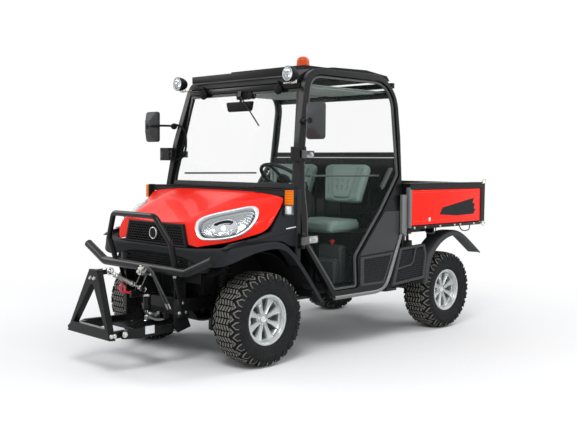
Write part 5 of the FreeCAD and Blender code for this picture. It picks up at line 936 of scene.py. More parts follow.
class VEHICLE_OT_headlamps(bpy.types.Operator):
    """Two headlamps: silver bezel, bright bowl, inner eye and a wedge of louvres, under a clear lens"""

    bl_idname = "vehicle.headlamps"
    bl_label = "Headlamps"

    def execute(self, context):
        loop, centre, out = lamp_axis()
        eye = [at(*place) - out * 0.02 for place in LAMP_EYE]
        heart = sum(eye, Vector()) / len(eye)
        bezel = banded("lamp_bezel", rings(
            loop, centre, out, (0.985, -0.012), (1.012, 0.002), (0.99, 0.007), (0.9, 0.006),
            (0.865, -0.004), (0.85, -0.02)))
        bowl = banded("lamp_bowl", rings(
            loop, centre, out, (0.875, -0.004), (0.84, -0.03), (0.76, -0.046), (0.6, -0.05),
            (0.2, -0.05)), capped=True)
        ring = banded("lamp_eye_ring", rings(
            eye, heart, out, (1.0, -0.028), (1.04, 0.004), (0.96, 0.01), (0.86, 0.004), (0.7, -0.012),
            (0.3, -0.02)), capped=True)
        lens = banded("lamp_lens", rings(
            loop, centre, out, (0.94, 0.005), (0.8, 0.012), (0.45, 0.018), (0.1, 0.02)), capped=True)
        for part in (bezel, bowl, ring, lens):
            applied(part, "SUBSURF", levels=2, render_levels=2)
        applied(lens, "SOLIDIFY", thickness=0.002, offset=-1)
        bulb = turned("lamp_bulb", [
            (-0.012, 0.0), (-0.012, 0.016), (0.004, 0.018), (0.012, 0.012),
            (0.016, 0.0)], heart - out * 0.006, out, 24)
        louvres = []
        for step in range(5):
            share = 0.16 + 0.17 * step
            low = at(0.64, -1.175, 0.935) * (1 - share) + at(0.64, -1.095, 1.03) * share
            louvre = block(
                "lamp_louvre", low - Vector((0.03, 0.018, 0.0035)), low + Vector((0.012, 0.018, 0.0035)))
            louvres.append(copied(louvre, "lamp_louvre_part", round_axis(
                math.radians(-35), (1, 0, 0), low)))
            bpy.data.objects.remove(louvre)
        louvres = bevelled(joined("lamp_louvres", *louvres), 0.001, 1)
        step_ring = banded("lamp_step", rings(
            loop, centre, out, (0.8, -0.02), (0.815, -0.012), (0.79, -0.012), (0.78, -0.034)))
        for part, look in (
                (bezel, "lamp_bezel"), (bowl, "lamp_shell"), (ring, "reflector"), (bulb, "bulb_glow"),
                (louvres, "lamp_bezel"), (step_ring, "trim_black"), (lens, "lamp_clear")):
            for side, word in SIDES:
                made = copied(part, part.name + "_" + word, Matrix.Diagonal((side, 1, 1, 1)))
                settled(made, "hood", look, angle=50, slot="lamp_clear" if part is lens else None)
                if part is bezel and side > 0:
                    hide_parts("headlamps")
            bpy.data.objects.remove(part)
        return {"FINISHED"}


def screen(label, corners, rows, columns, bar_width, thick):
    """A screen of rounded holes in rows, each row moved by half a hole, inside four corners."""
    low_left, low_right, high_left, high_right = (Vector(place) for place in corners)
    strips = []
    for row in range(rows):
        clear()
        bpy.ops.mesh.primitive_grid_add(x_subdivisions=columns, y_subdivisions=1)
        strip = named("screen_row")
        shift = 0.5 / columns if row % 2 else 0.0
        for corner in strip.data.vertices:
            u = (corner.co.x + 1) / 2
            if 0.001 < u < 0.999:
                u += shift
            v = (row + (corner.co.y + 1) / 2) / rows
            low = low_left.lerp(low_right, u)
            high = high_left.lerp(high_right, u)
            corner.co = low.lerp(high, v)
        strips.append(strip)
    net = joined(label, *strips)
    bpy.ops.object.mode_set(mode="EDIT")
    bpy.ops.mesh.select_all(action="SELECT")
    bpy.ops.mesh.inset(thickness=bar_width / 2, use_individual=True)
    bpy.ops.mesh.delete(type="FACE")
    bpy.ops.mesh.select_all(action="SELECT")
    bpy.ops.mesh.remove_doubles(threshold=0.0002)
    bpy.ops.object.mode_set(mode="OBJECT")
    return applied(net, "SOLIDIFY", thickness=thick, offset=0)


class VEHICLE_OT_grille(bpy.types.Operator):
    """The hood's grille with its frame, disc and rows of holes, and the lower grille with its tow hooks"""

    bl_idname = "vehicle.grille"
    bl_label = "Grille"

    def execute(self, context):
        low, high, front = 0.8, 0.94, -1.43
        net = screen("grille_screen", front_line(
            front + 0.004, (-0.335, low), (0.335, low), (-0.298, high),
            (0.298, high)), 8, 22, 0.0075, 0.005)
        settled(net, "hood", "trim_black", slot="frame_black")
        outer = front_line(front, (-0.344, 0.793), (0.344, 0.793), (0.304, 0.943), (-0.304, 0.943))
        middle = at(0, front, 0.868)
        inner = [Vector((p.x * 0.945, p.y, middle.z + (p.z - middle.z) * 0.84)) for p in outer]
        back = Vector((0, 0.022, 0))
        rim = banded("grille_frame", [
            [p + back for p in outer], outer, inner, [p + back for p in inner], [p + back for p in outer]])
        bevelled(rim, 0.004, 3)
        settled(rim, "hood", "body_charcoal", slot="frame_black")
        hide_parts("hood_grille")
        shade = plate("grille_shade", front_line(
            front + 0.0105, (-0.33, 0.8), (0.33, 0.8), (0.296, 0.938), (-0.296, 0.938)), (0, 0.002, 0))
        settled(shade, "hood", "dial_black_and_painted_shade")
        disc = turned("grille_disc", [
            (0.0, 0.0), (0.0, 0.041), (0.01, 0.042), (0.014, 0.04), (0.0155, 0.037), (0.0125, 0.0345),
            (0.011, 0.03), (0.0125, 0.0)], at(0, front, 0.868), (0, -1, 0), 48)
        settled(disc, "hood", "steel_plated")
        face = turned(
            "grille_disc_face", [(0.009, 0.0), (0.009, 0.0335), (0.0135, 0.0335), (0.015, 0.0)],
            at(0, front, 0.868), (0, -1, 0), 48)
        settled(face, "hood", "trim_black")
        lower = screen("lower_grille_screen", front_line(
            -1.423, (-0.352, 0.652), (0.352, 0.652), (-0.352, 0.729), (0.352, 0.729)), 5, 28, 0.0075, 0.006)
        settled(lower, "chassis", "trim_black")
        gap = plate("lower_grille_shade", front_line(
            -1.4, (-0.355, 0.65), (0.355, 0.65), (0.355, 0.731), (-0.355, 0.731)), (0, 0.003, 0))
        settled(gap, "chassis", "dial_black_and_painted_shade")
        hooks = []
        for side in (-1, 1):
            x = side * 0.3
            hooks.append(bar("tow_hook", side_line(
                x, (-1.424, 0.7), (-1.444, 0.704), (-1.452, 0.69), (-1.446, 0.674),
                (-1.424, 0.672)), 0.0055))
        settled(joined("tow_hooks", *hooks), "chassis", "steel_black")
        return {"FINISHED"}


# Seats


def soft_pad(label, outline, thick, crown, quick):
    """A stuffed pad at the origin, facing +Z: a rounded outline, swollen by cloth pressure up to a crown."""
    pad = plate(label, [(x, y, -thick / 2) for x, y in outline], (0, 0, thick))
    bevelled(pad, thick * 0.36, 4)
    applied(pad, "REMESH", mode="VOXEL", voxel_size=0.0075)
    before = [corner.co.copy() for corner in pad.data.vertices]
    if not quick:
        cloth = pad.modifiers.new("Cloth", "CLOTH")
        cloth.settings.use_pressure = True
        cloth.settings.uniform_pressure_force = 4
        cloth.settings.effector_weights.gravity = 0
        scene = bpy.context.scene
        for moment in range(1, 15):
            scene.frame_set(moment)
        selected(pad)
        bpy.ops.object.modifier_apply(modifier=cloth.name)
        scene.frame_set(1)
        for corner, old in zip(pad.data.vertices, before):
            move = corner.co - old
            if move.length > crown:
                corner.co = old + move * (crown / move.length)
    applied(pad, "SMOOTH", factor=0.5, iterations=3)
    applied(pad, "SUBSURF", levels=1, render_levels=1)
    return pad


def channel(pad, lines, width, depth, face=1):
    """Presses sewn channels into a pad's face, along lines of points in its own plane."""
    for corner in pad.data.vertices:
        if corner.co.z * face <= 0:
            continue
        flat = corner.co.to_2d()
        near = width
        for line in lines:
            for first, second in zip(line, line[1:]):
                a, b = Vector(first), Vector(second)
                share = max(0.0, min(1.0, (flat - a).dot(b - a) / (b - a).length_squared))
                near = min(near, (flat - a - (b - a) * share).length)
        if near < width:
            k = near / width
            corner.co.z -= face * depth * (1 - k * k) ** 2


class VEHICLE_OT_seats(bpy.types.Operator):
    """Seat pads and backrests in vinyl, with pressed ribs and pockets"""

    bl_idname = "vehicle.seats"
    bl_label = "Seats"

    def execute(self, context):
        crown = context.scene.vehicle_sizes.seat_crown
        for word, x, half in (("driver", 0.335, 0.24), ("passenger", -0.26, 0.28)):
            rim = half - 0.016
            outline = [
                (-rim, -0.165), (-rim + 0.03, -0.186), (0, -0.19), (rim - 0.03, -0.186), (rim, -0.165),
                (rim + 0.004, 0.0), (rim - 0.01, 0.16), (rim - 0.04, 0.184), (0, 0.186),
                (-rim + 0.04, 0.184), (-rim + 0.01, 0.16), (-rim - 0.004, 0.0)]
            pad = soft_pad("seat_pad_" + word, outline, 0.072, crown * 0.7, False)
            across = [
                [(-rim * 0.72, -0.13), (-rim * 0.55, 0.12), (rim * 0.55, 0.12), (rim * 0.72, -0.13)],
                [(-rim * 0.4, -0.12), (-rim * 0.32, 0.06), (rim * 0.32, 0.06), (rim * 0.4, -0.12)]]
            channel(pad, across, 0.012, 0.009)
            channel(pad, self.pockets(0.055, 0.04, -0.045), 0.01, 0.005)
            pad.data.transform(Matrix.Translation(at(x, -0.085, 0.883)))
            settled(pad, "chassis", "seat_vinyl", angle=60, slot="seat_vinyl")
            if word == "driver":
                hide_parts("seat_cushions")
            foot = rim - 0.045
            outline = [
                (-foot, -0.15), (-foot + 0.04, -0.158), (0, -0.16), (foot - 0.04, -0.158), (foot, -0.15),
                (foot + 0.025, -0.02), (rim, 0.11), (rim - 0.012, 0.142), (rim - 0.05, 0.156), (0, 0.158),
                (-rim + 0.05, 0.156), (-rim + 0.012, 0.142), (-rim, 0.11), (-foot - 0.025, -0.02)]
            rest = soft_pad("seat_back_" + word, outline, 0.062, crown * 0.6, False)
            ribs = [
                [
                    (-rim * 0.62, 0.115), (-rim * 0.38, -0.11), (-rim * 0.26, -0.124), (rim * 0.26, -0.124),
                    (rim * 0.38, -0.11), (rim * 0.62, 0.115)], [(-rim * 0.78, 0.1), (-rim * 0.58, -0.085)],
                [(rim * 0.78, 0.1), (rim * 0.58, -0.085)]]
            channel(rest, ribs, 0.014, 0.014)
            channel(rest, self.pockets(0.05, 0.048, -0.055), 0.014, 0.014)
            lean = math.radians(12)
            stand = Matrix.Translation(at(x, 0.147, 1.195)) @ Matrix.Rotation(-lean, 4, "X")
            rest.data.transform(stand @ Matrix.Rotation(math.radians(90), 4, "X"))
            settled(rest, "chassis", "seat_vinyl", angle=60, slot="seat_vinyl")
            if word == "driver":
                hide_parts("seat_backs")
        return {"FINISHED"}

    def pockets(self, across, up, start):
        """Short pressed pockets, two rows of three."""
        return [[(column * across, start + row * up), (
            column * across * 1.12, start + row * up + 0.02)] for column in (-1, 0, 1) for row in (0, 1)]


# Rims


def dressed(piece, label):
    """Gives a part its finish before it is joined to others."""
    piece.data.materials.clear()
    piece.data.materials.append(MATERIALS[label])
    return piece


def sunk(piece, direction, thickness, shift):
    """Insets the faces that look along a direction, and moves them by a vector."""
    faced(piece, direction)
    bpy.ops.mesh.inset(thickness=thickness)
    bpy.ops.transform.translate(value=shift)
    bpy.ops.object.mode_set(mode="OBJECT")
    return piece


def bolts(label, spots, radius, finish_label="steel_plated"):
    """Hexagon heads on washers, at spots of (place, outward direction)."""
    parts = []
    for place, out in spots:
        place, out = Vector(place), Vector(out).normalized()
        parts.append(rod(label + "_washer", place - out * 0.001, place + out * 0.0018, radius * 1.5, 16))
        parts.append(rod(
            label + "_head", place + out * 0.0015, place + out * (0.0015 + radius * 0.9), radius, 6))
    return dressed(bevelled(joined(label, *parts), radius * 0.1, 1), finish_label)


class VEHICLE_OT_rims(bpy.types.Operator):
    """Four rims: a stepped ring, eight spokes with raised edges, nuts, centre cap and the drum behind"""

    bl_idname = "vehicle.rims"
    bl_label = "Rims"

    def execute(self, context):
        ring = turned("rim_ring", [
            (0.099, 0.156), (0.101, 0.159), (0.101, 0.168), (0.0985, 0.1705), (0.092, 0.1705),
            (0.09, 0.159), (-0.09, 0.159), (-0.092, 0.1705), (-0.0985, 0.1705), (-0.101, 0.168),
            (-0.098, 0.153), (-0.086, 0.15), (-0.07, 0.14), (0.042, 0.1365), (0.056, 0.1375),
            (0.064, 0.144), (0.086, 0.146), (0.09, 0.149), (0.09, 0.153)], (0, 0, 0), (1, 0, 0), 96)
        outline = [
            (0.012, 0.036), (0.0145, 0.085), (0.0275, 0.144), (-0.0275, 0.144), (-0.0145, 0.085),
            (-0.012, 0.036)]
        spoke = plate("rim_spoke", [(0.046, y, z) for y, z in outline], (0.026, 0, 0))
        sunk(spoke, (1, 0, 0), 0.0062, (-0.013, 0, 0))
        for corner in spoke.data.vertices:
            corner.co.x -= 0.016 * (1 - min(1, math.hypot(corner.co.y, corner.co.z) / 0.14))
        bevelled(spoke, 0.0014, 2)
        parts = [dressed(ring, "rim_silver")]
        for turn in range(8):
            parts.append(dressed(copied(spoke, "rim_spoke_part", Matrix.Rotation(
                math.tau * turn / 8, 4, "X")), "rim_silver"))
        pads = block("rim_pad", (0.086, -0.01, 0.1485), (0.0985, 0.01, 0.157))
        for turn in range(8):
            pad = copied(pads, "rim_pad_part", Matrix.Rotation(math.tau * (turn + 0.5) / 8, 4, "X"))
            parts.append(dressed(bevelled(pad, 0.002, 1), "rim_silver"))
        bpy.data.objects.remove(spoke)
        bpy.data.objects.remove(pads)
        parts.append(dressed(turned("rim_boss", [
            (-0.055, 0.0), (-0.055, 0.058), (0.03, 0.058), (0.044, 0.053), (0.049, 0.046), (0.047, 0.028),
            (0.047, 0.0)], (0, 0, 0), (1, 0, 0), 48), "rim_silver"))
        parts.append(dressed(turned("rim_cap", [
            (0.046, 0.0), (0.046, 0.0235), (0.057, 0.0225), (0.0585, 0.02), (0.0565, 0.0185),
            (0.0575, 0.0)], (0, 0, 0), (1, 0, 0), 48), "lamp_bezel"))
        spots = []
        for turn in range(4):
            angle = math.tau * (turn + 0.5) / 4
            spots.append(((0.0475, 0.036 * math.sin(angle), 0.036 * math.cos(angle)), (1, 0, 0)))
        parts.append(bolts("rim_nuts", spots, 0.0068, "reflector"))
        parts.append(dressed(turned("brake_drum", [
            (-0.04, 0.0), (-0.04, 0.11), (0.0, 0.118), (0.006, 0.112),
            (0.006, 0.0)], (0, 0, 0), (1, 0, 0), 48), "machine_grey"))
        # A small white patch on one spoke.
        mark = block("rim_white_patch", (0.06, -0.008, 0.096), (0.064, 0.008, 0.112))
        parts.append(dressed(bevelled(mark, 0.001, 1), "marker_white"))
        parts.append(dressed(rod(
            "rim_valve", (0.05, 0.03, 0.132), (0.074, 0.03, 0.132), 0.0035, 12), "hose_rubber"))
        on_wheels(joined("rim", *parts), "spoked_rim_", "rim_", math.radians(22), angle=32)
        return {"FINISHED"}


# Body mouldings

# Each station of a lip is its top edge, its lower edge and its way inboard
FRONT_LIP = (
    ((0.0, -1.437, 0.79), (0.0, -1.434, 0.738), (0, 0.05, -0.002)),
    ((0.3, -1.437, 0.789), (0.3, -1.434, 0.736), (0, 0.05, -0.002)),
    ((0.44, -1.433, 0.792), (0.44, -1.434, 0.69), (-0.01, 0.06, -0.002)),
    ((0.56, -1.419, 0.8), (0.56, -1.424, 0.676), (-0.03, 0.07, -0.004)),
    ((0.67, -1.385, 0.808), (0.675, -1.397, 0.69), (-0.07, 0.06, -0.004)),
    ((0.73, -1.325, 0.818), (0.742, -1.345, 0.722), (-0.12, 0.03, -0.004)),
    ((0.746, -1.21, 0.83), (0.752, -1.225, 0.765), (-0.14, 0.0, -0.004)),
    ((0.748, -1.055, 0.842), (0.752, -1.065, 0.79), (-0.14, 0.0, -0.004)),
    ((0.748, -0.935, 0.836), (0.752, -0.95, 0.788), (-0.14, 0.0, -0.006)),
    ((0.746, -0.835, 0.775), (0.752, -0.866, 0.748), (-0.135, 0.0, -0.012)),
    ((0.744, -0.7, 0.615), (0.752, -0.738, 0.604), (-0.13, 0.0, -0.012)),
    ((0.742, -0.56, 0.44), (0.75, -0.6, 0.432), (-0.12, 0.0, -0.012)),
    ((0.738, -0.515, 0.385), (0.744, -0.552, 0.378), (-0.11, 0.0, -0.012)))
REAR_LIP = (
    ((0.744, 0.64, 0.405), (0.75, 0.69, 0.405), (-0.13, 0.0, 0.0)),
    ((0.746, 0.652, 0.56), (0.752, 0.7, 0.545), (-0.135, 0.0, 0.0)),
    ((0.748, 0.71, 0.672), (0.752, 0.752, 0.64), (-0.14, 0.0, -0.004)),
    ((0.748, 0.835, 0.775), (0.752, 0.86, 0.728), (-0.14, 0.0, -0.004)),
    ((0.748, 1.0, 0.824), (0.752, 1.005, 0.775), (-0.14, 0.0, -0.004)),
    ((0.748, 1.135, 0.806), (0.752, 1.13, 0.765), (-0.14, 0.0, -0.004)),
    ((0.744, 1.29, 0.712), (0.748, 1.275, 0.69), (-0.14, 0.0, -0.004)),
    ((0.738, 1.45, 0.606), (0.742, 1.442, 0.594), (-0.13, 0.0, -0.004)))


def lip_sections(stations):
    """Closed cross sections of an arch moulding: flat top, rounded shoulder, face, lower edge and return."""
    loops = []
    for top, low, inboard in stations:
        top, low, inboard = at(*top), at(*low), Vector(inboard)
        down = low - top
        flat = Vector((down.x * 0.2, down.y, down.z))
        thin = flat.normalized() * 0.007
        loops.append([
            top + inboard, top + inboard * 0.16 - flat * 0.03, top + down * 0.1, top + down * 0.36,
            top + down * 0.62 + inboard.normalized() * 0.004, low, low + inboard.normalized() * 0.012,
            top + down * 0.45 + inboard.normalized() * 0.016, top + inboard * 0.22 + thin,
            top + inboard + thin])
    return loops


class VEHICLE_OT_mouldings(bpy.types.Operator):
    """The moulding that runs from arch to arch round the front, fender panels, dark liners, dark boards that
    paint the shade under the hood, and rear arches
    """

    bl_idname = "vehicle.mouldings"
    bl_label = "Mouldings"

    def execute(self, context):
        far = [tuple(Vector((-x, y, z)) for x, y, z in station) for station in reversed(FRONT_LIP[1:])]
        front = banded("front_lip", lip_sections([*far, *FRONT_LIP]))
        applied(front, "SUBSURF", levels=2, render_levels=2)
        settled(front, "chassis", "body_charcoal", angle=45, slot="body_charcoal")
        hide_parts("front_flares")
        rear = banded("rear_arch", lip_sections(REAR_LIP))
        applied(rear, "SUBSURF", levels=2, render_levels=2)
        rear = both_sides(rear)
        settled(rear, "chassis", "painted_light_charcoal", angle=45, slot="body_charcoal")
        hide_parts("rear_flares")
        self.fenders()
        self.liners()
        self.cowl()
        return {"FINISHED"}

    def fenders(self):
        panels = []
        outline = [
            (-1.395, 0.805), (-1.34, 0.834), (-1.133, 0.874), (-1.027, 0.903), (-0.962, 1.0),
            (-0.896, 1.111), (-0.868, 1.134), (-0.806, 1.134), (-0.806, 0.79), (-0.86, 0.8), (-0.93, 0.832),
            (-1.055, 0.838), (-1.21, 0.826), (-1.33, 0.812)]
        low = plate("fender_panel", side_line(0.7, *outline), (0.034, 0, 0))
        for corner in low.data.vertices:
            if corner.co.x > 0.72:
                corner.co.x -= max(0.0, -1.18 - (corner.co.y - MIDDLE_Y)) * 0.42
            if corner.co.z > 1.0:
                corner.co.x += 0.004
        panels.append(bevelled(low, 0.006, 3))
        bead = bar("fender_bead", side_line(
            0.737, (-1.25, 0.851), (-1.06, 0.872), (-0.88, 0.9), (-0.806, 0.915)), 0.0035)
        panels.append(bead)
        pillar_foot = block("pillar_foot", at(0.722, -0.808, 0.7), at(0.748, -0.77, 1.172))
        panels.append(bevelled(pillar_foot, 0.006, 2))
        settled(both_sides(joined("fender_panels", *panels)), "chassis", "body_charcoal", angle=35)
        strips = block("fender_strip", at(0.7395, -0.905, 0.916), at(0.742, -0.812, 0.924))
        strips.data.transform(round_axis(math.radians(6), (1, 0, 0), at(0.741, -0.86, 0.92)))
        settled(both_sides(bevelled(strips, 0.0012, 1)), "chassis", "lamp_bezel")

    def liners(self):
        # The boards behind the fascia, under the hood's top and beside the frame rails are dark sheets that
        # paint the shade of the space under the hood.
        parts = [
            block("liner_back", at(-0.318, -1.262, 0.47), at(0.318, -1.256, 0.78)),
            block("liner_back_top", at(-0.47, -1.262, 0.65), at(0.47, -1.256, 0.78)),
            block("radiator", at(-0.27, -1.254, 0.4), at(0.27, -1.18, 0.77)),
            block("shade_board_roof", at(-0.6, -1.4, 0.776), at(0.6, -0.62, 0.782)),
            block("shade_board_front", at(-0.455, -1.392, 0.56), at(0.455, -1.388, 0.65)),
            block("toe_shield", at(-0.69, -0.6, 0.42), at(0.69, -0.594, 0.78))]
        for side in (-1, 1):
            parts.append(block(
                "shade_board_side", at(side * 0.3 - 0.003, -1.256, 0.46), at(side * 0.3 + 0.003, -0.6, 0.776)))
            arch = side_line(
                side * 0.595, (-1.36, 0.6), (-1.3, 0.73), (-1.15, 0.76), (-0.93, 0.76), (-0.79, 0.7),
                (-0.62, 0.48))
            inner = [place - Vector((side * 0.27, 0, -0.01)) for place in arch]
            liner = banded("arch_liner", [arch, inner], closed=False)
            applied(liner, "SUBSURF", levels=2, render_levels=2)
            parts.append(applied(liner, "SOLIDIFY", thickness=0.005, offset=0))
        skid = plate("skid_plate", side_line(
            -0.27, (-1.39, 0.44), (-1.26, 0.285), (-0.8, 0.285), (-0.8, 0.291), (-1.257, 0.291),
            (-1.385, 0.444)), (0.54, 0, 0))
        parts.append(skid)
        for row in range(9):
            z = 0.43 + row * 0.038
            parts.append(block("radiator_fin", at(-0.262, -1.26, z), at(0.262, -1.2555, z + 0.014)))
        settled(bevelled(joined("underhood_liners_and_shade_boards", *parts), 0.0015, 1), "chassis", "trim_black", angle=40)

    def cowl(self):
        parts = []
        for side in (-1, 1):
            base = at(side * 0.33, -0.87, 1.1725)
            parts.append(slab(
                "washer_jet", base - Vector((0.013, 0.009, 0)), base + Vector((0.013, 0.009, 0.01)), 0.003,
                2))
            parts.append(rod(
                "washer_nozzle", base + Vector((0, 0.004, 0.01)), base + Vector((0, 0.012, 0.014)), 0.003,
                12))
        for column in range(-9, 10):
            x = column * 0.03
            parts.append(slab(
                "cowl_vent", at(x - 0.01, -0.85, 1.1715), at(x + 0.01, -0.812, 1.1755), 0.002, 1))
        edge = bar("cowl_edge", [
            at(-0.735, -0.9, 1.168), at(-0.5, -0.903, 1.174), at(0, -0.905, 1.176), at(0.5, -0.903, 1.174),
            at(0.735, -0.9, 1.168)], 0.006)
        parts.append(edge)
        settled(joined("cowl_fittings", *parts), "chassis", "trim_black")


class VEHICLE_OT_sides(bpy.types.Operator):
    """Lower side panels with their screens, the bent sill tube, guard plate and marker strip"""

    bl_idname = "vehicle.sides"
    bl_label = "Sides"

    def execute(self, context):
        self.front_screen()
        self.rear_screen()
        tube = bar("sill_tube", [
            at(0.742, -0.42, 0.404), at(0.742, -0.06, 0.404), at(0.742, 0.07, 0.404), at(0.742, 0.15, 0.44),
            at(0.742, 0.188, 0.5), at(0.742, 0.245, 0.63), at(0.744, 0.322, 0.815),
            at(0.746, 0.345, 0.87)], 0.016, sides=8)
        settled(both_sides(tube), "chassis", "steel_grey")
        plates = block("guard_plate", at(0.756, 0.292, 0.8), at(0.784, 0.349, 1.118))
        for corner in plates.data.vertices:
            if corner.co.z < 0.9 and corner.co.y - MIDDLE_Y < 0.32:
                corner.co.z += 0.03
        bevelled(plates, 0.004, 2)
        brace = block("guard_brace", at(0.7, 0.3, 0.86), at(0.758, 0.34, 0.875))
        settled(both_sides(joined("guard_plates", plates, brace)), "chassis", "steel_grey")
        strip = slab("side_marker", at(0.7, 0.335, 1.12), at(0.708, 0.3425, 1.22), 0.001, 1)
        settled(both_sides(strip), "chassis", "marker_yellow")
        return {"FINISHED"}

    def framed(self, label, outline, share, depth, back):
        """A frame of a given outline with a deep opening, from two loops."""
        middle = sum(outline, Vector()) / len(outline)
        inner = [middle + (place - middle) * share for place in outline]
        inward = Vector((-depth, 0, 0))
        rim = banded(label, [
            [p + inward for p in outline], outline, inner, [p + inward * back for p in inner]])
        return bevelled(rim, 0.003, 2), inner

    def front_screen(self):
        outline = side_line(
            0.7605, (-0.158, 0.672), (0.216, 0.686), (0.196, 0.636), (0.16, 0.56), (0.13, 0.5),
            (0.108, 0.462), (-0.156, 0.462))
        rim, inner = self.framed("side_frame_front", outline, 0.84, 0.008, 0.7)
        net = screen("side_net_front", side_line(
            0.7555, (-0.136, 0.48), (0.1, 0.48), (-0.138, 0.66), (0.19, 0.668)), 12, 18, 0.0065, 0.003)
        upper = plate("side_board_front", side_line(
            0.7522, (-0.16, 0.684), (0.225, 0.702), (0.262, 0.76), (0.284, 0.83), (0.286, 0.995),
            (0.112, 0.995), (0.025, 0.9), (-0.067, 0.8), (-0.117, 0.74), (-0.152, 0.704)), (0.0055, 0, 0))
        # A near-black board behind the front screen paints the shade inside the panel.
        board = plate("side_shade_board_front", [place - Vector((0.0083, 0, 0)) for place in inner], (0.001, 0, 0))
        settled(both_sides(rim), "chassis", "painted_light_charcoal")
        settled(both_sides(net), "chassis", "body_charcoal")
        settled(both_sides(bevelled(upper, 0.002, 2)), "chassis", "painted_light_charcoal")
        settled(both_sides(board), "chassis", "dial_black_and_painted_shade")

    def rear_screen(self):
        outline = side_line(
            0.744, (0.322, 0.708), (0.64, 0.722), (0.668, 0.64), (0.64, 0.45), (0.235, 0.425))
        rim = self.framed("side_frame_rear", outline, 0.86, 0.034, 0.5)[0]
        net = screen("side_net_rear", side_line(
            0.73, (0.262, 0.452), (0.64, 0.462), (0.33, 0.69), (0.64, 0.702)), 14, 22, 0.0065, 0.004)
        rib = bar("side_rib_rear", side_line(
            0.737, (0.53, 0.706), (0.5, 0.6), (0.47, 0.57), (0.3, 0.55)), 0.008, straight=True)
        # A near-black board behind the rear screen paints the shade inside the panel.
        board = plate("side_shade_board_rear", side_line(
            0.712, (0.33, 0.7), (0.64, 0.715), (0.64, 0.455), (0.25, 0.435)), (0.004, 0, 0))
        piece = both_sides(joined("side_frames_rear", rim, rib))
        settled(piece, "chassis", "painted_light_charcoal", slot="body_charcoal")
        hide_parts("side_panels")
        settled(both_sides(net), "chassis", "body_charcoal")
        settled(both_sides(board), "chassis", "dial_black_and_painted_shade")


# Front linkage

HOSE_ROUTES = (
    (
        (0.078, -1.582, 0.642), (0.124, -1.59, 0.666), (0.188, -1.585, 0.646), (0.226, -1.56, 0.556),
        (0.234, -1.515, 0.465), (0.23, -1.47, 0.395)),
    (
        (0.078, -1.564, 0.622), (0.114, -1.57, 0.644), (0.164, -1.566, 0.622), (0.196, -1.546, 0.536),
        (0.204, -1.508, 0.45), (0.202, -1.472, 0.39)))
LINK_REAR, LINK_FRONT = (0, -1.539, 0.501), (0, -1.812, 0.642)
LIFT_ALONG, LIFT_EYE = -1.49, 0.598
BEACON_FOOT = (0, 0, 2.0593)


def route_length(points, steps=400):
    """Length of the open curve of third order through a clamped control polygon."""
    spans = len(points) - 2
    knots = [0, 0] + list(range(spans + 1)) + [spans, spans]
    last, total = Vector(points[0]), 0.0
    for step in range(1, steps + 1):
        t = spans * step / steps
        span = min(int(t), spans - 1) + 2
        local = [Vector(points[index]) for index in range(span - 2, span + 1)]
        for level in (1, 2):
            for index in range(2, level - 1, -1):
                low = span - 2 + index
                share = (t - knots[low]) / (knots[low + 3 - level] - knots[low])
                local[index] = local[index - 1].lerp(local[index], share)
        total += (local[2] - last).length
        last = local[2]
    return total


class VEHICLE_OT_hoses(bpy.types.Operator):
    """The two lift hoses, from the top of the lift cylinder over and down beside the mount"""

    bl_idname = "vehicle.hoses"
    bl_label = "Hoses"

    def execute(self, context):
        thick = context.scene.vehicle_sizes.hose_thickness
        for number, route in enumerate(HOSE_ROUTES, start=1):
            points = [at(*place) for place in route]
            hose = wire(f"lift_hose_{number}", points, thick / 2, 5, 16)
            hose.data.materials.append(MATERIALS["hose_rubber"])
            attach(hose, "chassis")
            route_length(points)
            ends = []
            for near, far in ((points[0], points[1]), (points[-1], points[-2])):
                along = (far - near).normalized()
                ends.append(rod(
                    "hose_ferrule", near - along * 0.004, near + along * 0.03, thick * 0.66, 20))
                ends.append(rod("hose_nut", near - along * 0.016, near - along * 0.003, thick * 0.8, 6))
            start = points[0] - (points[1] - points[0]).normalized() * 0.014
            ends.append(bar("hose_port", [start, at(0.056, -1.575, 0.622)], 0.008, straight=True))
            settled(joined(f"lift_hose_fittings_{number}", *ends), "chassis", "steel_plated")
        return {"FINISHED"}


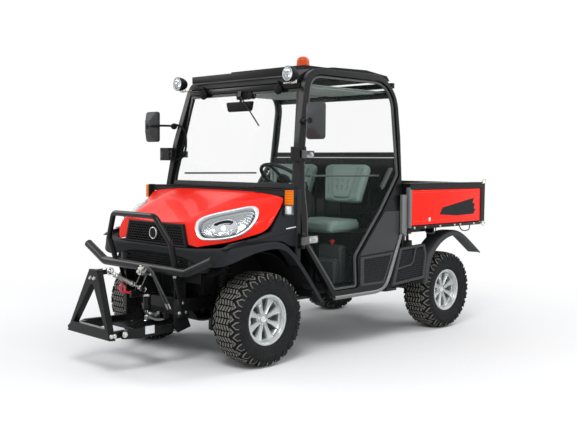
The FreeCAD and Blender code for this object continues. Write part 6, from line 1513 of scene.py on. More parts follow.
class VEHICLE_OT_linkage(bpy.types.Operator):
    """Turnbuckle top link, lift cylinder and fittings, hook, bolts, plate and struts of the linkage"""

    bl_idname = "vehicle.linkage"
    bl_label = "Front linkage"

    def execute(self, context):
        self.top_link()
        self.cylinder()
        self.bolts()
        self.mount()
        return {"FINISHED"}

    def top_link(self):
        rear, front = at(*LINK_REAR), at(*LINK_FRONT)
        along = (front - rear).normalized()
        length = (front - rear).length
        parts = [turned("link_barrel", [
            (0.07, 0.0), (0.07, 0.014), (0.076, 0.017), (0.092, 0.017), (0.096, 0.0145),
            (length - 0.098, 0.0145), (length - 0.094, 0.017), (length - 0.08, 0.017),
            (length - 0.074, 0.014), (length - 0.074, 0.0)], rear, along, 32)]
        for end, way in ((rear, along), (front, -along)):
            parts.append(turned("link_eye", [
                (-0.013, 0.0105), (-0.013, 0.0185), (-0.011, 0.0205), (0.011, 0.0205), (0.013, 0.0185),
                (0.013, 0.0105)], end, (1, 0, 0), 36))
            thread = []
            for step in range(12):
                thread += [(0.02 + step * 0.0045, 0.0095), (0.0222 + step * 0.0045, 0.008)]
            parts.append(turned("link_thread", [(0.016, 0.0)] + thread + [(0.076, 0.0)], end, way, 20))
            parts.append(rod("link_nut", end + way * 0.06, end + way * 0.072, 0.018, 6))
        piece = settled(
            bevelled(joined("turnbuckle", *parts), 0.0006, 1), "top_link", "steel_plated",
            slot="steel_plated")
        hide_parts("top_link")
        pin = rod("link_pin", at(-0.042, *LINK_REAR[1:]), at(0.042, *LINK_REAR[1:]), 0.0085, 24)
        clip = bar("link_clip", [
            at(0.046, -1.539, 0.512), at(0.06, -1.539, 0.505), at(0.06, -1.545, 0.485),
            at(0.046, -1.548, 0.48)], 0.0025)
        settled(joined("link_pin_rear", pin, clip), "chassis", "steel_plated")

    def cylinder(self):
        foot = at(0, -1.49, 0.348)
        body = turned("lift_cylinder_body", [
            (0.0, 0.0118), (0.0, 0.0255), (0.004, 0.027), (0.03, 0.027), (0.034, 0.025), (0.236, 0.025),
            (0.246, 0.02), (0.252, 0.0118)], foot, (0, 0, 1), 40)
        body = dressed(body, "steel_black")
        clamp = dressed(turned("lift_cylinder_clamp", [
            (0.094, 0.0252), (0.094, 0.0285), (0.097, 0.03), (0.107, 0.03), (0.11, 0.0285),
            (0.11, 0.0252)], foot, (0, 0, 1), 40), "steel_plated")
        eye = dressed(turned("lift_cylinder_eye", [
            (-0.013, 0.0105), (-0.013, 0.019), (-0.011, 0.0205), (0.011, 0.0205), (0.013, 0.019),
            (0.013, 0.0105)], at(0, LIFT_ALONG, LIFT_EYE), (1, 0, 0), 32), "steel_black")
        whole = joined("lift_cylinder", body, clamp, eye)
        settled(whole, "lift_cylinder_barrel", slot="steel_black")
        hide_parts("lift_barrel")
        head = [
            block("lift_head", at(0.036, -1.59, 0.6), at(0.068, -1.56, 0.648)),
            rod("lift_head_cap", at(0.052, -1.575, 0.646), at(0.052, -1.575, 0.664), 0.013, 6),
            rod("lift_head_stub", at(0.052, -1.592, 0.622), at(0.052, -1.606, 0.622), 0.012, 6),
            bar("lift_neck", [at(0.052, -1.5, 0.602), at(0.052, -1.566, 0.606)], 0.011, straight=True),
            rod("lift_elbow", at(0.052, -1.5, 0.59), at(0.052, -1.5, 0.616), 0.014, 20),
            rod("lift_pin", at(-0.046, LIFT_ALONG, LIFT_EYE), at(0.046, LIFT_ALONG, LIFT_EYE), 0.0085, 24),
            rod(
                "lift_pin_head", at(0.044, LIFT_ALONG, LIFT_EYE), at(0.062, LIFT_ALONG, LIFT_EYE), 0.015,
                24),
            rod(
                "lift_pin_knob", at(0.062, LIFT_ALONG, LIFT_EYE), at(0.07, LIFT_ALONG, LIFT_EYE), 0.0105,
                24)]
        settled(bevelled(joined("lift_head_fittings", *head), 0.0015, 1), "chassis", "steel_plated")
        clevis = [
            block("rod_clevis", at(-0.0125, -1.503, 0.276), at(0.0125, -1.477, 0.302)),
            rod("rod_nut", at(0, -1.49, 0.301), at(0, -1.49, 0.312), 0.017, 6)]
        settled(bevelled(joined("rod_clevis", *clevis), 0.0015, 1), "lift_cylinder_rod", "steel_plated")

    def bolts(self):
        spots = [
            (at(0.2625, -1.444, 0.256), (1, 0, 0)), (at(0.2625, -1.843, 0.265), (1, 0, 0)),
            (at(-0.2625, -1.444, 0.256), (-1, 0, 0)), (at(-0.2625, -1.843, 0.265), (-1, 0, 0))]
        settled(bolts("arm_bolts", spots, 0.013), "lift_arms")
        plates = block("arm_plate", at(0.2618, -1.69, 0.246), at(0.2632, -1.618, 0.298))
        settled(bevelled(plates, 0.0005, 1), "lift_arms", "lamp_bezel")
        spots = [(at(side * 0.2495, y, 0.262), (side, 0, 0)) for side in (-1, 1) for y in (-1.936, -1.912)]
        spots += [(at(x, -1.927, 0.2815), (0, 0, 1)) for x in (-0.2, -0.11, 0.11, 0.2)]
        spots += [(at(x, -1.916, 0.6), (0, -1, 0)) for x in (-0.022, 0.022)]
        raised = [(place + Vector((0, 0.0015, 0)), way) for place, way in spots]
        settled(bolts("coupler_bolts", raised, 0.0095), "coupler")
        ring = [
            rod("coupler_pin", at(-0.05, *LINK_FRONT[1:]), at(0.05, *LINK_FRONT[1:]), 0.0085, 24),
            turned(
                "coupler_ring", [(-0.004, 0.019), (-0.004, 0.026), (0.004, 0.026), (0.004, 0.019)],
                at(0.052, *LINK_FRONT[1:]), (1, 0, 0), 32)]
        settled(joined("coupler_pin", *ring), "coupler", "steel_plated")

    def mount(self):
        parts = []
        for side in (-1, 1):
            strut = plate("mount_strut", side_line(
                side * 0.3, (-1.512, 0.622), (-1.482, 0.618), (-1.398, 0.345),
                (-1.43, 0.34)), (side * 0.008, 0, 0))
            parts.append(strut)
            parts.append(block(
                "mount_box", at(side * 0.292 - 0.02, -1.47, 0.33), at(side * 0.292 + 0.012, -1.372, 0.452)))
        parts.append(block("mount_shelf", at(-0.272, -1.452, 0.446), at(0.272, -1.392, 0.456)))
        settled(bevelled(joined("mount_plates", *parts), 0.002, 2), "chassis", "steel_black")
        spots = []
        for side in (-1, 1):
            for y, z in ((-1.425, 0.425), (-1.4, 0.36), (-1.45, 0.36)):
                spots.append((at(side * 0.3045, y, z), (side, 0, 0)))
            spots.append((at(side * 0.3085, -1.492, 0.604), (side, 0, 0)))
        settled(bolts("mount_bolts", spots, 0.0085), "chassis")
        hook = bar("red_hook", side_line(
            -0.03, (-1.6, 0.47), (-1.628, 0.48), (-1.668, 0.486), (-1.69, 0.505), (-1.684, 0.532),
            (-1.66, 0.536), (-1.652, 0.52)), 0.0075)
        latch = bar("hook_latch", side_line(-0.03, (-1.655, 0.532), (-1.64, 0.512), (-1.648, 0.49)), 0.004)
        settled(joined("red_hook", hook, latch), "chassis", "hook_red")
        stay = block("hook_stay", at(-0.042, -1.604, 0.44), at(-0.018, -1.462, 0.484))
        settled(bevelled(stay, 0.003, 1), "chassis", "steel_black")


# Roof and lamps


class VEHICLE_OT_roof(bpy.types.Operator):
    """Roof mouldings, headliner, rails, latches, lamps, beacon, inner mirror, grab handle, wiper motor"""

    bl_idname = "vehicle.roof"
    bl_label = "Roof"

    def execute(self, context):
        ribs = [block(
            "roof_rib", at(column * 0.11 - 0.034, -0.385, 2.0575),
            at(column * 0.11 + 0.034, 0.225, 2.0612)) for column in range(-3, 4)]
        ribs.append(block("roof_lip", at(-0.56, -0.664, 1.96), at(0.56, -0.65, 2.01)))
        settled(bevelled(joined("roof_ribs", *ribs), 0.006, 2), "chassis", "roof_black")
        liner = [block("headliner", at(-0.56, -0.61, 1.896), at(0.56, 0.335, 1.9045))]
        for side in (-1, 1):
            liner.append(block(
                "headliner_pad", at(side * 0.29 - 0.22, -0.52, 1.884), at(side * 0.29 + 0.22, 0.26, 1.898)))
        settled(bevelled(joined("headliner", *liner), 0.006, 3), "chassis", "lining")
        rail = [
            block("rear_rail", at(-0.6, 0.33, 1.852), at(0.6, 0.356, 1.915)),
            block("rear_rail_box", at(-0.07, 0.296, 1.866), at(0.07, 0.334, 1.904)),
            block("front_rail", at(-0.6, -0.655, 1.866), at(0.6, -0.632, 1.905))]
        settled(bevelled(joined("roof_rails", *rail), 0.006, 2), "chassis", "frame_black")
        discs = []
        for side in (-1, 1):
            discs.append(turned("roof_latch", [
                (-0.03, 0.0), (-0.03, 0.018), (-0.008, 0.022), (-0.006, 0.034), (0.006, 0.036),
                (0.012, 0.032), (0.012, 0.024), (0.016, 0.022),
                (0.016, 0.0)], at(side * 0.411, -0.668, 1.864), (0, -1, -0.12), 36))
            discs.append(block(
                "roof_latch_stem", at(side * 0.411 - 0.008, -0.676, 1.88),
                at(side * 0.411 + 0.008, -0.655, 1.925)))
        settled(bevelled(joined("roof_latches", *discs), 0.001, 1), "chassis", "trim_black")
        self.work_lamps()
        self.beacon()
        inner = block("inner_mirror", at(-0.155, -0.67, 1.724), at(0.14, -0.64, 1.796))
        for corner in inner.data.vertices:
            if corner.co.z < 1.76:
                corner.co.x *= 0.86
        bevelled(inner, 0.014, 4)
        stem = rod("inner_mirror_stem", at(-0.005, -0.65, 1.79), at(-0.005, -0.64, 1.88), 0.009, 16)
        glass = slab("inner_mirror_glass", at(-0.125, -0.641, 1.732), at(0.11, -0.637, 1.788), 0.006, 2)
        settled(joined(
            "inner_mirror", dressed(inner, "trim_black"), dressed(stem, "trim_black"),
            dressed(glass, "reflector")), "chassis", angle=45)
        grip = bar("grab_handle", [
            at(-0.668, -0.735, 1.64), at(-0.61, -0.715, 1.625), at(-0.59, -0.7, 1.56),
            at(-0.59, -0.7, 1.44), at(-0.615, -0.715, 1.375), at(-0.676, -0.745, 1.36)], 0.0095)
        settled(grip, "chassis", "trim_black")
        motor = [
            slab("wiper_motor", at(-0.06, -0.65, 1.812), at(0.06, -0.6, 1.88), 0.012, 3),
            rod("wiper_gear", at(0.09, -0.65, 1.842), at(0.09, -0.606, 1.842), 0.028, 28)]
        settled(joined("wiper_motor", *motor), "chassis", "trim_black")
        return {"FINISHED"}

    def work_lamps(self):
        for side, word in SIDES:
            centre = at(side * 0.606, -0.733, 1.953)
            ahead = Vector((0, -1, 0))
            parts = [
                dressed(turned("lamp_can", [
                    (-0.041, 0.0), (-0.041, 0.026), (-0.034, 0.034), (-0.01, 0.046), (0.02, 0.0515),
                    (0.041, 0.052), (0.041, 0.0475), (0.022, 0.047), (-0.02, 0.036),
                    (-0.03, 0.0)], centre, ahead, 48), "trim_black"),
                dressed(turned("lamp_dish", [
                    (0.03, 0.047), (0.012, 0.0425), (-0.006, 0.032), (-0.016, 0.017), (-0.018, 0.0),
                    (-0.022, 0.0), (-0.01, 0.034), (0.01, 0.045)], centre, ahead, 48), "reflector"),
                dressed(turned("lamp_ring", [
                    (0.034, 0.044), (0.034, 0.048), (0.0405, 0.048),
                    (0.0405, 0.044)], centre, ahead, 48), "lamp_bezel"),
                dressed(turned("lamp_bulb", [
                    (-0.016, 0.0), (-0.016, 0.01), (0.006, 0.01),
                    (0.012, 0.0)], centre, ahead, 20), "bulb_glow")]
            lens = dressed(turned("lamp_glass", [
                (0.033, 0.045), (0.037, 0.03), (0.0395, 0.0), (0.0375, 0.0), (0.035, 0.03),
                (0.0315, 0.045)], centre, ahead, 48), "lamp_clear")
            foot = bar("lamp_bracket", [
                centre + Vector((0.03, 0.012, -0.04)), centre + Vector((0.03, 0.014, -0.058)),
                centre + Vector((-0.03, 0.014, -0.058)),
                centre + Vector((-0.03, 0.012, -0.04))], 0.006, straight=True)
            tab = block(
                "lamp_tab", centre + Vector((-side * 0.052 - 0.03, 0.002, -0.06)),
                centre + Vector((-side * 0.052 + 0.03, 0.09, -0.054)))
            nut = rod(
                "lamp_nut", centre + Vector((0, 0.014, -0.064)), centre + Vector((0, 0.014, -0.048)), 0.013,
                6)
            parts.append(dressed(bevelled(joined(
                "lamp_bracket", foot, tab, nut), 0.001, 1), "steel_plated"))
            can = settled(joined("work_lamp_" + word, *parts), "chassis", angle=40)
            settled(lens, "chassis", angle=60, slot="lamp_clear").name = "work_lamp_glass_" + word
            if side > 0:
                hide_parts("work_lamps")

    def beacon(self):
        foot = at(*BEACON_FOOT)
        base = dressed(turned("beacon_base", [
            (0.0, 0.0), (0.0, 0.062), (0.008, 0.062), (0.012, 0.058), (0.028, 0.056), (0.034, 0.0585),
            (0.038, 0.0585), (0.04, 0.05), (0.04, 0.0)], foot, (0, 0, 1), 48), "trim_black")
        dome = [(0.038, 0.0)]
        for step in range(9):
            dome += [
                (0.038 + step * 0.007, 0.0535 - step * 0.0006),
                (0.0412 + step * 0.007, 0.0548 - step * 0.0006)]
        for step in range(7):
            angle = math.radians(15 * step)
            dome.append((0.0985 + 0.031 * math.sin(angle), 0.048 * math.cos(angle)))
        lens = dressed(turned("beacon_dome", dome, foot, (0, 0, 1), 48), "beacon_amber")
        piece = settled(joined("beacon_lamp", base, lens), "chassis", angle=40)
        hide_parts("beacon")


class VEHICLE_OT_mirrors(bpy.types.Operator):
    """Outer mirrors with their ball arms, signal lamps in amber over clear, and tail lamps"""

    bl_idname = "vehicle.mirrors"
    bl_label = "Mirrors and signals"

    def execute(self, context):
        centre = at(0.896, -0.815, 1.627)
        loops = [
            [centre + Vector((px * share, y, pz * share)) for px, pz in self.rounded_outline(
                0.075, 0.12, 0.02)]
            for y, share in (
                (0.035, 0.93), (0.035, 1.0), (0.012, 1.0), (0.004, 0.965), (-0.026, 0.52), (-0.034, 0.42),
                (-0.035, 0.2))]
        shell = banded("mirror_shell", loops, capped=True)
        shell = dressed(bevelled(shell, 0.003, 2), "painted_light_charcoal")
        glass = plate("mirror_glass", [
            centre + Vector((px * 0.93, 0.031, pz * 0.93))
            for px, pz in self.rounded_outline(0.075, 0.12, 0.02)], (0, 0.002, 0))
        glass = dressed(glass, "reflector")
        arm = [
            bar("mirror_arm", [
                centre + Vector((0, -0.028, 0)), centre + Vector((-0.06, -0.03, 0.006)),
                at(0.745, -0.752, 1.636), at(0.7, -0.722, 1.63)], 0.0085),
            turned("mirror_ball", [
                (-0.02, 0.0), (-0.02, 0.016), (-0.01, 0.024), (0.01, 0.024), (0.02, 0.016),
                (0.02, 0.0)], at(0.712, -0.724, 1.63), (1, 0.3, 0), 28),
            rod(
                "mirror_socket", centre + Vector((0, -0.022, 0)), centre + Vector((0, -0.037, 0)), 0.02,
                28)]
        arm = dressed(joined("mirror_arm", *arm), "trim_black")
        whole = both_sides(joined("mirror_units", shell, glass, arm))
        settled(whole, "chassis", angle=40, slot="steel_black")
        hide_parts("mirrors")
        self.signals()
        self.tails()
        return {"FINISHED"}

    def rounded_outline(self, half, tall, corner):
        points = []
        for turn, (sx, sz) in enumerate(((1, 1), (-1, 1), (-1, -1), (1, -1))):
            for step in range(4):
                angle = math.radians(turn * 90 + step * 30)
                points.append((
                    sx * (half - corner) + corner * math.cos(angle),
                    sz * (tall - corner) + corner * math.sin(angle)))
        return points

    def signals(self):
        base = block("signal_base", at(0.742, -0.94, 1.005), at(0.756, -0.884, 1.176))
        base = dressed(bevelled(base, 0.003, 2), "trim_black")
        amber = block("signal_amber", at(0.754, -0.936, 1.074), at(0.7945, -0.888, 1.172))
        clear_part = block("signal_clear", at(0.754, -0.936, 1.009), at(0.793, -0.888, 1.072))
        inner = block("signal_inner", at(0.754, -0.93, 1.014), at(0.78, -0.894, 1.068))
        amber = dressed(bevelled(amber, 0.005, 3), "lamp_amber")
        clear_part = bevelled(clear_part, 0.005, 3)
        inner = dressed(bevelled(inner, 0.004, 2), "lamp_bezel")
        ribs = []
        for row in range(5):
            z = 1.086 + row * 0.018
            ribs.append(block("signal_rib", at(0.794, -0.932, z), at(0.7958, -0.892, z + 0.006)))
        ribs = dressed(bevelled(joined("signal_ribs", *ribs), 0.0007, 1), "lamp_amber")
        whole = both_sides(joined("signal_units", base, amber, inner, ribs))
        settled(whole, "chassis", slot="lamp_amber")
        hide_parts("signal_lamps")
        settled(both_sides(dressed(clear_part, "lamp_clear")), "chassis", slot="lamp_clear")

    def tails(self):
        case = dressed(slab(
            "tail_case", at(0.276, 1.3, 0.672), at(0.344, 1.328, 0.792), 0.004, 2), "trim_black")
        red = dressed(slab(
            "tail_red", at(0.281, 1.322, 0.716), at(0.339, 1.333, 0.786), 0.004, 2), "lamp_red")
        amber = dressed(slab(
            "tail_amber", at(0.281, 1.322, 0.678), at(0.339, 1.332, 0.712), 0.004, 2), "lamp_amber")
        settled(both_sides(joined("tail_lamps", case, red, amber)), "chassis")


# Doors


DOOR_OUT, DOOR_LEAN, DOOR_WAIST = 0.728, 0.117, 1.0


def door_face(up):
    """How far out a door stands at a height: upright up to its waist, and leaning in above."""
    return DOOR_OUT - DOOR_LEAN * max(0.0, up - DOOR_WAIST)


class VEHICLE_OT_doors(bpy.types.Operator):
    """Hinge bolts, hinge pins and covers, and ribbed pull handles of the two doors"""

    bl_idname = "vehicle.doors"
    bl_label = "Doors"

    def execute(self, context):
        for side, word in SIDES:
            body = "door_" + word
            spots = [
                (at(side * face, y, z), (side, 0, 0)) for z, face in ((0.83, 0.7465), (1.41, 0.6995))
                for y in (-0.692, -0.628)]
            settled(bolts("door_hinge_bolts_" + word, spots, 0.0115, "reflector"), body)
            pins = []
            for z, face in ((0.83, 0.7464), (1.41, 0.6992)):
                lean = 0.0 if z < DOOR_WAIST else DOOR_LEAN
                outline = [at(side * (face - lean * (up - z)), y, up) for y, up in (
                    (-0.772, z - 0.023), (-0.616, z - 0.023), (-0.603, z - 0.012), (-0.603, z + 0.012),
                    (-0.616, z + 0.023), (-0.772, z + 0.023))]
                pins.append(plate("hinge_cover", outline, (side * 0.0018, 0, 0)))
                centre = at(side * 0.785, -0.79, z)
                pins.append(rod(
                    "hinge_pin", centre - Vector((0, 0, 0.03)), centre + Vector((0, 0, 0.03)), 0.0085, 20))
            settled(bevelled(joined("door_hinge_pins_" + word, *pins), 0.0005, 1), body, "satin_silver")
            start, end = Vector((0.0, 0.184, 1.186)), Vector((0.0, 0.268, 1.304))
            pull = []
            for step in range(11):
                share = step / 10
                place = start.lerp(end, share)
                x = door_face(place.z) - 0.026
                out = 0.01 * math.sin(math.pi * share)
                centre = at(side * (x - out), place.y, place.z)
                along = (end - start).normalized()
                pull.append(rod(
                    "pull_rib", centre - along * 0.004, centre + along * 0.004,
                    0.0125 if step % 2 else 0.0105, 20))
            grip = bar("pull_core", [
                at(side * (door_face(start.z) - 0.02), start.y, start.z),
                at(side * (door_face(1.245) - 0.04), 0.226, 1.245),
                at(side * (door_face(end.z) - 0.02), end.y, end.z)], 0.0085)
            ribs = dressed(joined("pull_ribs", *pull[::2]), "satin_silver")
            core = dressed(joined("pull_core", grip, *pull[1::2]), "trim_black")
            settled(joined("door_pull_" + word, core, ribs), body)
        return {"FINISHED"}


# Load bed


class VEHICLE_OT_bed(bpy.types.Operator):
    """Pressed bed sides with their wedge, rails, posts, loops, latches, inner ribs and tailgate pressing"""

    bl_idname = "vehicle.bed"
    bl_label = "Load bed"

    def execute(self, context):
        self.sides()
        self.rails()
        self.inside()
        self.gate()
        return {"FINISHED"}

    def sides(self):
        panel = block("bed_side", at(0.763, 0.372, 0.88), at(0.799, 1.338, 1.154))
        for corner in panel.data.vertices:
            if corner.co.y > MIDDLE_Y + 1.0 and corner.co.z > 1.0:
                corner.co.y -= 0.004
        bevelled(panel, 0.006, 3)
        lines = [slab(
            "bed_side_fold", at(0.7975, 0.395, z), at(0.801, 1.318, z + 0.006), 0.001,
            1) for z in (0.905, 1.128)]
        for y in (0.385, 1.322):
            lines.append(slab("bed_side_fold", at(0.7975, y, 0.9), at(0.801, y + 0.006, 1.134), 0.001, 1))
        whole = both_sides(joined("bed_side_pressings", panel, *lines))
        settled(whole, "bed", "body_red", slot="body_red")
        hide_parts("bed_side_panels")
        wedge = side_line(
            0.7992, (0.75, 0.955), (0.79, 1.008), (1.235, 1.075), (1.215, 1.032), (1.25, 1.03),
            (1.235, 0.985), (1.262, 0.983), (1.235, 0.944), (0.985, 0.938))
        settled(both_sides(plate("bed_wedge", wedge, (0.001, 0, 0))), "bed", "body_charcoal")
        marks = slab("bed_marker", at(0.7992, 0.605, 0.903), at(0.8004, 0.63, 0.935), 0.0004, 1)
        settled(both_sides(marks), "bed", "marker_white")

    def rails(self):
        parts = [
            block("bed_rail_top", at(0.728, 0.358, 1.196), at(0.802, 1.372, 1.2055)),
            block("bed_rail_face", at(0.79, 0.361, 1.16), at(0.8018, 1.345, 1.198)),
            block("bed_rail_low", at(0.776, 0.37, 0.85), at(0.801, 1.345, 0.874)),
            block("bed_post_rear", at(0.768, 1.342, 0.862), at(0.8018, 1.374, 1.2))]
        posts = dressed(slab(
            "bed_post_front", at(0.764, 0.358, 0.862), at(0.8018, 0.384, 1.172), 0.003, 2), "steel_grey")
        rails = dressed(bevelled(joined("bed_rails", *parts), 0.003, 2), "frame_black")
        settled(both_sides(joined("bed_rails", rails, posts)), "bed")
        loops = [bar("tie_loop", [
            at(0.79, y - 0.075, 0.852), at(0.798, y - 0.068, 0.815), at(0.8, y, 0.806),
            at(0.798, y + 0.068, 0.815), at(0.79, y + 0.075, 0.852)], 0.0045) for y in (0.64, 1.12)]
        for z, way in ((0.872, -1), (1.196, 1)):
            loops.append(bar("gate_latch", [
                at(0.795, 1.33, z), at(0.7995, 1.37, z), at(0.8, 1.404, z + way * 0.002),
                at(0.8, 1.412, z + way * 0.02), at(0.7995, 1.402, z + way * 0.034),
                at(0.797, 1.372, z + way * 0.03), at(0.797, 1.36, z + way * 0.014)], 0.0048))
        dark = dressed(joined("tie_loops", *loops[:2]), "steel_black")
        bright = dressed(joined("gate_latches", *loops[2:]), "steel_plated")
        settled(both_sides(joined("bed_wires", dark, bright)), "bed")
        spots = [(at(0.8012, y, 0.862), (1, 0, 0)) for y in (0.42, 0.56, 0.76, 0.96, 1.04, 1.24)]
        settled(both_sides(bolts("bed_bolts", spots, 0.0065)), "bed")

    def inside(self):
        ribs = []
        for row in range(9):
            y = 0.43 + row * 0.108
            ribs.append(block("floor_rib", at(-0.7, y, 0.8795), at(0.7, y + 0.05, 0.8845)))
        for column in range(-2, 3):
            x = column * 0.27
            ribs.append(block("front_rib", at(x - 0.08, 0.3905, 0.93), at(x + 0.08, 0.3945, 1.15)))
        for row in range(4):
            y = 0.48 + row * 0.225
            for side in (-1, 1):
                ribs.append(block(
                    "wall_rib", at(side * 0.73 - 0.0025, y, 0.93),
                    at(side * 0.73 + 0.0025, y + 0.13, 1.15)))
        settled(bevelled(joined("bed_pressings", *ribs), 0.0022, 2), "bed", "frame_black")

    def gate(self):
        ribs = []
        for column in range(-3, 4):
            x = column * 0.21
            ribs.append(block("gate_panel", at(x - 0.08, 1.4085, 0.915), at(x + 0.08, 1.4135, 1.15)))
        ribs.append(block("gate_top", at(-0.794, 1.376, 1.186), at(0.794, 1.414, 1.199)))
        settled(bevelled(joined("gate_pressings", *ribs), 0.003, 2), "tailgate", "frame_black")
        handle = bar("gate_handle", [
            at(-0.08, 1.412, 1.155), at(-0.08, 1.43, 1.155), at(0.08, 1.43, 1.155),
            at(0.08, 1.412, 1.155)], 0.006, straight=True)
        settled(handle, "tailgate", "steel_plated")


# Cabin and running gear


class VEHICLE_OT_cabin(bpy.types.Operator):
    """Instrument pod, dash panel, console, lever boxes, mats, knob, steering wheel hub and wall bolts"""

    bl_idname = "vehicle.cabin"
    bl_label = "Cabin"

    def execute(self, context):
        pod = block("pod", at(0.2, -0.735, 1.15), at(0.49, -0.56, 1.212))
        for corner in pod.data.vertices:
            if corner.co.z > 1.18:
                corner.co.x = 0.345 + (corner.co.x - 0.345) * 0.72
                corner.co.y += 0.012 if corner.co.y < MIDDLE_Y - 0.6 else -0.02
        bevelled(pod, 0.02, 4)
        face = slab("pod_face", at(0.262, -0.582, 1.16), at(0.428, -0.566, 1.196), 0.006, 2)
        dials = [turned("dial", [
            (0.0, 0.0), (0.0, 0.022), (0.004, 0.024), (0.008, 0.022), (0.008, 0.018), (0.005, 0.017),
            (0.005, 0.0)], at(x, -0.57, 1.176), (0, 1, 0.25), 32) for x in (0.3, 0.39)]
        panel = [slab("dash_face", at(-0.11, -0.545, 0.96), at(0.15, -0.526, 1.14), 0.01, 3)]
        for x in (-0.075, -0.025, 0.025, 0.075, 0.12):
            panel.append(slab(
                "dash_switch", at(x - 0.014, -0.53, 1.092), at(x + 0.014, -0.518, 1.122), 0.003, 2))
        panel.append(slab("dash_bin", at(-0.56, -0.545, 0.985), at(-0.18, -0.528, 1.11), 0.012, 3))
        pieces = [
            dressed(joined("instrument_pod", pod), "trim_black"), dressed(face, "dial_black_and_painted_shade"),
            dressed(joined("dials", *dials), "lamp_bezel"),
            dressed(joined("dash_face", *panel), "body_charcoal")]
        settled(joined("dash_fittings", *pieces), "chassis")
        console = slab("console", at(0.03, -0.1, 0.44), at(0.088, 0.1, 0.9), 0.014, 3)
        box = slab("lever_box", at(0.34, -0.165, 0.455), at(0.565, -0.092, 0.742), 0.022, 4)
        step = slab("lever_step", at(0.365, -0.23, 0.455), at(0.565, -0.15, 0.64), 0.022, 4)
        settled(joined("lever_boxes", box, step), "chassis", "painted_light_charcoal")
        gate = slab("console_gate", at(0.036, -0.104, 0.76), at(0.082, -0.094, 0.88), 0.004, 2)
        settled(joined(
            "console", dressed(console, "painted_light_charcoal"), dressed(gate, "body_charcoal")), "chassis")
        mats = [block(
            "mat", at(side * 0.38 - 0.31, -0.6, 0.45),
            at(side * 0.38 + 0.31, -0.11, 0.4575)) for side in (-1, 1)]
        settled(bevelled(joined("floor_mats", *mats), 0.003, 2), "chassis", "mat")
        knob = turned("red_knob", [
            (-0.016, 0.0), (-0.016, 0.008), (-0.01, 0.015), (0.0, 0.018), (0.01, 0.015),
            (0.017, 0.0)], at(0.45, -0.128, 0.768), (0, -0.3, 1), 32)
        stem = rod("red_knob_stem", at(0.45, -0.126, 0.735), at(0.45, -0.128, 0.756), 0.006, 16)
        settled(joined("red_knob", knob, stem), "chassis", "hook_red")
        tilt = math.radians(35)
        axis = Vector((0, math.sin(tilt), math.cos(tilt)))
        centre = at(0.345, -0.54, 1.235)
        hub = turned("wheel_hub", [
            (-0.03, 0.0), (-0.03, 0.04), (0.004, 0.048), (0.014, 0.042), (0.018, 0.03),
            (0.018, 0.0)], centre - axis * 0.012, axis, 40)
        settled(bevelled(hub, 0.001, 1), "steering_wheel", "trim_black", angle=50)
        spots = [(at(x, 0.3245, z), (0, -1, 0)) for x in (-0.56, -0.3, 0.0, 0.3, 0.56) for z in (0.9, 1.16)]
        settled(bolts("rear_wall_bolts", spots, 0.008), "chassis")
        return {"FINISHED"}


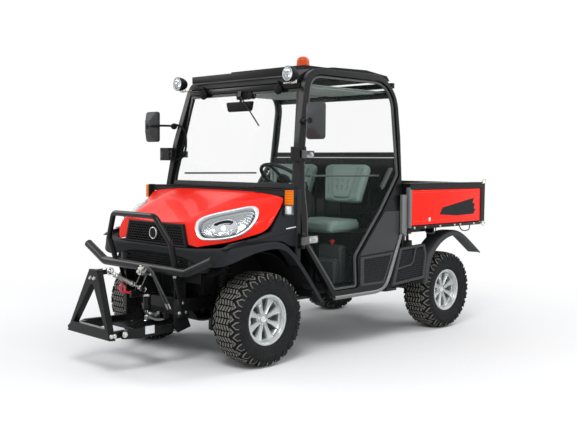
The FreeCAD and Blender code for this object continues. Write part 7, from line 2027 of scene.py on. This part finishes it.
class VEHICLE_OT_running_gear(bpy.types.Operator):
    """Coil springs with their seats, pleated boots over the shafts, and the end caps of the bumper tube"""

    bl_idname = "vehicle.running_gear"
    bl_label = "Running gear"

    def execute(self, context):
        springs = []
        for side in (-1, 1):
            low, high = at(side * 0.36, -1.1075, 0.38), at(side * 0.338, -1.09, 0.69)
            springs.append(self.coil(low, high, 0.046, 0.0062, 7))
            for end, way in ((low, -1), (high, 1)):
                along = (high - low).normalized()
                springs.append(turned(
                    "spring_seat", [(0.0, 0.0), (0.0, 0.052), (0.006, 0.052), (0.008, 0.0)],
                    end + along * (0.002 * way), along * way, 32))
        settled(joined("coil_springs", *springs), "chassis", "steel_black", angle=50)
        boots = []
        for y in (-WHEEL_ALONG, WHEEL_ALONG):
            for side in (-1, 1):
                profile = [(0.0, 0.0)]
                for step in range(5):
                    radius = 0.041 + 0.008 * (1 - step / 4)
                    profile += [(0.004 + step * 0.013, radius * 0.86), (0.0105 + step * 0.013, radius)]
                profile += [(0.07, 0.03), (0.072, 0.0)]
                boots.append(turned("boot", profile, at(side * 0.128, y, WHEEL_HEIGHT), (side, 0, 0), 36))
        settled(joined("shaft_boots", *boots), "chassis", "tyre_rubber", angle=40)
        caps = []
        for side in (-1, 1):
            way = Vector((side * 0.92, 0.08, 0.38)).normalized()
            caps.append(turned("tube_cap", [
                (-0.006, 0.0), (-0.006, 0.0305), (0.002, 0.0305), (0.006, 0.024),
                (0.007, 0.0)], at(side * 0.712, -1.5, 0.746), way, 32))
        settled(joined("bumper_caps", *caps), "chassis", "trim_black", angle=50)
        return {"FINISHED"}

    def coil(self, low, high, radius, thick, turns):
        along = (high - low).normalized()
        side = along.orthogonal().normalized()
        across = along.cross(side)
        points = []
        steps = turns * 10
        for step in range(steps + 1):
            angle = math.tau * turns * step / steps
            place = low.lerp(high, step / steps)
            points.append(place + side * radius * math.cos(angle) + across * radius * math.sin(angle))
        return bar("coil_spring", points, thick, sides=2)


# The add-on

STEPS = (
    VEHICLE_OT_stage, VEHICLE_OT_finishes, VEHICLE_OT_hoses, VEHICLE_OT_tyres, VEHICLE_OT_rims,
    VEHICLE_OT_hood, VEHICLE_OT_headlamps, VEHICLE_OT_grille, VEHICLE_OT_seats, VEHICLE_OT_mouldings,
    VEHICLE_OT_sides, VEHICLE_OT_linkage, VEHICLE_OT_roof, VEHICLE_OT_mirrors, VEHICLE_OT_doors,
    VEHICLE_OT_bed, VEHICLE_OT_cabin, VEHICLE_OT_running_gear)


class VEHICLE_PT_sidebar(bpy.types.Panel):
    bl_idname = "VEHICLE_PT_sidebar"
    bl_label = "Side By Side Vehicle"
    bl_space_type = "VIEW_3D"
    bl_region_type = "UI"
    bl_category = "Vehicle"

    def draw(self, context):
        for group in (context.scene.vehicle_sizes, context.scene.vehicle_colours):
            for key in group.__annotations__:
                self.layout.prop(group, key)
        for step in STEPS:
            self.layout.operator(step.bl_idname)


CLASSES = (VehicleSizes, VehicleColours, *STEPS, VEHICLE_PT_sidebar)


def register():
    for made in CLASSES:
        bpy.utils.register_class(made)
    bpy.types.Scene.vehicle_sizes = bpy.props.PointerProperty(type=VehicleSizes)
    bpy.types.Scene.vehicle_colours = bpy.props.PointerProperty(type=VehicleColours)


def unregister():
    del bpy.types.Scene.vehicle_colours
    del bpy.types.Scene.vehicle_sizes
    for made in reversed(CLASSES):
        bpy.utils.unregister_class(made)


def main():
    register()
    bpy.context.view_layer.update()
    for step in STEPS:
        area, action = step.bl_idname.split(".")
        getattr(getattr(bpy.ops, area), action)()


if __name__ == "__main__":
    main()
